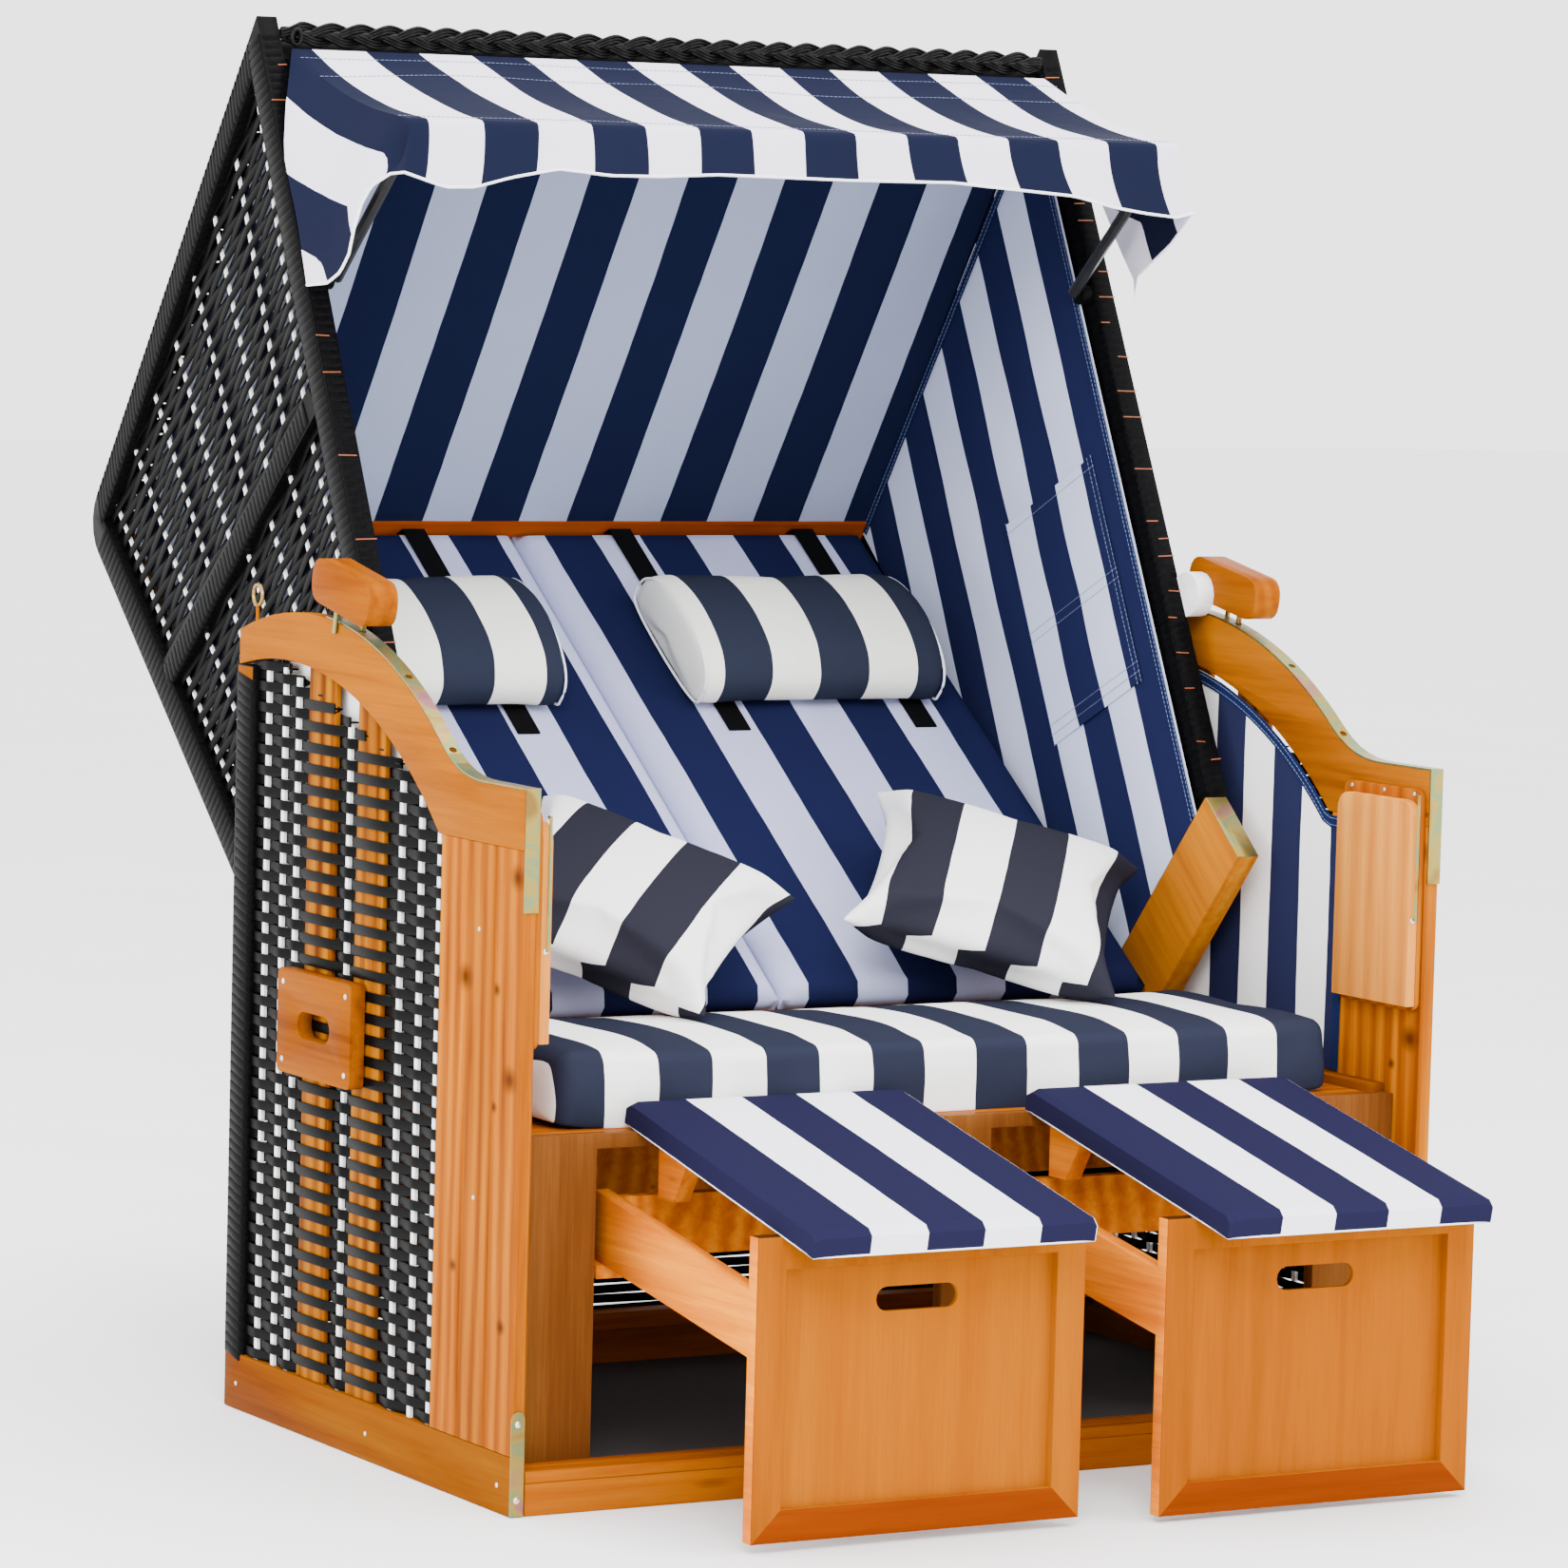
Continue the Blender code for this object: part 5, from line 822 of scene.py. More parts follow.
class NodeRecipe:
    """A Geometry Nodes tree with named inputs that ends in plain, dressed geometry."""

    def __init__(self, name: str, inputs: dict[str, Any]) -> None:
        """Start the tree.

        Args:
            name: Name of the tree.
            inputs: Default of each input after the geometry: a whole number, a number or a place.
        """
        self.tree = bpy.data.node_groups.new(name, "GeometryNodeTree")
        face = self.tree.interface
        face.new_socket("Geometry", in_out="INPUT", socket_type="NodeSocketGeometry")
        kinds = {int: "NodeSocketInt", float: "NodeSocketFloat", tuple: "NodeSocketVector"}
        self.keys: dict[str, str] = {}
        for label, default in inputs.items():
            socket = face.new_socket(label, in_out="INPUT", socket_type=kinds[type(default)])
            socket.default_value = default
            self.keys[label] = socket.identifier
        socket = face.new_socket("Material", in_out="INPUT", socket_type="NodeSocketMaterial")
        self.keys["Material"] = socket.identifier
        face.new_socket("Geometry", in_out="OUTPUT", socket_type="NodeSocketGeometry")
        self.input = self.tree.nodes.new("NodeGroupInput")
        self.output = self.tree.nodes.new("NodeGroupOutput")

    def add(self, kind: str, settings: Optional[dict[Any, Any]] = None,
            links: Optional[dict[Any, Any]] = None) -> Any:
        """Add a geometry node to the tree and give the socket of its result."""
        return add_node(self.tree, "GeometryNode" + kind, settings, links).outputs[0]

    def calc(self, operation: str, *terms: Any) -> Any:
        """Add a sum on sockets and numbers."""
        return calc(self.tree, operation, *terms)

    def joined(self, **parts: Any) -> Any:
        """Join a vector from its parts.

        Args:
            parts: A socket or a number for each of X, Y and Z.

        Returns:
            Socket of the vector.
        """
        fixed = {key: part for key, part in parts.items() if isinstance(part, float)}
        linked = {key: part for key, part in parts.items() if key not in fixed}
        return add_node(self.tree, "ShaderNodeCombineXYZ", fixed, linked).outputs[0]

    def parted(self, vector: Any) -> Any:
        """Sockets of a vector's parts."""
        return add_node(self.tree, "ShaderNodeSeparateXYZ", None, {0: vector}).outputs

    def facing(self, direction: Any) -> Any:
        """Socket of the turn that points Z along a direction."""
        return add_node(self.tree, "FunctionNodeAlignRotationToVector", {"axis": "Z"},
                        {"Vector": direction}).outputs[0]

    def given(self, label: str) -> Any:
        """Socket of a named input."""
        return self.input.outputs[label]

    def close(self, geometry: Any) -> None:
        """End the tree with realised instances and their material.

        Args:
            geometry: Socket of the geometry so far.
        """
        plain = self.add("RealizeInstances", None, {0: geometry})
        dressed = self.add("SetMaterial", None, {"Geometry": plain, "Material": self.given("Material")})
        self.tree.links.new(dressed, self.output.inputs[0])

    def run(self, name: str, source: bpy.types.Mesh, material: bpy.types.Material,
            place: Optional[Matrix] = None, **values: Any) -> bpy.types.Object:
        """Work the tree out on a mesh and keep the result as a plain piece.

        Args:
            name: Name of the piece.
            source: Mesh that the tree starts from.
            material: Material of the result.
            place: Matrix from the tree's own axes to the world.
            values: Values of the inputs, with underscores for spaces.

        Returns:
            The piece, without a modifier.
        """
        holder = new_object(name + "_recipe", source)
        step = holder.modifiers.new("recipe", "NODES")
        step.node_group = self.tree
        for key, value in values.items():
            step[self.keys[key.replace("_", " ")]] = value
        step[self.keys["Material"]] = material
        holder.update_tag()
        mesh = evaluated_mesh(holder)
        bpy.data.objects.remove(holder, do_unlink=True)
        if place is not None:
            mesh.transform(place)
        mesh.name = name
        if material.name not in [kept.name for kept in mesh.materials if kept]:
            mesh.materials.clear()
            mesh.materials.append(material)
        return new_object(name, mesh)


def screw_recipe() -> NodeRecipe:
    """Tree that sets a domed screw head on each vertex, facing along its stored direction.

    Returns:
        The recipe, with a Radius input.
    """
    recipe = NodeRecipe("screw_heads", {"Radius": 0.003})
    head = recipe.add("MeshUVSphere", {"Segments": 12, "Rings": 6}, {"Radius": recipe.given("Radius")})
    flat = recipe.add("Transform", {"Scale": (1.0, 1.0, 0.35)}, {"Geometry": head})
    out = recipe.add("InputNamedAttribute", {"data_type": "FLOAT_VECTOR", "Name": "out"})
    recipe.close(recipe.add("InstanceOnPoints", None, {
        "Points": recipe.given("Geometry"), "Instance": flat, "Rotation": recipe.facing(out)}))
    return recipe


def weave_recipe() -> NodeRecipe:
    """Tree that repeats one wavy strand, row by row, and trims each row between slanted lines.

    The strand is a line of vertices along X with three named values on each: base and shear give
    its place along the row, and depth gives how far it stands before or behind the middle. Every
    second row takes the opposite depth.

    Returns:
        The recipe, with inputs for rows, pitch, band size and the four trimming lines.
    """
    low, high = (-9.0, 0.0, 0.0), (9.0, 0.0, 0.0)
    recipe = NodeRecipe("woven_rows", {
        "Rows": 10, "Pitch": 0.012, "Band Width": 0.0115, "Band Thickness": 0.0022, "Start A": low,
        "Start B": low, "End A": high, "End B": high, "Waver": 0.0006, "Seed": SEED})
    given = recipe.given
    rows = recipe.add("MeshLine", {"mode": "OFFSET"}, {"Count": given("Rows"),
                                                       "Offset": recipe.joined(Y=given("Pitch"))})
    odd = recipe.calc("MODULO", recipe.add("InputIndex"), 2.0)
    stored = recipe.add("StoreNamedAttribute", {"data_type": "FLOAT", "domain": "POINT", "Name": "row_sign"},
                        {"Geometry": rows, "Value": recipe.calc("MULTIPLY_ADD", odd, -2.0, 1.0)})
    placed = recipe.add("InstanceOnPoints", None, {"Points": stored, "Instance": given("Geometry")})
    real = recipe.add("RealizeInstances", None, {0: placed})

    def named(name: str) -> Any:
        """Socket of a stored number."""
        return recipe.add("InputNamedAttribute", {"data_type": "FLOAT", "Name": name})

    place = recipe.add("InputPosition")
    row = recipe.parted(place)["Y"]
    along = recipe.calc("MULTIPLY_ADD", named("shear"), row, named("base"))
    for operation, labels in (("MAXIMUM", ("Start A", "Start B")), ("MINIMUM", ("End A", "End B"))):
        for label in labels:
            line = recipe.parted(given(label))
            limit = recipe.calc("MULTIPLY_ADD", row, line["Y"], line["X"])
            along = recipe.calc(operation, along, limit)
    waver = noise(recipe.tree, place, 30.0, 1.0)
    swing = recipe.calc("MULTIPLY", recipe.calc("SUBTRACT", waver, 0.5), given("Waver"))
    depth = recipe.calc("MULTIPLY", named("depth"), named("row_sign"))
    moved = recipe.joined(X=along, Y=recipe.calc("ADD", row, swing), Z=depth)
    shaped = recipe.add("SetPosition", None, {"Geometry": real, "Position": moved})
    merged = recipe.add("MergeByDistance", {"Distance": 0.0002}, {"Geometry": shaped})
    upright = recipe.add("SetCurveNormal", {"mode": "Z_UP"}, {0: recipe.add("MeshToCurve", None, {0: merged})})
    tape = recipe.add("CurvePrimitiveQuadrilateral", {"mode": "RECTANGLE"},
                      {"Width": given("Band Width"), "Height": given("Band Thickness")})
    corner = recipe.calc("MULTIPLY", given("Band Thickness"), 0.45)
    profile = recipe.add("FilletCurve", {"mode": "POLY", "Count": 2}, {"Curve": tape, "Radius": corner})
    recipe.close(recipe.add("CurveToMesh", {"Fill Caps": True}, {"Curve": upright, "Profile Curve": profile}))
    return recipe


def wrap_recipe() -> NodeRecipe:
    """Tree that winds slanted turns of flat strand round a bar along Z.

    Returns:
        The recipe, with inputs for the bar's section, the number of turns and their pitch.
    """
    recipe = NodeRecipe("wound_turns", {
        "Turns": 50, "Pitch": 0.0105, "Width": 0.028, "Depth": 0.04, "Band": 0.0104, "Thickness": 0.0012,
        "Slant": 0.25, "Loose": 0.06, "Seed": SEED})
    given = recipe.given
    loop = recipe.add("CurvePrimitiveQuadrilateral", {"mode": "RECTANGLE"},
                      {"Width": recipe.calc("SUBTRACT", given("Width"), given("Thickness")),
                       "Height": recipe.calc("SUBTRACT", given("Depth"), given("Thickness"))})
    soft = recipe.add("FilletCurve", {"mode": "POLY", "Count": 2, "Radius": 0.004}, {"Curve": loop})
    parts = recipe.parted(recipe.add("InputPosition"))
    rise = recipe.calc("MULTIPLY", recipe.calc("ADD", parts["X"], parts["Y"]), given("Slant"))
    slanted = recipe.add("SetPosition", None, {"Geometry": soft, "Offset": recipe.joined(Z=rise)})
    upright = recipe.add("SetCurveNormal", {"mode": "Z_UP"}, {0: slanted})
    circle = recipe.add("CurvePrimitiveCircle", {"Resolution": 8, "Radius": 0.5})
    oval = recipe.joined(X=given("Thickness"), Y=given("Band"), Z=1.0)
    section = recipe.add("Transform", None, {"Geometry": circle, "Scale": oval})
    band = recipe.add("CurveToMesh", None, {"Curve": upright, "Profile Curve": section})
    line = recipe.add("MeshLine", {"mode": "OFFSET"}, {"Count": given("Turns"),
                                                       "Offset": recipe.joined(Z=given("Pitch"))})
    chance = add_node(recipe.tree, "FunctionNodeRandomValue", {"data_type": "FLOAT"}, {"Seed": given("Seed")})
    height = recipe.calc("SUBTRACT", 1.0, recipe.calc("MULTIPLY", chance.outputs[1], given("Loose")))
    recipe.close(recipe.add("InstanceOnPoints", None, {
        "Points": line, "Instance": band, "Scale": recipe.joined(X=1.0, Y=1.0, Z=height)}))
    return recipe


def stitch_recipe() -> NodeRecipe:
    """Tree that lays short stitches end to end along edges.

    Returns:
        The recipe, with inputs for the stitch length, the gap and the thread's radius.
    """
    recipe = NodeRecipe("stitch_rows", {"Step": 0.006, "Stitch": 0.0042, "Thread": 0.0004})
    lines = recipe.add("MeshToCurve", None, {0: recipe.given("Geometry")})
    points = add_node(recipe.tree, "GeometryNodeCurveToPoints", {"mode": "LENGTH"},
                      {"Curve": lines, "Length": recipe.given("Step")}).outputs
    sausage = recipe.add("MeshCylinder", {"Vertices": 5}, {"Radius": recipe.given("Thread"),
                                                           "Depth": recipe.given("Stitch")})
    recipe.close(recipe.add("InstanceOnPoints", None, {
        "Points": points["Points"], "Instance": sausage, "Rotation": recipe.facing(points["Tangent"])}))
    return recipe


class Workshop:
    """What every sub-assembly shares: the finishes and the node recipes."""

    def __init__(self) -> None:
        """Make the finishes and the recipes."""
        self.stock = Stock()
        self.screws = screw_recipe()
        self.weave = weave_recipe()
        self.wrap = wrap_recipe()
        self.stitches = stitch_recipe()

    def eased(self, node: str, material: bpy.types.Material, body: str, slot: str, width: float = 0.0012,
              angle: float = 50.0) -> bpy.types.Object:
        """Show a rigid solid with its sharp edges eased, in place of the plain one.

        Args:
            node: Name of the solid.
            material: Its finish.
            body: The body that it rides on.
            slot: Its material slot.
            width: Width of the eased edges.
            angle: Least angle in degrees of an edge that is eased.

        Returns:
            The piece.
        """
        def clean(shape: bmesh.types.BMesh) -> None:
            """Join doubled vertices and flat neighbours.

            Args:
                shape: The open mesh.
            """
            bmesh.ops.remove_doubles(shape, verts=shape.verts, dist=0.00002)
            bmesh.ops.dissolve_limit(shape, angle_limit=math.radians(1.0), verts=shape.verts,
                                     edges=shape.edges)
            bmesh.ops.recalc_face_normals(shape, faces=shape.faces)

        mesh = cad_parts[node].data.copy()
        edited(mesh, clean)
        mesh.materials.clear()
        piece = new_object(node + "_eased", mesh, material)
        smooth(modified(piece, "BEVEL", width=width, segments=2, limit_method="ANGLE",
                        angle_limit=math.radians(angle)), 32.0)
        return settle(piece, body, slot, node)

    def set_screws(self, name: str, places: Sequence[Sequence[float]], out: Vector, radius: float,
                   body: str) -> None:
        """Set screw heads.

        Args:
            name: Name of the piece.
            places: Place of each head.
            out: Direction that they face.
            radius: Radius of the heads.
            body: The body that they ride on.
        """
        mesh = bpy.data.meshes.new(name + "_places")
        mesh.from_pydata([tuple(place) for place in places], [], [])
        facing = mesh.attributes.new("out", "FLOAT_VECTOR", "POINT")
        facing.data.foreach_set("vector", list(out) * len(places))
        heads = self.screws.run(name, mesh, self.stock.screw, Radius=radius)
        smooth(heads.data, 60.0)
        settle(heads, body, "zinc_steel")

    def sew(self, name: str, lines: Sequence[Sequence[Vector]], body: Optional[str] = None) -> bpy.types.Object:
        """Lay stitches along lines.

        Args:
            name: Name of the piece.
            lines: Lines of places.
            body: The body that they ride on, or None to leave them unattached.

        Returns:
            The piece.
        """
        points: list[tuple[float, ...]] = []
        edges: list[tuple[int, int]] = []
        for line in lines:
            start = len(points)
            points += [tuple(place) for place in line]
            edges += [(start + i, start + i + 1) for i in range(len(line) - 1)]
        mesh = bpy.data.meshes.new(name + "_lines")
        mesh.from_pydata(points, edges, [])
        piece = self.stitches.run(name, mesh, self.stock.thread)
        return piece if body is None else settle(piece, body, "lining_fabric")

    def wind(self, name: str, start: Vector, end: Vector, width: float, depth: float, body: str,
             pitch: float = 0.0105, slant: float = 0.2) -> None:
        """Wind flat strand round a bar whose width lies along X.

        Args:
            name: Name of the piece.
            start: Middle of the bar at its first turn.
            end: Middle of the bar at its last turn.
            width: Width over the strand.
            depth: Depth over the strand.
            body: The body that it rides on.
            pitch: Distance from turn to turn.
            slant: How far each turn climbs for each metre across the bar.
        """
        run = (end - start).normalized()
        side = (X_AXIS - run * X_AXIS.dot(run)).normalized()
        turns = int((end - start).length / pitch)
        exact = (end - start).length / turns
        seed_mesh = bpy.data.meshes.new(name + "_start")
        seed_mesh.from_pydata([(0.0, 0.0, 0.0)], [], [])
        piece = self.wrap.run(name, seed_mesh, self.stock.wrap, axes_at(side, run.cross(side), run, start),
                              Turns=turns, Pitch=exact, Width=width, Depth=depth, Band=exact * 1.02,
                              Slant=slant)
        smooth(piece.data, 50.0)
        settle(piece, body, "black_resin")


@dataclass
class WovenField:
    """One woven field: rows of flat strand that pass over and under uprights.

    Uprights are given at row 0, by how far they move along the row for each metre across rows, by
    their width and by how far they push a strand out. The trimming lines are given alike.
    """

    name: str
    body: str
    place: Matrix
    rows: int
    pitch: float
    first_row: float
    uprights: Sequence[tuple[float, float, float, float]]
    start_lines: Sequence[tuple[float, float]]
    end_lines: Sequence[tuple[float, float]]
    band_width: float = 0.0112
    band_thickness: float = 0.0021
    flip: int = 1
    reach: float = 2.0
    waver: float = 0.0008

    def weave(self, shop: Workshop, *nodes: str) -> None:
        """Weave the rows.

        Args:
            shop: The workshop with the recipes and finishes.
            nodes: The solids that the strands stand for.
        """
        base, shear, depth = [-self.reach], [self.uprights[0][1]], [0.0]
        sign = self.flip
        for at, slant, width, lift in self.uprights:
            for edge in (-0.5, 0.5):
                base.append(at + slant * self.first_row + edge * width)
                shear.append(slant)
                depth.append(sign * lift)
            sign = -sign
        base.append(self.reach)
        shear.append(self.uprights[-1][1])
        depth.append(0.0)
        mesh = bpy.data.meshes.new(self.name + "_strand")
        mesh.from_pydata([(x, 0.0, 0.0) for x in base], [(i, i + 1) for i in range(len(base) - 1)], [])
        for key, values in (("base", base), ("shear", shear), ("depth", depth)):
            mesh.attributes.new(key, "FLOAT", "POINT").data.foreach_set("value", values)
        starts, ends = ([(at + slope * self.first_row, slope, 0.0) for at, slope in lines]
                        for lines in (self.start_lines, self.end_lines))
        place = self.place @ Matrix.Translation((0.0, self.first_row, 0.0))
        piece = shop.weave.run(self.name, mesh, shop.stock.strand, place, Rows=self.rows, Pitch=self.pitch,
                               Band_Width=self.band_width, Band_Thickness=self.band_thickness,
                               Start_A=starts[0], Start_B=starts[-1], End_A=ends[0], End_B=ends[-1],
                               Waver=self.waver)
        smooth(piece.data, 50.0)
        settle(piece, self.body, "black_resin", *nodes)

    def stakes(self, shop: Workshop, name: str, low: Callable[[float, float], float],
               high: Callable[[float, float], float], width: float, thickness: float) -> None:
        """Stand the flat stakes that the rows pass over and under, in place of the narrow uprights.

        Args:
            shop: The workshop with the finishes.
            name: Name of the piece.
            low: Row at which a stake starts, from its place and slant.
            high: Row at which it ends.
            width: Width of a stake.
            thickness: Thickness of a stake.
        """
        form = Form()
        across = self.place.to_3x3() @ X_AXIS
        for at, slant, room, _ in self.uprights:
            if room < 0.02:
                ends = [self.place @ Vector((at + slant * row, row, 0.0))
                        for row in (low(at, slant), high(at, slant))]
                form.bar(ends[0], ends[1], across, width, thickness)
        settle(new_object(name, form.mesh(name), shop.stock.stake), self.body, "black_resin")


@dataclass
class BaseSides:
    """The two sides of the base: planks, post, woven field with its slats, and the grip plate."""

    wall_middle: float = 0.5828
    front: float = 0.195
    back: float = 0.681
    foot: float = 0.0655
    top: float = 0.874
    pitch: float = 0.012
    stakes_at: tuple[float, ...] = (0.209, 0.255, 0.303, 0.436, 0.571, 0.606, 0.65)
    stake_room: tuple[float, float] = (0.0115, 0.0033)
    stake_size: tuple[float, float] = (0.0078, 0.004)
    slats_at: tuple[float, ...] = (0.3775, 0.5045)
    slat_room: tuple[float, float] = (0.069, 0.0043)
    strap_x: float = 0.5822
    strap_outline: tuple[tuple[float, float], ...] = (
        (-0.008, 0.0005), (0.008, 0.0005), (0.008, 0.106), (0.0055, 0.112), (0.0, 0.114), (-0.0055, 0.112),
        (-0.008, 0.106))
    board_face: float = 0.5902
    board_screws: tuple[tuple[float, float], ...] = (
        (0.03, 0.03), (0.35, 0.03), (0.69, 0.03), (0.1, 0.33), (0.1, 0.62))
    grip_face: float = 0.6069
    lining_x: float = 0.5709
    lining_low: float = 0.412
    lining_run: tuple[float, float] = (0.162, 0.676)

    def build(self, shop: Workshop) -> None:
        """Build both sides."""
        for side in Side:
            self.weave(shop, side)
            self.boards(shop, side)
            self.fittings(shop, side)
            self.lining(shop, side)
            LOG.info("base side %s dressed", side.word)

    def weave(self, shop: Workshop, side: Side) -> None:
        """Weave the side's field, stand its stakes and show its slats.

        Args:
            shop: The workshop.
            side: Which side.
        """
        uprights = sorted([(y, 0.0, *self.stake_room) for y in self.stakes_at]
                          + [(y, 0.0, *self.slat_room) for y in self.slats_at])
        slope = (0.68 - 0.2) / (0.874 - 0.728)
        cloth = WovenField(f"side_weave_{side.word}_strands", "base",
                           axes_at(Y_AXIS, Z_AXIS, X_AXIS, side.out * self.wall_middle),
                           int((self.top - self.foot) / self.pitch), self.pitch, self.foot + self.pitch / 2,
                           uprights, [(self.front - 0.01, 0.0), (0.2 - slope * 0.745, slope)],
                           [(self.back + 0.006, 0.0)], 0.0118, flip=side.value, waver=0.0005)
        cloth.weave(shop, f"side_weave_{side.word}")
        cloth.stakes(shop, f"side_stakes_{side.word}", lambda at, slant: self.foot - 0.004,
                     lambda at, slant: min(self.top - 0.01, 0.74 + (at - 0.2) * 0.31), *self.stake_size)
        for which in ("front", "rear"):
            slat = shop.eased(f"side_slat_{which}_{side.word}", shop.stock.slats, "base", "pine", 0.001, 35.0)
            slat.name = f"side_slat_{which}_{side.word}_shown"

    def boards(self, shop: Workshop, side: Side) -> None:
        """Show the upright boards and the arm, with its ring bolt and notch strip.

        Args:
            shop: The workshop.
            side: Which side.
        """
        shop.eased(f"side_planks_{side.word}", shop.stock.planks, "base", "pine")
        arm = shop.eased(f"arm_{side.word}", shop.stock.arm, "base", "pine", 0.002)
        arm.data.materials.append(shop.stock.zinc)
        for face in arm.data.polygons:
            if face.center.z > 0.9285 and face.center.y > 0.67:
                face.material_index = 1
        dress(f"notch_strip_{side.word}", shop.stock.zinc)

    def fittings(self, shop: Workshop, side: Side) -> None:
        """Fix the strap on the front foot corner, the grip plate and all the screws.

        Args:
            shop: The workshop.
            side: Which side.
        """
        form = Form()
        x = side.value * self.strap_x
        form.sweep([[(x + a, y, b) for a, b in self.strap_outline] for y in (-0.0016, 0.0)])
        settle(new_object(f"corner_strap_{side.word}", form.mesh("strap"), shop.stock.zinc), "base", "zinc_steel")
        shop.set_screws(f"corner_strap_screws_{side.word}", [(x, -0.0017, z) for z in (0.018, 0.1)], -Y_AXIS,
                        0.0038, "base")
        shop.set_screws(f"side_board_screws_{side.word}",
                        [(side.value * self.board_face, y, z) for y, z in self.board_screws], side.out, 0.0028,
                        "base")
        shop.eased(f"grip_plate_{side.word}", shop.stock.grip, "base", "pine", 0.003)
        shop.set_screws(f"grip_screws_{side.word}",
                        [(side.value * self.grip_face, y, z) for y in (0.389, 0.549) for z in (0.426, 0.514)],
                        side.out, 0.0034, "base")

    @staticmethod
    def arm_underside(y: float) -> float:
        """Height of the arm's underside, an arc between its two feet.

        Args:
            y: Depth at which it is asked for.

        Returns:
            The height.
        """
        start, end, sag = Vector((0.717, 0.861)), Vector((0.2, 0.7133)), 0.0675
        chord = end - start
        radius = (chord.length ** 2 / 4 + sag * sag) / (2 * sag)
        centre = (start + end) / 2 + Vector((-chord.y, chord.x)).normalized() * (radius - sag)
        return centre.y + math.sqrt(max(0.0, radius * radius - (y - centre.x) ** 2))

    def lining(self, shop: Workshop, side: Side) -> None:
        """Hang the striped lining on the inner face, with navy tape and its stitching.

        Args:
            shop: The workshop.
            side: Which side.
        """
        x = side.value * self.lining_x
        low, grid = self.lining_low, []
        for y in steps(36, *self.lining_run):
            edge = self.arm_underside(y) - 0.004 if y > 0.2 else 0.709
            grid.append([(x - side.value * 0.0006 * (1 + math.sin(y * 42 + j * 0.5)), y, z)
                         for j, z in enumerate(steps(10, low, edge))])
        mesh = sheet_grid(grid)
        sheet = new_object(f"wall_lining_{side.word}", mesh, shop.stock.wall)
        thicken(sheet, 0.0006)
        settle(sheet, "base", "lining_fabric")
        face = x - side.value * 0.0014
        top = [Vector((face, y, z - 0.007)) for _, y, z in (column[-1] for column in grid)]
        tape = Form()
        for path in (top, [Vector((face, 0.169, z)) for z in (low, 0.50, 0.60, 0.702)]):
            tape.ribbon(path, side.out, 0.014, 0.0008)
        binding = settle(new_object(f"wall_tape_{side.word}", tape.mesh("tape"), shop.stock.navy_tape), "base",
                         "lining_fabric")
        shop.sew(f"wall_stitches_{side.word}",
                 [[place + Vector((-side.value * 0.0009, 0, d)) for place in top] for d in (-0.004, 0.004)],
                 "base")


@dataclass
class BaseFrame:
    """The rest of the base: plinth, sill, seat box and its rear woven panel."""

    rear_middle: float = 0.7145
    half_width: float = 0.571
    rib_gap: float = 0.125
    rib_run: tuple[float, float] = (0.066, 0.44)
    rails_at: tuple[tuple[float, float], ...] = ((0.177, 0.194), (0.234, 0.272), (0.415, 0.45), (0.0648, 0.085))
    rail_middle: float = 0.6955
    post: tuple[float, float] = (0.581, 0.701)
    post_run: tuple[float, float] = (0.068, 0.856)

    def build(self, shop: Workshop) -> None:
        """Dress the frame and weave the rear panel.

        Args:
            shop: The workshop.
        """
        stock = shop.stock
        plinth = shop.eased("plinth_frame", stock.pine_along, "base", "pine", 0.0015)
        plinth.data.materials.append(stock.wrap)
        plinth.data.materials.append(stock.pine_cross)
        for face in plinth.data.polygons:
            if face.center.y > 0.678 and face.center.z > 0.066:
                face.material_index = 1
            elif abs(face.center.x) < 0.57:
                face.material_index = 2
        boards = {"front_sill": stock.pine_cross, "sill_tread": stock.pine_cross,
                  "seat_front_frame": stock.front, "seat_rail_left": stock.pine_along,
                  "seat_rail_right": stock.pine_along, "seat_deck": stock.pine_cross,
                  "footrest_runners": stock.runner, "table_backboard_left": stock.pine_post,
                  "table_backboard_right": stock.pine_post}
        for node, finish in boards.items():
            shop.eased(node, finish, "base", "plywood" if "backboard" in node else "pine", 0.001)
        dress("floor_sheet", stock.felt)
        for side in Side:
            dress(f"pivot_bolt_{side.word}", stock.zinc)
        self.rear(shop)
        LOG.info("base frame dressed")

    def rear(self, shop: Workshop) -> None:
        """Weave the rear panel, show its rails, and wrap the rear posts.

        Args:
            shop: The workshop.
        """
        uprights = [(-0.5 + self.rib_gap * i, 0.0, 0.012, 0.0032) for i in range(9)]
        WovenField("rear_wall_strands", "base",
                   axes_at(X_AXIS, Z_AXIS, -Y_AXIS, Y_AXIS * self.rear_middle), 31, 0.012, 0.072, uprights,
                   [(-self.half_width, 0.0)], [(self.half_width, 0.0)], 0.0108).weave(shop, "rear_wall")
        ribs, rails = Form(), Form()
        for x, *_ in uprights:
            ribs.bar(*(Vector((x, self.rear_middle, z)) for z in self.rib_run), X_AXIS, 0.012, 0.0042)
        for low, high in self.rails_at:
            rails.bar(*(Vector((x, self.rail_middle, (low + high) / 2))
                        for x in (-self.half_width, self.half_width)), Y_AXIS, 0.0285, high - low)
        settle(new_object("rear_wall_stakes", ribs.mesh("ribs"), shop.stock.wrap), "base", "black_resin")
        settle(new_object("rear_wall_rails", rails.mesh("rails"), shop.stock.pine_cross), "base", "pine",
               "rear_wall")
        for side in Side:
            shop.wind(f"post_wrap_{side.word}",
                      *(Vector((side.value * self.post[0], self.post[1], z)) for z in self.post_run), 0.0207,
                      0.0447, "base", 0.0112)


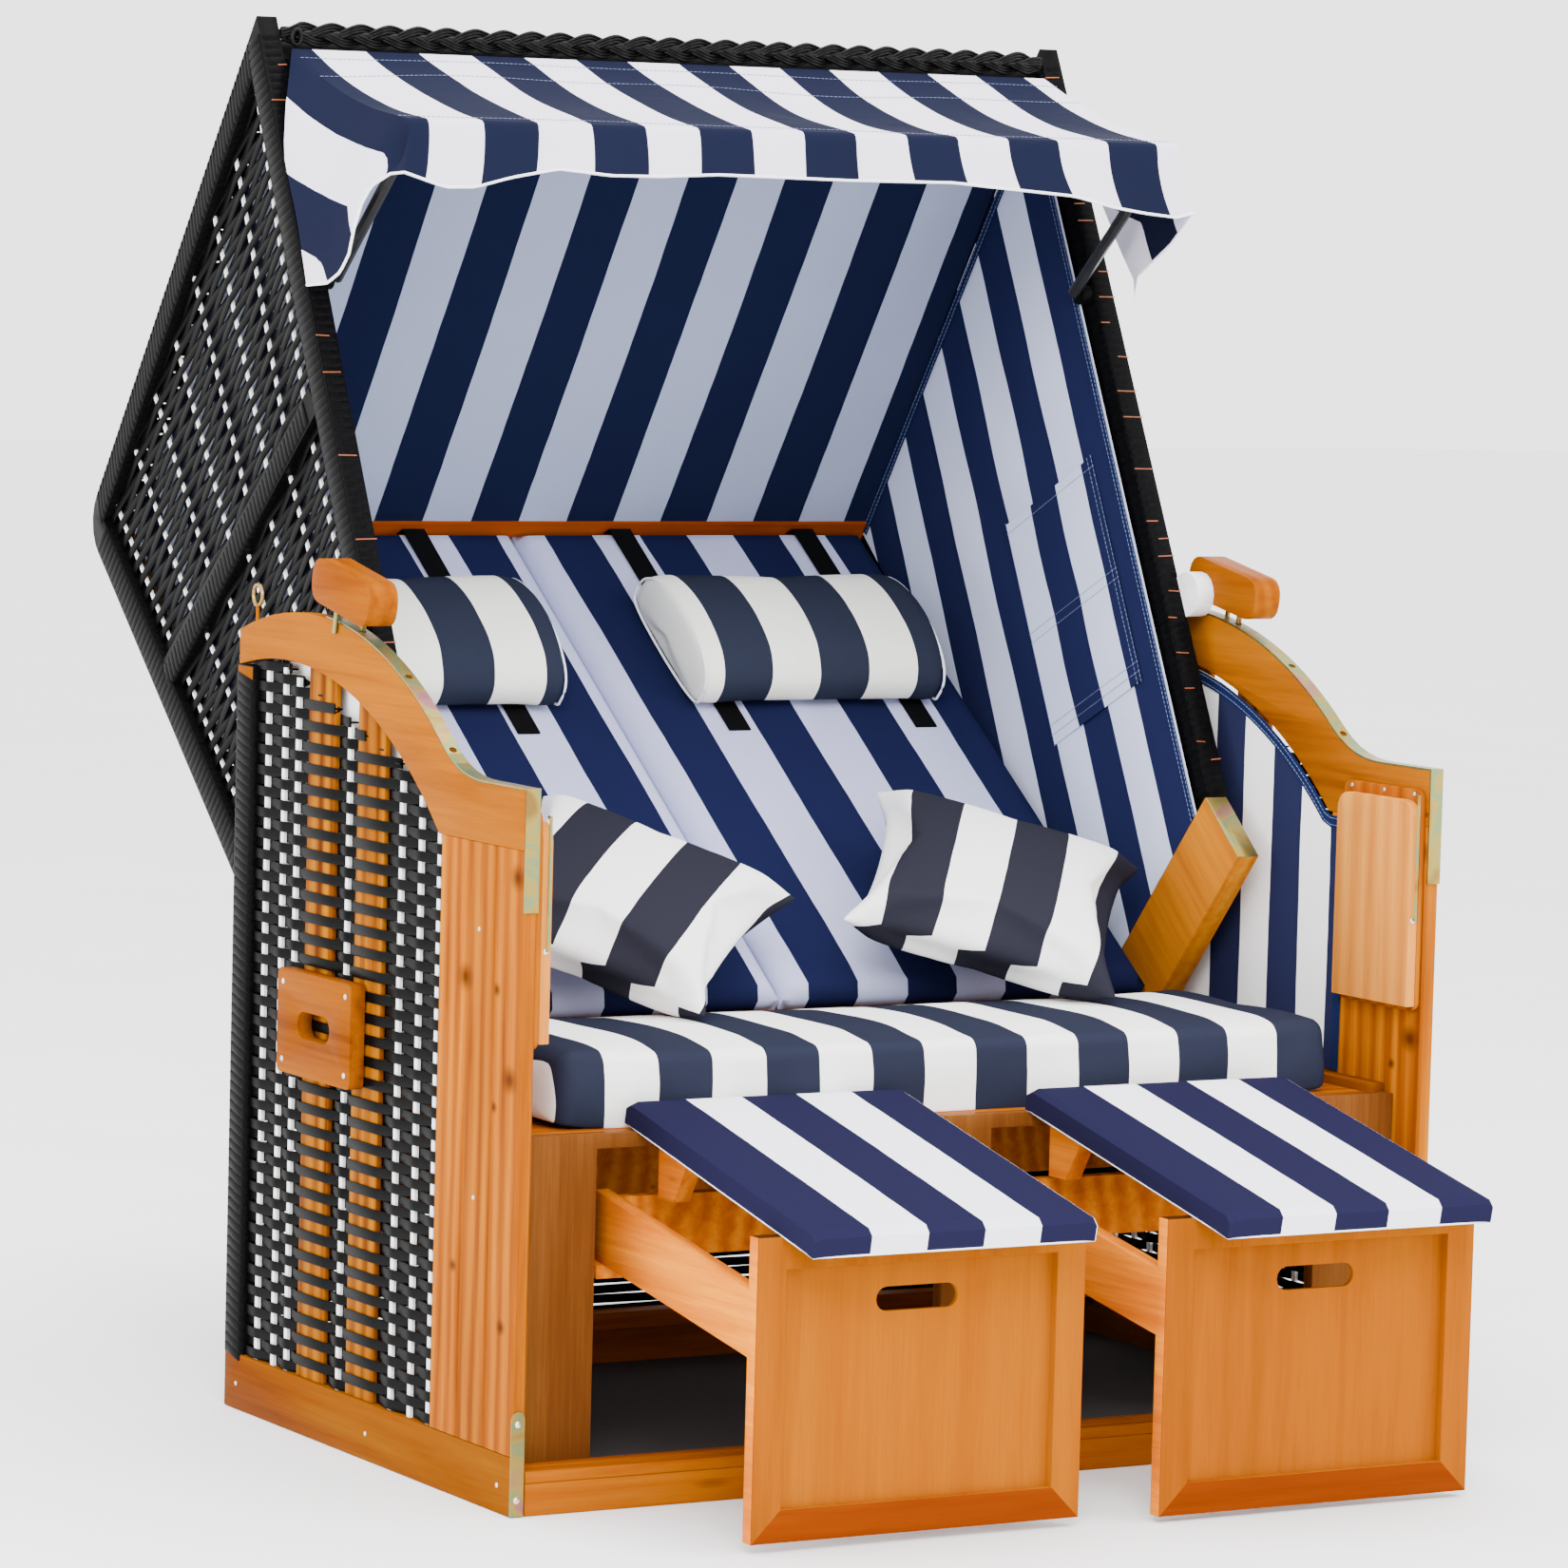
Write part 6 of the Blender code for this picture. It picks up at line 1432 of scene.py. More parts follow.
def front_line(p: float, inset: float = 0.0) -> float:
    """Distance q of the front bar's front edge at p, moved in by an inset."""
    return 0.365 + (p - 0.101) * FRONT_RISE - inset * math.hypot(1.0, FRONT_RISE)


def roof_line(q: float, inset: float = 0.0) -> float:
    """Place p of the roof's outer edge at q, moved in by an inset."""
    return 0.942 + (q + 0.02) * ROOF_LEAN - inset


@dataclass
class HoodSides:
    """The wrapped side frames of the hood with their woven fields.

    A place on a field is measured along the strands and across them. The lay is the strands' own
    direction on the hood.
    """

    bar_middle: float = 0.531
    weave_middle: float = 0.5322
    bar_thickness: float = 0.028
    lay: tuple[float, float] = (-0.13, 0.9915)
    pitch: float = 0.011
    mid_row: float = 0.6465
    mid_half: float = 0.017
    top_row: float = 1.06
    foot_p: float = 0.085
    band: float = 0.0107
    stake_size: tuple[float, float] = (0.0042, 0.0032)
    slit_run: tuple[float, float] = (0.13, 0.96)

    def in_rows(self, p: float, q: float) -> tuple[float, float]:
        """Place along a strand and across strands of a place of the hood."""
        a, b = self.lay
        return (a * p + b * q, b * p - a * q)

    def build(self, shop: Workshop) -> None:
        """Build both side frames and their fields."""
        for side in Side:
            self.fields(shop, side)
            self.bars(shop, side)
            self.slits(shop, side)
            self.foot(shop, side)
            LOG.info("hood side %s dressed", side.word)

    def fan(self, low: tuple[float, float, float], high: tuple[float, float, float],
            count: int) -> list[tuple[float, float, float, float]]:
        """Spread stakes between two lines of the hood.

        Args:
            low: The lower line's place p and its first and last q.
            high: The same of the upper line.
            count: Number of stakes.

        Returns:
            The stakes as uprights of the rows.
        """
        result = []
        for i in range(count):
            share = (i + 0.5) / count
            x0, y0 = self.in_rows(low[0], low[1] + (low[2] - low[1]) * share)
            x1, y1 = self.in_rows(high[0], high[1] + (high[2] - high[1]) * share)
            slant = (x1 - x0) / (y1 - y0)
            result.append((x0 - slant * y0, slant, 0.0052, 0.0031))
        return result

    def fields(self, shop: Workshop, side: Side) -> None:
        """Weave the field above the mid bar and the one below it.

        The trimming lines are the hood's rear, front, roof and foot lines, turned into the rows'
        own places.

        Args:
            shop: The workshop.
            side: Which side.
        """
        a, b = self.lay
        rear = (0.0, a / b)
        reach = b - FRONT_RISE * a
        front = (front_line(0.0, 0.02) / reach, (FRONT_RISE * b + a) / reach)
        roof_at, roof_run = roof_line(0.0, 0.016), ROOF_LEAN * b - a
        roof = (-roof_at / roof_run, (b + ROOF_LEAN * a) / roof_run)
        foot = (self.foot_p / a, -b / a)
        along, across = hood_direction(a, b), hood_direction(b, -a)
        place = axes_at(along, across, along.cross(across),
                        hood_place(side.value * self.weave_middle, 0.0, 0.0))
        first = self.mid_row + self.mid_half + self.pitch * 0.5
        low_start = self.in_rows(self.foot_p, 0.0)[1] - 0.03
        low_rows = int((self.mid_row - self.mid_half - low_start) / self.pitch)
        last = self.mid_row - self.mid_half - self.pitch * (low_rows - 0.5)
        upper = WovenField(f"hood_upper_strands_{side.word}", "hood", place,
                           int((self.top_row - first) / self.pitch), self.pitch, first,
                           self.fan((0.62, 0.0, 0.53), (0.965, 0.0, 0.715), 8), [rear, roof], [front],
                           self.band, flip=side.value)
        lower = WovenField(f"hood_lower_strands_{side.word}", "hood", place, low_rows, self.pitch, last,
                           self.fan((0.085, 0.0, 0.335), (0.62, 0.0, 0.53), 7), [rear], [front, foot],
                           self.band, flip=side.value)
        for cloth in (upper, lower):
            cloth.weave(shop, f"hood_weave_{side.word}")
        upper.stakes(shop, f"hood_upper_stakes_{side.word}", lambda at, slant: self.mid_row,
                     lambda at, slant: (roof_at + roof_run * at) / (b + ROOF_LEAN * a - roof_run * slant),
                     *self.stake_size)
        lower.stakes(shop, f"hood_lower_stakes_{side.word}",
                     lambda at, slant: (self.foot_p - 0.01 - a * at) / (b + a * slant),
                     lambda at, slant: self.mid_row, *self.stake_size)

    def bars(self, shop: Workshop, side: Side) -> None:
        """Show the side frame, its white spacer disc, and the strand wound on its bars.

        Args:
            shop: The workshop.
            side: Which side.
        """
        core = shop.eased(f"hood_frame_{side.word}", shop.stock.wrap, "hood", "black_resin", 0.0052)
        core.data.materials.append(shop.stock.white_plastic)
        for vertex in core.data.vertices:
            if 0.5168 <= abs(vertex.co.x) <= 0.5452:
                vertex.co.x -= 0.0012 * math.copysign(1, abs(vertex.co.x) - self.bar_middle) * side.value
        for face in core.data.polygons:
            by_disc = math.hypot(face.center.y - 0.475, face.center.z - 0.95) < 0.03
            if abs(face.center.x) > (0.5425 if by_disc else 0.5455):
                face.material_index = 1
        x = side.value * self.bar_middle
        runs = {"rear": ((-0.012, 0.0), (0.905, 0.0), 0.041, 0.02),
                "front": ((0.106, front_line(0.106, 0.02)), (0.99, front_line(0.99, 0.02)), 0.041, 0.05),
                "roof": ((roof_line(0.03, 0.018), 0.03), (roof_line(0.71, 0.018), 0.71), 0.037, 0.55),
                "middle": ((0.648, 0.02), (0.585, 0.51), 0.0345, 0.12)}
        for name, (start, end, depth, slant) in runs.items():
            shop.wind(f"hood_{name}_wrap_{side.word}", hood_place(x, *start), hood_place(x, *end),
                      self.bar_thickness + 0.0006, depth, "hood", slant=slant)

    def slits(self, shop: Workshop, side: Side) -> None:
        """Show the thin slits of willow between the turns on the front bar.

        Args:
            shop: The workshop.
            side: Which side.
        """
        x = side.value * self.bar_middle
        draw = random.Random(SEED + side.value)
        form = Form()
        p, end = self.slit_run
        while p < end:
            wide = draw.uniform(0.35, 1.0) * self.bar_thickness
            start = x + side.value * (self.bar_thickness - wide) / 2 * draw.choice((-1, 1))
            rise = draw.uniform(-0.0008, 0.0008)
            form.bar(hood_place(start - wide / 2, p + rise, front_line(p, -0.0007)),
                     hood_place(start + wide / 2, p - rise, front_line(p, -0.0007)),
                     hood_direction(1.0, FRONT_RISE), 0.0013, 0.0006)
            p += 0.0105 * draw.choice((2, 3, 3, 4, 6) if side is Side.RIGHT else (4, 7, 9))
        settle(new_object(f"hood_core_slits_{side.word}", form.mesh("slits"), shop.stock.core), "hood", "pine")

    def foot(self, shop: Workshop, side: Side) -> None:
        """Show the foot board, with zinc on its bent steel strap.

        Args:
            shop: The workshop.
            side: Which side.
        """
        board = shop.eased(f"hood_foot_board_{side.word}", shop.stock.foot, "hood", "pine")
        board.data.materials.append(shop.stock.zinc)
        for face in board.data.polygons:
            dy, dz = face.center.y - PIVOT_Y, face.center.z - PIVOT_Z
            p = dy * math.cos(LEAN) + dz * math.sin(LEAN)
            q = -dy * math.sin(LEAN) + dz * math.cos(LEAN)
            if q > front_line(max(p, 0.085), -0.0002) or (q > 0.3604 and p < 0.1):
                face.material_index = 1


@dataclass
class HoodShell:
    """Woven roof and back of the hood, the plait along its top bar and the bar behind that."""

    half: float = 0.5162
    pitch: float = 0.012
    stakes: int = 15
    skin_inset: float = 0.0066
    back_q: float = -0.0139
    plait_half: float = 0.5155
    plait_pitch: float = 0.112
    plait_at: tuple[float, float] = (0.7962, 1.5836)
    cord: float = 0.0023

    def build(self, shop: Workshop) -> None:
        """Weave the roof and the back, wrap the bars and plait the braid.

        Args:
            shop: The workshop.
        """
        top, knee = ((roof_line(q, self.skin_inset), q) for q in (0.716, -0.006))
        self.skin(shop, "roof", top, knee)
        self.skin(shop, "back", (0.935, self.back_q), (0.024, self.back_q))
        form = Form()
        for p, q, width in ((roof_line(0.7035, 0.027), 0.7035, 0.031), (0.905, 0.003, 0.02)):
            form.bar(*(hood_place(x, p, q) for x in (-self.half, self.half)), hood_direction(0.0, 1.0), width,
                     0.031)
        settle(new_object("hood_cross_bars", form.mesh("bars"), shop.stock.wrap), "hood", "black_resin")
        self.braid(shop)
        LOG.info("hood shell dressed")

    def skin(self, shop: Workshop, name: str, start: tuple[float, float], end: tuple[float, float]) -> None:
        """Weave one skin between two places of the hood.

        Args:
            shop: The workshop.
            name: Short name of the skin.
            start: Place (p, q) of the first row.
            end: Place (p, q) of the last row.
        """
        low, high = hood_place(0.0, *start), hood_place(0.0, *end)
        run = (high - low).normalized()
        gap = 2 * self.half / (self.stakes + 1)
        uprights = [(-self.half + gap * (i + 1), 0.0, 0.009, 0.003) for i in range(self.stakes)]
        WovenField(f"hood_{name}_strands", "hood", axes_at(X_AXIS, run, X_AXIS.cross(run), low),
                   int((high - low).length / self.pitch), self.pitch, self.pitch / 2, uprights,
                   [(-self.half, 0.0)], [(self.half, 0.0)]).weave(shop, f"{name}_weave")
        ribs = Form()
        for x, *_ in uprights:
            ribs.bar(X_AXIS * x + low, X_AXIS * x + high, X_AXIS, 0.009, 0.0036)
        settle(new_object(f"hood_{name}_ribs", ribs.mesh("ribs"), shop.stock.pine_rib), "hood", "pine")

    def braid(self, shop: Workshop) -> None:
        """Plait three strands of three cords each along the front of the top bar, with an end loop.

        Args:
            shop: The workshop.
        """
        form = Form()
        count = 460
        y, z = self.plait_at
        for strand in range(3):
            for twin in (-1, 0, 1):
                path = []
                for i, x in enumerate(steps(count, -self.plait_half, self.plait_half)):
                    angle = 2 * math.pi * ((x + self.plait_half) / self.plait_pitch + strand / 3)
                    fade = min(1.0, (i + 4) / 14, (count - i + 4) / 14)
                    path.append(Vector((x, y - 0.0042 * math.sin(2 * angle) * fade,
                                        z + 0.0092 * math.sin(angle) * fade + twin * 0.0034)))
                form.tube(path, self.cord, 7)
        form.tube([Vector((x, y + 0.004, z)) for x in (-self.plait_half, self.plait_half)], 0.0075, flat=0.8)
        loop = [Vector((-0.5 + 0.006 * math.cos(t), y - 0.008, z - 0.004 + 0.009 * math.sin(t)))
                for t in (2 * math.pi * i / 20 for i in range(20))]
        form.tube(loop, 0.0026, 7, closed=True, up=Y_AXIS)
        mesh = form.mesh("braid")
        smooth(mesh, 60.0)
        settle(new_object("top_plait", mesh, shop.stock.cord), "hood", "black_resin", "top_braid")


@dataclass
class HoodLining:
    """Striped lining of the hood: roof, sides and the pocket on the right."""

    x: float = 0.5133
    low_p: float = 0.0865
    roof_half: float = 0.5105
    rear_q: float = 0.024
    front_q: float = 0.69
    rear_drop: float = 0.062
    front_drop: float = 0.031
    pocket_run: tuple[float, float] = (0.398, 0.691)
    pocket_across: tuple[float, float] = (0.012, 0.225)

    def build(self, shop: Workshop) -> None:
        """Hang the three sheets.

        Args:
            shop: The workshop.
        """
        self.roof(shop)
        for side in Side:
            self.side(shop, side)
        LOG.info("hood lining dressed")

    def hang(self, shop: Workshop, name: str, columns: list[list[Vector]],
             finish: bpy.types.Material) -> tuple[bpy.types.Object, float]:
        """Hang one sheet of the lining.

        Args:
            shop: The workshop. Not used.
            name: Name of the piece.
            columns: Its places, column by column.
            finish: Its cloth.

        Returns:
            The sheet and its area.
        """
        mesh = sheet_grid(columns)
        sheet = new_object(name, mesh, finish)
        area = area_of(mesh)
        thicken(sheet, 0.001)
        return settle(sheet, "hood", "lining_fabric", "hood_liner"), area

    def roof(self, shop: Workshop) -> None:
        """Hang the roof's sheet, a little slack between its bars.

        Args:
            shop: The workshop.
        """
        columns = []
        for x in steps(72, -self.roof_half, self.roof_half):
            column = []
            for share in steps(40):
                q = self.rear_q + (self.front_q - self.rear_q) * share
                drop = self.rear_drop + (self.front_drop - self.rear_drop) * share
                sag = 0.004 * math.sin(math.pi * share) * (1 - (x / 0.52) ** 4)
                ripple = 0.0012 * math.sin(x * 41 + 2.2 * math.sin(q * 6)) * math.sin(math.pi * share)
                column.append(hood_place(x, roof_line(q, drop + sag) + ripple, q))
            columns.append(column)
        sheet, area = self.hang(shop, "roof_lining", columns, shop.stock.roof)

    def side(self, shop: Workshop, side: Side) -> None:
        """Hang one side's sheet, with its tape, seams and stitches.

        Args:
            shop: The workshop.
            side: Which side.
        """
        x = side.value * self.x
        columns = []
        for share in steps(60):
            column = []
            for up in steps(44):
                rear_p = self.low_p + (roof_line(self.rear_q, self.rear_drop) - self.low_p) * up
                front_p = self.low_p + (roof_line(self.front_q, 0.034) - self.low_p) * up
                place = Vector((rear_p, self.rear_q)).lerp(Vector((front_p, front_line(front_p, 0.026))), share)
                wave = 0.0016 * math.sin(place.y * 46 + 1.5 * math.sin(place.x * 7 + side.value))
                wave *= math.sin(math.pi * share) * math.sin(math.pi * up)
                column.append(hood_place(x - side.value * (0.0016 + wave), place.x, place.y))
            columns.append(column)
        sheet, area = self.hang(shop, f"side_lining_{side.word}", columns, shop.stock.side)
        inner = x - side.value * 0.0042
        front_edge = [hood_place(inner, p, front_line(p, 0.032)) for p in steps(24, self.low_p, 0.95)]
        roof_edge = [hood_place(inner, roof_line(q, 0.069 - 0.03 * q), q) for q in steps(24, 0.03, 0.69)]
        form = Form()
        lines = []
        for edge, width, across in ((front_edge, 0.009, hood_direction(0.0, 1.0)),
                                    (roof_edge, 0.012, hood_direction(1.0, 0.0))):
            form.ribbon(edge, side.out, width, 0.0008)
            lines += [[place - side.out * 0.0007 + across * d for place in edge] for d in (-0.0035, 0.0035)]
        pieces = [settle(new_object(f"side_tape_{side.word}", form.mesh("tape"), shop.stock.navy_tape), "hood",
                         "lining_fabric")]
        if side is Side.RIGHT:
            lines += self.pocket(shop, x, pieces)
        shop.sew(f"side_stitches_{side.word}", lines, "hood")

    def pocket(self, shop: Workshop, x: float, pieces: list[bpy.types.Object]) -> list[list[Vector]]:
        """Sew the pocket panel on the right side.

        Args:
            shop: The workshop.
            x: Where the side's sheet hangs.
            pieces: List that gets the panel.

        Returns:
            The lines of stitches round its pockets.
        """
        run = Vector((1.0, FRONT_RISE)).normalized()
        columns = []
        for share, across in zip(steps(24), steps(24, *self.pocket_across)):
            column = []
            for up, along in zip(steps(24), steps(24, *self.pocket_run)):
                bulge = 0.0022 * math.sin(math.pi * share) * abs(math.sin(2 * math.pi * up))
                column.append(hood_place(x - 0.0046 - bulge, along * run.x - across * run.y,
                                         along * run.y + across * run.x))
            columns.append(column)
        panel = new_object("pocket_panel", sheet_grid(columns), shop.stock.pocket)
        thicken(panel, 0.0012)
        pieces.append(settle(panel, "hood", "lining_fabric"))
        proud = X_AXIS * -0.0009
        return [[column[j] + proud for column in columns] for j in (1, 2, 11, 12, 23)] \
            + [[place + proud for place in columns[i]] for i in (0, 23, 24)]


def capped(rings: Sequence[Sequence[Vector]]) -> list[list[Vector]]:
    """Add smaller rings inside both ends of a cover, so that the end panels have even faces too.

    Args:
        rings: The cover's own rings.

    Returns:
        All the rings, from end to end.
    """
    ends = []
    for ring in (rings[0], rings[-1]):
        middle = sum(ring, Vector()) / len(ring)
        ends.append([[middle + (place - middle) * share for place in ring] for share in (0.06, 0.3, 0.55, 0.8)])
    return ends[0] + [list(ring) for ring in rings] + ends[1][::-1]


def swell(cover: bpy.types.Mesh, cap: float, pressure: float, frames: int, slack: float) -> bpy.types.Mesh:
    """Swell a closed cover as its stuffing does, with a cloth simulation, and keep the result.

    Args:
        cover: The cover, a little smaller than the cushion.
        cap: Furthest that a point may move.
        pressure: Pressure of the stuffing.
        frames: Steps of the simulation.
        slack: Share by which the cloth is larger than the form.

    Returns: The swollen cover with one subdivision.
    """
    holder = new_object("cover_blank", cover)
    before = np.empty(len(cover.vertices) * 3)
    cover.vertices.foreach_get("co", before)
    cloth = holder.modifiers.new("stuffing", "CLOTH")
    cloth.settings.use_pressure = True
    cloth.settings.uniform_pressure_force = pressure
    cloth.settings.quality = 5
    cloth.settings.shrink_min = -slack
    cloth.settings.effector_weights.gravity = 0.0
    cloth.point_cache.frame_start = 1
    cloth.point_cache.frame_end = frames
    for frame in range(1, frames + 1):
        bpy.context.scene.frame_set(frame)
        bpy.context.view_layer.update()
    after = np.empty_like(before)
    evaluated_mesh(holder).vertices.foreach_get("co", after)
    bpy.context.scene.frame_set(1)
    holder.modifiers.clear()
    move = (after - before).reshape(-1, 3)
    length = np.linalg.norm(move, axis=1, keepdims=True)
    LOG.info("cover moved by up to %.1f mm", 1000 * float(length.max()))
    move = move * np.minimum(1.0, cap / np.maximum(length, 1e-9))
    cover.vertices.foreach_set("co", (before.reshape(-1, 3) + move).ravel())
    cover.update()
    result = modified(holder, "SUBSURF", levels=1)
    bpy.data.objects.remove(holder, do_unlink=True)
    for face in result.polygons:
        face.use_smooth = True
    return result


def back_to_back(across: int, along_it: int) -> list[tuple[int, ...]]:
    """Faces of two sheets of places that lie back to back.

    Args:
        across: Faces across each sheet.
        along_it: Faces along it.

    Returns:
        The faces; the second sheet's look the other way.
    """
    rows = along_it + 1
    shift = (across + 1) * rows
    faces = []
    for i in range(across):
        for j in range(along_it):
            a = i * rows + j
            faces.append((a, a + rows, a + rows + 1, a + 1))
            faces.append((shift + a, shift + a + 1, shift + a + rows + 1, shift + a + rows))
    return faces


@dataclass
class BackCushions:
    """The two back cushions, the rail that holds them, and the neck bolsters on webbing."""

    inner: float = 0.0025
    outer: float = 0.504
    low_p: float = 0.012
    high_p: float = 0.879
    thickness: float = 0.04
    edge_round: float = 0.014
    straps_at: tuple[float, ...] = (0.145, 0.41)
    bolster_ends: tuple[float, float] = (0.0925, 0.4385)
    bolster_run: tuple[float, float] = (0.511, 0.725)
    bolster_core: float = 0.0255
    bolster_crown: float = 0.053

    @staticmethod
    def face(p: float) -> float:
        """Distance q of the cushions' front face."""
        return 0.129 - 0.09 * p / 0.88

    def build(self, shop: Workshop) -> None:
        """Make the cushions, the straps and the bolsters, and show the rail above them.

        Args:
            shop: The workshop.
        """
        for side in Side:
            self.cushion(shop, side)
            self.straps(shop, side)
            self.bolster(shop, side)
            LOG.info("back %s dressed", side.word)
        rail = shop.eased("cushion_rail", shop.stock.rail, "hood", "pine", 0.0015)
        rail.name = "cushion_rail_shown"
        dress("backrest_board", shop.stock.table)

    def cushion(self, shop: Workshop, side: Side) -> None:
        """Make one back cushion, crowned between its sewn edges.

        Args:
            shop: The workshop.
            side: Which side.
        """
        across, up_it = 40, 64
        wide, tall, bend = self.outer - self.inner, self.high_p - self.low_p, self.edge_round
        front, rear = [], []
        for u in steps(across):
            x = side.value * (self.inner + wide * u)
            for v in steps(up_it):
                p = self.low_p + tall * v
                edge = min(min(u, 1 - u) * wide, min(v, 1 - v) * tall)
                drop = bend - math.sqrt(max(0.0, bend ** 2 - max(0.0, bend - edge) ** 2))
                crown = 0.004 * (1 - (2 * u - 1) ** 4) * (1 - (2 * v - 1) ** 8)
                quilt = 0.0012 * math.sin(31 * u + 3 * math.sin(5 * v)) * math.sin(9 * v + 4 * u)
                q = self.face(p) - 0.0045 - drop * 0.95 + crown + (quilt if edge > 0.02 else 0.0)
                back = self.face(p) - self.thickness + min(drop, 0.01) * 0.6
                front.append(hood_place(x, p, q))
                rear.append(hood_place(x, p, min(back, q - 0.002)))
        rows, shift = up_it + 1, len(front)
        faces = back_to_back(across, up_it)
        rim = [i * rows for i in range(across + 1)] + [across * rows + j for j in range(1, rows)]
        rim += [i * rows + up_it for i in range(across - 1, -1, -1)] + list(range(up_it - 1, 0, -1))
        for a, b in zip(rim, rim[1:] + rim[:1]):
            faces.append((a, b, shift + b, shift + a))
        form = Form()
        form.add(front + rear, faces)
        mesh = form.mesh("back_cushion")
        smooth(mesh, 70.0)
        cover = new_object(f"back_cushion_{side.word}_cover", mesh, shop.stock.back)
        settle(cover, "hood", "striped_fabric", f"back_cushion_{side.word}")

    def straps(self, shop: Workshop, side: Side) -> None:
        """Lay the black webbing that holds the bolster.

        Args:
            shop: The workshop.
            side: Which side.
        """
        form = Form()
        for x in (side.value * place for place in self.straps_at):
            path = [hood_place(x, 0.8815, self.face(0.88) - 0.016)]
            path += [hood_place(x, p, self.face(p) + 0.0012)
                     for p in (0.872, 0.85, 0.8, 0.76, 0.735, 0.62, 0.5, 0.486, 0.478)]
            form.ribbon(path, hood_direction(0.0, 1.0), 0.03, 0.0016)
        settle(new_object(f"bolster_straps_{side.word}", form.mesh("straps"), shop.stock.black_tape), "hood",
               "striped_fabric")

    def ring(self, x: float, pull: float, lift: float) -> list[Vector]:
        """Ring of places round a bolster's half round.

        Args:
            x: Its place across.
            pull: Share of the full size that it is drawn in to.
            lift: How far it lies off the cushion.

        Returns:
            The places.
        """
        low, high = self.bolster_run
        places = []
        for t in (2 * math.pi * k / 48 for k in range(48)):
            p = (low + high) / 2 - (high - low) / 2 * math.cos(t) * pull
            rise = math.sin(t)
            if rise >= 0:
                height = self.bolster_core + self.bolster_crown * rise ** 0.85 * pull
            else:
                height = self.bolster_core * (1 - abs(rise) ** 0.35)
            places.append(hood_place(x, p, self.face(p) + lift + height))
        return places

    def bolster(self, shop: Workshop, side: Side) -> None:
        """Make one neck bolster: a soft half round with sewn end panels.

        Args:
            shop: The workshop.
            side: Which side.
        """
        low, high = self.bolster_ends
        form = Form()
        form.sweep(capped([self.ring(side.value * (low + (high - low) * u),
                                     1.0 - pulled(u, high - low, 0.02, 0.035), 0.0042) for u in steps(40)]))
        mesh = swell(form.mesh("bolster"), 0.0045, 3.0, 20, 0.015)
        seams = Form()
        for x in (low + 0.0036, high - 0.0036):
            seams.tube(self.ring(side.value * x, 0.975, 0.0045), 0.0016, 6, closed=True,
                       up=hood_direction(0.0, 1.0))
        settle(new_object(f"bolster_welts_{side.word}", seams.mesh("welts"), shop.stock.white_tape), "hood",
               "striped_fabric")
        cover = new_object(f"neck_bolster_{side.word}_cover", mesh, shop.stock.bolster[side])
        settle(cover, "hood", "striped_fabric", f"neck_bolster_{side.word}")


@dataclass
class SeatCushion:
    """The boxed seat cushion with its end panels."""

    half: float = 0.4985
    longer: float = 0.005
    front: float = 0.0835
    rear: float = 0.4065
    low: float = 0.4012
    high: float = 0.4815
    top_round: float = 0.016
    foot_round: float = 0.006

    def build(self, shop: Workshop) -> None:
        """Make the cushion as a boxed cover with soft seams.

        Args:
            shop: The workshop.
        """
        form = Form()
        form.sweep(capped([self.ring(-self.half + (2 * self.half + self.longer) * u,
                                     pulled(u, 2 * self.half, 0.012, 0.009), u) for u in steps(88)]))
        mesh = swell(form.mesh("seat"), 0.0038, 2.5, 16, 0.01)
        cover = new_object("seat_cushion_cover", mesh, shop.stock.seat)
        settle(cover, "base", "striped_fabric", "seat_cushion")
        LOG.info("seat cushion dressed")

    def ring(self, x: float, pinch: float, u: float) -> list[Vector]:
        """Section of the cushion at one place across the seat.

        Args:
            x: The place.
            pinch: How far the section is drawn in.
            u: Share of the way across.

        Returns:
            The points of the section.
        """
        bend, foot = self.top_round, self.foot_round
        low, high = self.low + pinch * 0.3 + foot, self.high - pinch
        front, rear = self.front + pinch, self.rear - pinch
        points = []
        for y, z, radius, turn in ((rear - bend, high - bend, bend, 0.0), (front + bend, high - bend, bend, 0.5),
                                   (front + foot, low, foot, 1.0), (rear - foot, low, foot, 1.5)):
            for k in range(7):
                t = math.pi * (turn + k / 12)
                points.append((y + radius * math.cos(t), z + radius * math.sin(t)))
            if turn == 0.0:
                for share in steps(12)[1:-1]:
                    crown = 0.0035 * math.sin(math.pi * share)
                    dent = 0.0012 * math.sin(21 * u + 6 * share) * math.sin(math.pi * share)
                    points.append((y + (front - rear + 2 * bend) * share, high + crown + dent))
            elif turn == 0.5:
                points += [(front - 0.0028 * math.sin(math.pi * share) - 0.0012 * math.sin(17 * u + 3 * share),
                            z + (low - z) * share) for share in steps(5)[1:-1]]
        return [Vector((x, y, z)) for y, z in points]


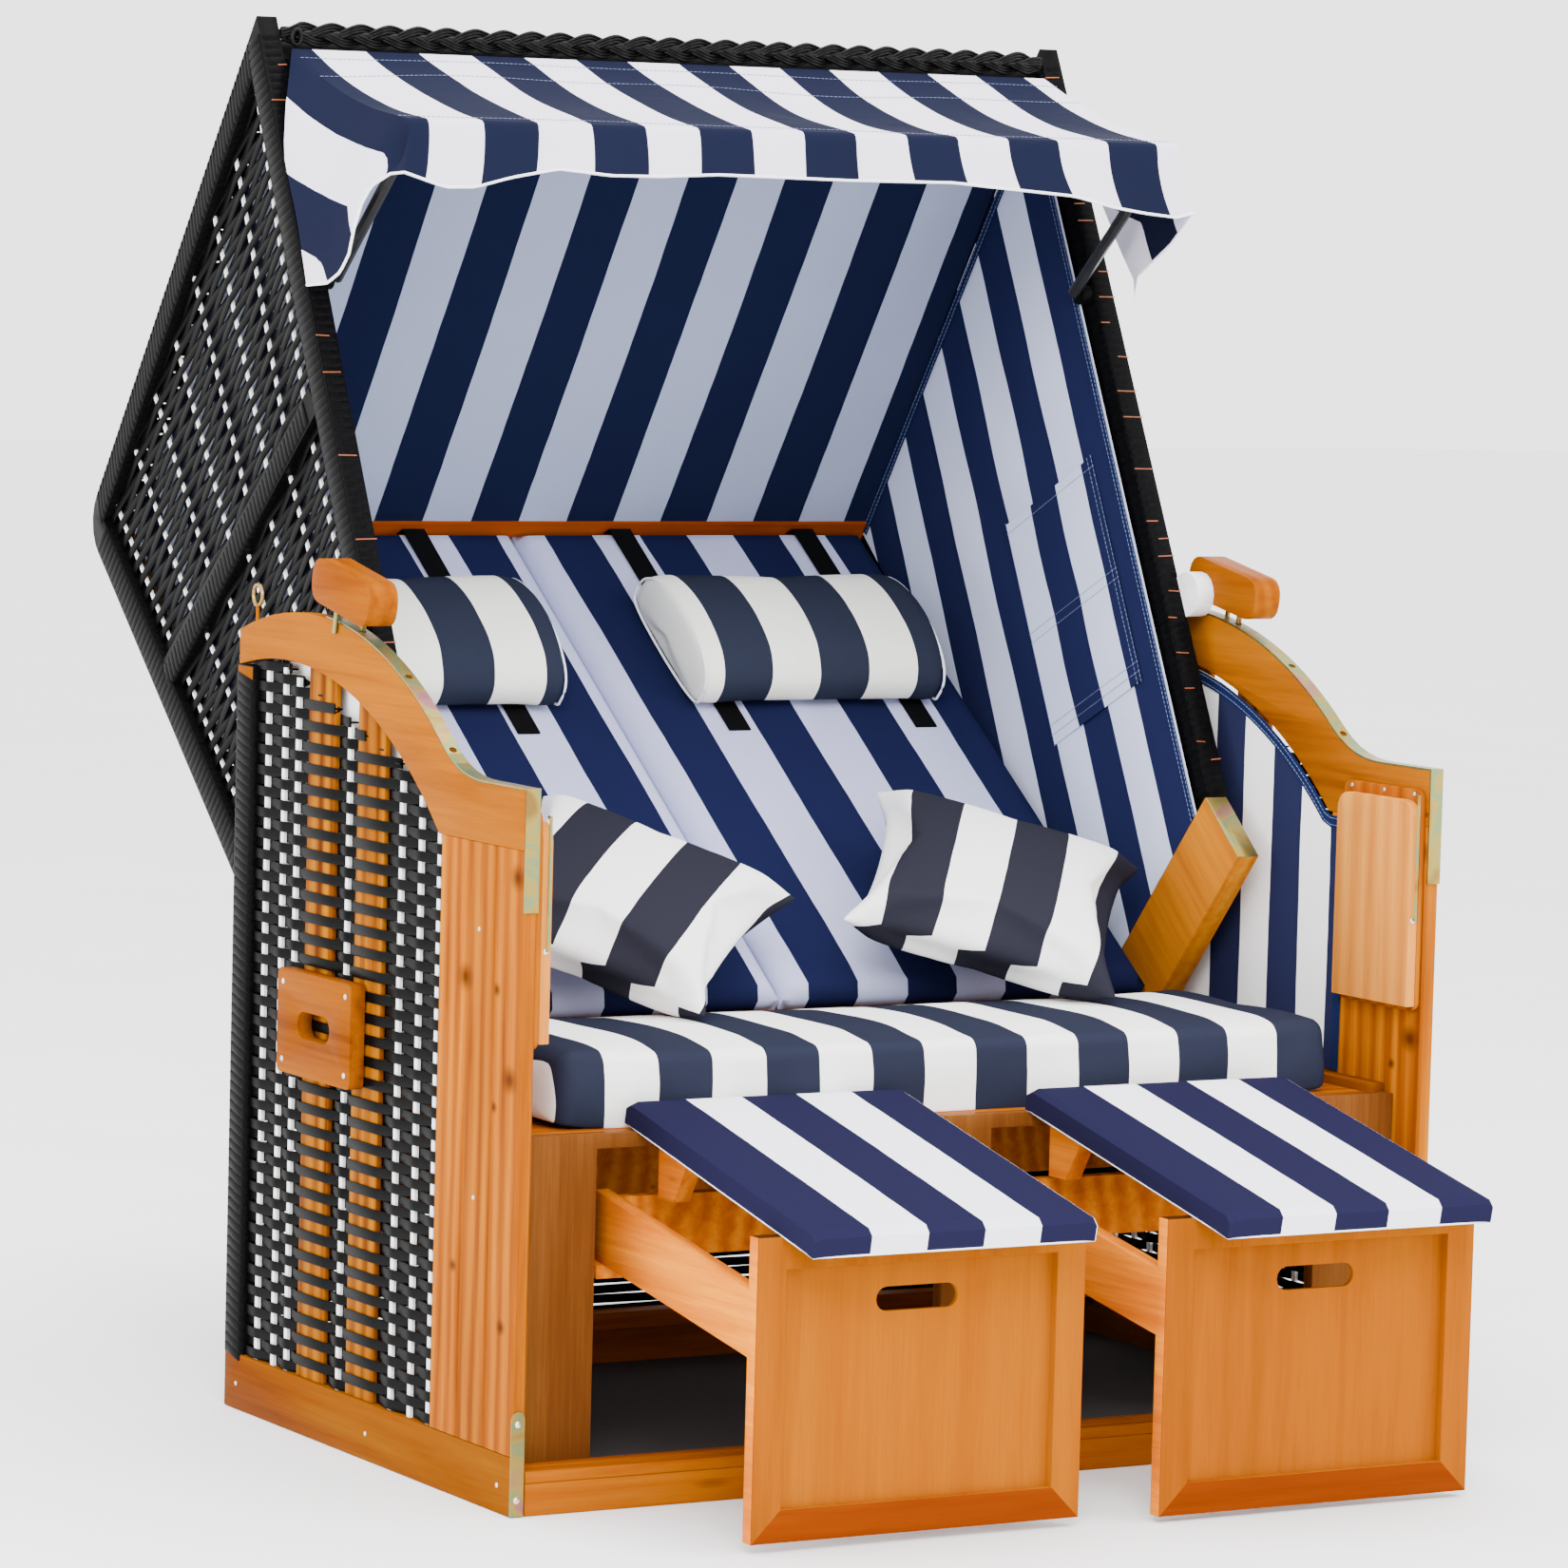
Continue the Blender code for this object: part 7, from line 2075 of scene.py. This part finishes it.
@dataclass
class ThrowPillow:
    """A square throw pillow, stuffed soft, leaning on the back with one corner on the seat."""

    side: Side
    x: float
    spin_deg: float
    white_from: float
    size: float = 0.35
    thickness: float = 0.115
    slope: float = math.radians(27.0)
    low: tuple[float, float] = (0.225, 0.4871)
    core: float = 0.62
    sunk: float = 0.012
    faces: int = 40

    def place(self) -> Matrix:
        """Matrix of the pillow's place, leaning on the back and turned in its own plane.

        Returns:
            The matrix from the pillow's own axes, with Z out of its face, to the world.
        """
        spin = math.radians(self.spin_deg)
        reach = self.size / 2 * (math.cos(spin) + abs(math.sin(spin)))
        up = Vector((0.0, math.cos(self.slope), math.sin(self.slope)))
        drop = reach * math.sin(self.slope)
        lift = max(0.0, drop * self.core + self.thickness / 2 * math.cos(self.slope) - drop)
        centre = Vector((self.x, self.low[0], self.low[1] + lift)) + up * (reach - self.sunk)
        return axes_at(X_AXIS * math.cos(spin) + up * math.sin(spin), up * math.cos(spin) - X_AXIS * math.sin(spin),
                       Vector((0.0, -math.sin(self.slope), math.cos(self.slope))), centre)

    def build(self, shop: Workshop) -> None:
        """Make the pillow: two sheets sewn at the rim, swollen by their stuffing.

        The sheets' stripes don't meet at the seam, so the rear one carries its own place across.

        Args:
            shop: The workshop.
        """
        half = self.size / 2
        points, places = [], []
        for turn in (1, -1):
            for a in steps(self.faces, -1, 1):
                for b in steps(self.faces, -1, 1):
                    x = half * a * (1 - 0.075 * (1 - b * b) * a * a)
                    y = half * b * (1 - 0.075 * (1 - a * a) * b * b)
                    full = max(0.0, (1 - a * a) * (1 - b * b)) ** 0.55
                    points.append((x, y, turn * (self.thickness / 2 - 0.02) * full))
                    inside = turn < 0 and max(abs(a), abs(b)) < 0.999
                    places.append(x - self.white_from + 0.065 + (0.03 if inside else 0.0))
        form = Form()
        form.add(points, back_to_back(self.faces, self.faces))
        mesh = form.mesh("pillow", False)
        mesh.attributes.new("across", "FLOAT", "POINT").data.foreach_set("value", places)
        weld(mesh, 0.00005)
        cover = swell(mesh, 0.02, 4.0, 20, 0.02)
        cover.transform(self.place())
        node = f"throw_pillow_{self.side.word}"
        settle(new_object(f"{node}_cover", cover, shop.stock.pillow), node, "striped_fabric", node)
        LOG.info("pillow %s dressed", self.side.word)


@dataclass
class Footrests:
    """The two pull-out footrests with their sloping pads.

    On a pad, a place is measured down its slope from the rear corner and into it from its top.
    """

    out: dict[Side, float] = field(default_factory=lambda: {Side.LEFT: 0.32, Side.RIGHT: 0.34})
    inner: float = 0.045
    outer: float = 0.447
    frame_width: float = 0.035
    slope: float = math.radians(8.7)
    pad_rear: tuple[float, float] = (0.05, 0.4003)
    pad_front: tuple[float, float] = (0.05, 0.3823)
    pad_start: float = 0.0715
    pad_run: float = 0.424
    pad_thickness: float = 0.028
    pad_round: float = 0.006
    pad_across: tuple[float, float] = (0.0765, 0.4205)

    def build(self, shop: Workshop) -> None:
        """Dress both footrests and make both pads."""
        for side in Side:
            self.box(shop, side)
            self.pad(shop, side)
            LOG.info("footrest %s dressed", side.word)

    def box(self, shop: Workshop, side: Side) -> None:
        """Show the framed panel with its rails, each board in its own wood.

        Args:
            shop: The workshop.
            side: Which side.
        """
        stock = shop.stock
        piece = shop.eased(f"footrest_box_{side.word}", stock.panel, f"footrest_{side.word}", "plywood")
        for finish in (stock.stile, stock.top_rail, stock.runner, stock.bottom_rail):
            piece.data.materials.append(finish)
        low_box, high_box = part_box(f"footrest_box_{side.word}")
        width, hair = self.frame_width, 0.0004
        for face in piece.data.polygons:
            x, y, z = abs(face.center.x), face.center.y, face.center.z
            if y > low_box[1] + 0.0185:
                face.material_index = 3
            elif x < self.inner + width - hair or x > self.outer - width + hair:
                face.material_index = 1
            elif z > high_box[2] - width + hair:
                face.material_index = 2
            elif z < low_box[2] + width - hair:
                face.material_index = 4

    def pad(self, shop: Workshop, side: Side) -> None:
        """Make one pad: a boxed cover over a board, its piping and its wooden wedge legs.

        Args:
            shop: The workshop.
            side: Which side.
        """
        out = self.out[side]
        rear = Vector(self.pad_rear)
        forward = (Vector(self.pad_front) + Vector((-out, -out * math.tan(self.slope))) - rear).normalized()
        down = Vector((-forward.y, forward.x))
        fall = forward.y / forward.x
        run, thickness, bend = self.pad_run, self.pad_thickness, self.pad_round
        rear_y = self.pad_start - out + self.out[Side.LEFT]
        corner = Vector((rear_y, rear.y + (rear_y - rear.x) * fall + thickness / abs(down.y)))
        low, high = self.pad_across

        def at(x: float, length: float, depth: float) -> Vector:
            """Place on the pad at a place across, a length down its slope and a depth into it."""
            place = corner + forward * length + down * depth
            return Vector((x, place.x, place.y))

        rings = []
        for u in steps(40):
            x = side.value * (low + (high - low) * u)
            pinch = pulled(u, high - low, 0.008, 0.004)
            ring = []
            for s in steps(46):
                length = run * s
                drop = bend - math.sqrt(max(0.0, bend ** 2 - max(0.0, bend - min(length, run - length)) ** 2))
                crown = 0.0008 * math.sin(math.pi * s) * math.sin(math.pi * u)
                ring.append(at(x, min(max(length, 0.0006), run - 0.0006), drop + 0.0006 - crown + pinch))
            ring += [at(x, length, depth) for length, depth in
                     ((run - 0.0006, 0.014), (run - 0.0006, thickness - 0.0006), (0.3, thickness - 0.0004),
                      (0.1, thickness - 0.0004), (0.0006, thickness - 0.0006), (0.0006, 0.014))]
            rings.append(ring)
        form = Form()
        form.sweep(rings)
        mesh = form.mesh("pad")
        smooth(mesh, 50.0)
        node = f"footrest_pad_{side.word}"
        settle(new_object(f"{node}_cover", mesh, shop.stock.pad[side]), node, "striped_fabric", node)
        rims = [at(side.value * x, length, thickness - 0.0012)
                for x, length in ((low + 0.0012, 0.0016), (low + 0.0012, run - 0.0016),
                                  (high - 0.0012, run - 0.0016), (high - 0.0012, 0.0016))]
        piping = Form()
        piping.tube([a.lerp(b, k / 8) for a, b in zip(rims, rims[1:] + rims[:1]) for k in range(8)], 0.0015, 6,
                    closed=True, up=Vector((0, *down)))
        for x in (low + 0.0335, high - 0.0335):
            self.leg(piping, Vector((side.value * x, *rear)), fall)
        settle(new_object(f"{node}_trim", piping.mesh("trim"), shop.stock.white_tape, shop.stock.runner), node,
               "plywood", node)

    @staticmethod
    def leg(form: Form, start: Vector, fall: float) -> None:
        """Add one wedge-shaped leg under the pad, in the form's second finish.

        Args:
            form: The form that gets it.
            start: Place on the seat frame where the pad's underside begins.
            fall: Rise of the pad for each metre towards the back.
        """
        near, far = -0.03, 0.04
        foot = start.z + (far - start.y) * fall - 0.07
        outline = [(near, start.z + (near - start.y) * fall), (far, start.z + (far - start.y) * fall),
                   (far, foot), ((near + far) / 2, foot)]
        form.sweep([[Vector((start.x + dx, y, z)) for y, z in outline] for dx in (-0.0098, 0.0098)], 1)


@dataclass
class SideTables:
    """The folding side tables with their wire stays, and the arms' wooden grips."""

    grip_reach: float = 0.556
    eye: tuple[float, float, float] = (0.5587, 0.0046, 0.6045)
    board_face: float = 0.5651

    def build(self, shop: Workshop) -> None:
        """Dress the tables, stays and grips, and set their screws."""
        for side in Side:
            shop.eased(f"table_{side.word}", shop.stock.table, f"table_{side.word}", "plywood")
            dress(f"table_stay_{side.word}", shop.stock.zinc)
            grip = shop.eased(f"handle_{side.word}", shop.stock.handle, f"handle_{side.word}", "plywood", 0.007,
                              62.0)
            grip.data.materials.append(shop.stock.zinc)
            for face in grip.data.polygons:
                if math.hypot(face.center.y - PIVOT_Y, face.center.z - PIVOT_Z) < self.grip_reach:
                    face.material_index = 1
            x, y, z = self.eye
            shop.set_screws(f"stay_screws_{side.word}", [(side.value * x, y, z)], -Y_AXIS, 0.0035,
                            f"table_{side.word}")
            shop.set_screws(f"backboard_screws_{side.word}",
                            [(side.value * self.board_face, y, 0.749) for y in (0.02, 0.08, 0.145)], -side.out,
                            0.0028, "base")
            LOG.info("table %s dressed", side.word)


@dataclass
class Awning:
    """The awning cloth over its bail, with front valance, side flaps, piping and stitches.

    The hem waves as the cloth does between its seams. Each flap hangs between the cloth's edge and
    a foot line, from its tip on the hood's front bar to the valance's corner.
    """

    half: float = 0.51
    top: tuple[float, float] = (0.779, 1.5655)
    bar: tuple[float, float] = (0.4798, 1.4779)
    hem: tuple[tuple[float, float], ...] = (
        (-0.511, 1.4262), (-0.4603, 1.4108), (-0.4223, 1.4118), (-0.3772, 1.4236), (-0.3196, 1.4347),
        (-0.2576, 1.4289), (-0.1927, 1.4295), (-0.1188, 1.4336), (0.0571, 1.4318), (0.1851, 1.4327),
        (0.3452, 1.4212), (0.3993, 1.4097), (0.4434, 1.4038), (0.4891, 1.3996), (0.51, 1.405))
    rear: dict[Side, tuple[tuple[float, float, float], ...]] = field(default_factory=lambda: {
        Side.LEFT: ((-0.51, 0.779, 1.5655), (-0.538, 0.728, 1.505), (-0.546, 0.7106, 1.4444),
                    (-0.547, 0.6723, 1.3713), (-0.547, 0.6488, 1.2963)),
        Side.RIGHT: ((0.51, 0.779, 1.5655), (0.53, 0.72, 1.47), (0.538, 0.6477, 1.3668),
                     (0.538, 0.605, 1.324), (0.536, 0.5969, 1.3022))})
    foot: dict[Side, tuple[tuple[float, float, float], ...]] = field(default_factory=lambda: {
        Side.LEFT: ((-0.547, 0.6488, 1.2963), (-0.547, 0.596, 1.2996), (-0.545, 0.5677, 1.3123),
                    (-0.542, 0.5521, 1.3326), (-0.538, 0.5485, 1.3613), (-0.532, 0.5425, 1.3899),
                    (-0.525, 0.5323, 1.4101), (-0.518, 0.5, 1.424)),
        Side.RIGHT: ((0.536, 0.5969, 1.3022), (0.536, 0.5905, 1.3288), (0.533, 0.5162, 1.3677))})
    rounding: float = 0.0085
    clearance: float = 0.002

    def profile(self, share: float, x: float) -> Vector:
        """Place of the cloth between the top bar and the bail.

        Args:
            share: 0 at the top bar, 1 over the bail.
            x: Place across.

        Returns:
            The place.
        """
        y = self.top[0] + (self.bar[0] + self.clearance - self.top[0]) * share
        z = self.top[1] + (self.bar[1] + self.rounding - self.top[1]) * share
        z -= 0.011 * math.sin(math.pi * share) * (1 + 0.35 * math.sin(7 * x))
        z += 0.0022 * math.sin(19 * x + 2.5 * math.sin(3 * share)) * math.sin(math.pi * share)
        return Vector((x, y, z))

    def column(self, x: float) -> list[Vector]:
        """Places of the cloth from the top bar over the bail to the hem.

        Args:
            x: Place across.

        Returns:
            The places.
        """
        y, z = self.bar
        column = [self.profile(share, x) for share in steps(22)]
        for t in steps(3, 0, math.pi / 2)[1:]:
            column.append(Vector((x, y + self.clearance - 0.0092 * math.sin(t),
                                  z + self.rounding * math.cos(t) + 0.0002)))
        hem = float(np.interp(x, *zip(*self.hem)))
        wider = x * (0.04 if x > 0 else 0.014)
        for s in steps(12)[1:]:
            swing = 0.004 * math.sin(13 * x + 1.1) * s + 0.0022 * math.sin(31 * x) * s
            column.append(Vector((x + wider * s * s, y - 0.0078 - 0.009 * s + swing, z + (hem - z) * s)))
        return column

    def build(self, shop: Workshop) -> None:
        """Make the cloth with its piping and stitches, and dress the bail.

        Args:
            shop: The workshop.
        """
        across = steps(96, -self.half, self.half)
        columns = [self.column(x) for x in across]
        form = Form()
        sheets = [sheet_grid(columns)]
        places = [x for x, column in zip(across, columns) for _ in column]
        edges = []
        for side in Side:
            border = columns[0 if side is Side.LEFT else -1]
            flap = self.flap(side, border)
            sheets.append(sheet_grid(flap if side is Side.LEFT else flap[::-1]))
            edge = np.array([tuple(place) for place in border])
            for vertex in sheets[-1].vertices:
                away = float(np.linalg.norm(edge - np.array(vertex.co), axis=1).min())
                places.append(side.value * (self.half + away))
            edges.append([line[-1] for line in flap])
        for sheet in sheets:
            form.add([tuple(v.co) for v in sheet.vertices], [tuple(p.vertices) for p in sheet.polygons])
        mesh = form.mesh("awning", False)
        mesh.attributes.new("across", "FLOAT", "POINT").data.foreach_set("value", places)
        weld(mesh, 0.0003)
        cloth = new_object("awning_cloth", mesh, shop.stock.awning)
        thicken(cloth, 0.0012)
        piping = Form()
        hem = [column[-1] for column in columns]
        piping.tube(edges[0][:-1] + hem + edges[1][:-1][::-1], 0.0017, 6, up=Vector((0, 0.3, 1)))
        trim = new_object("awning_piping", piping.mesh("piping"), shop.stock.white_tape)
        seams = shop.sew("awning_stitches",
                         [[column[n] + Vector((0, -0.0006, 0.0012)) for column in columns] for n in (2, 6, 21)])
        for piece in (cloth, trim, seams):
            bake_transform(piece)
        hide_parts("awning_canopy")
        dress("awning_bail", shop.stock.black_steel)
        LOG.info("awning dressed")

    def flap(self, side: Side, edge: Sequence[Vector]) -> list[list[Vector]]:
        """Places of the side flap, line by line from the tip to the valance's corner.

        Args:
            side: Which side.
            edge: Places of the cloth's edge on this side.

        Returns:
            The lines, each from the cloth's edge down to the foot.
        """
        foot = [Vector(place) for place in self.foot[side]] + [edge[-1]]
        rear = [Vector(place) for place in self.rear[side]]
        lines = []
        for start, share in zip(edge, run_shares(edge)):
            end = along(foot, share)
            line = []
            for t in steps(14):
                bulge = along(rear, t) - rear[0].lerp(rear[-1], t)
                sway = 0.004 * math.sin(9 * share + 2.5 * t) * math.sin(math.pi * t) * (1 - share)
                fold = 0.012 * math.exp(-((share - 0.84) / 0.05) ** 2) * math.sin(math.pi * t)
                place = start.lerp(end, t) + bulge * (1 - share) ** 2
                place.x += side.value * (sway - (fold if side is Side.LEFT else 0.0))
                line.append(place)
            lines.append(line)
        return lines


def run_shares(path: Sequence[Vector]) -> list[float]:
    """Share of a path's length at each of its places.

    Args:
        path: The places.

    Returns:
        The shares, from 0 to 1.
    """
    total = [0.0]
    for a, b in zip(path, path[1:]):
        total.append(total[-1] + (b - a).length)
    return [value / total[-1] for value in total]


def along(path: Sequence[Vector], share: float) -> Vector:
    """Place at a share of a path's length."""
    shares = run_shares(path)
    return Vector([float(np.interp(share, shares, [place[i] for place in path])) for i in range(3)])


@dataclass
class Staging:
    """Pale floor, soft light and the camera at the photograph's angle."""

    eye: tuple[float, float, float] = (-3.791, -6.149, 1.378)
    yaw: float = math.radians(29.75)
    pitch: float = math.radians(4.84)
    roll: float = math.radians(1.51)
    focal: float = 6939.0
    frame: float = 1650.0
    sensor: float = 36.0
    floor_half: float = 30.0
    aim: tuple[float, float, float] = (0.0, 0.3, 0.75)
    lamps: tuple[tuple[str, tuple[float, float, float], float, float, float], ...] = (
        ("key", (-2.6, -4.2, 3.6), 2.4, 2.4, 300.0), ("fill", (3.6, -3.4, 2.2), 2.6, 2.6, 150.0),
        ("left", (-4.2, 0.2, 1.8), 2.0, 2.6, 110.0), ("over", (0.0, 0.2, 4.4), 3.0, 3.0, 160.0))

    def camera(self) -> None:
        """Set the camera."""
        forward = Vector((math.sin(self.yaw) * math.cos(self.pitch), math.cos(self.yaw) * math.cos(self.pitch),
                          -math.sin(self.pitch)))
        right = Vector((math.cos(self.yaw), -math.sin(self.yaw), 0.0))
        up = right.cross(forward)
        data = bpy.data.cameras.new("view")
        data.sensor_width = self.sensor
        data.sensor_fit = "HORIZONTAL"
        data.lens = self.sensor * self.focal / self.frame
        data.clip_end = 60.0
        camera = bpy.data.objects.new("view", data)
        bpy.context.scene.collection.objects.link(camera)
        camera.matrix_world = axes_at(right * math.cos(self.roll) + up * math.sin(self.roll),
                                      up * math.cos(self.roll) - right * math.sin(self.roll), -forward,
                                      Vector(self.eye))
        bpy.context.scene.camera = camera

    def floor(self) -> None:
        """Lay the pale floor, a hair under the chair."""
        mesh = bpy.data.meshes.new("floor")
        half, level = self.floor_half, -0.0005
        mesh.from_pydata([(-half, -half, level), (half, -half, level), (half, half, level), (-half, half, level)],
                         [], [(0, 1, 2, 3)])
        finish = Plain("matt_white_floor", "f4f4f4", "f7f7f7", 0.9, 2.0, 0.0).material()
        new_object("floor", mesh, finish)

    def light(self, name: str, place: Vector, width: float, height: float, power: float) -> None:
        """Set one soft box, turned to the chair.

        Args:
            name: Name of the light.
            place: Where it stands.
            width: Its width.
            height: Its height.
            power: Its power in watts.
        """
        data = bpy.data.lights.new(name, "AREA")
        data.energy = power
        data.shape = "RECTANGLE"
        data.size = width
        data.size_y = height
        lamp = bpy.data.objects.new(name, data)
        bpy.context.scene.collection.objects.link(lamp)
        lamp.location = place
        lamp.rotation_euler = (Vector(self.aim) - place).to_track_quat("-Z", "Y").to_euler()

    def build(self) -> None:
        """Set the whole stage."""
        self.camera()
        self.floor()
        world = bpy.data.worlds.new("studio")
        bpy.context.scene.world = world
        world.use_nodes = True
        back = world.node_tree.nodes["Background"]
        back.inputs[0].default_value = (1.0, 1.0, 1.0, 1.0)
        back.inputs[1].default_value = 3.0
        for name, place, width, height, power in self.lamps:
            self.light(name, Vector(place), width, height, power)
        LOG.info("stage set")


def main() -> None:
    """Build every sub-assembly in order."""
    logging.basicConfig(level=logging.INFO, format="%(name)s: %(message)s")
    shop = Workshop()
    for part in (BaseSides(), BaseFrame(), HoodSides(), HoodShell(), HoodLining(), BackCushions(),
                 SeatCushion(), Footrests(), SideTables(), Awning(),
                 ThrowPillow(Side.LEFT, -0.24, -45.0, -0.03), ThrowPillow(Side.RIGHT, 0.258, -34.0, -0.06)):
        part.build(shop)
    Staging().build()


if __name__ == "__main__":
    main()
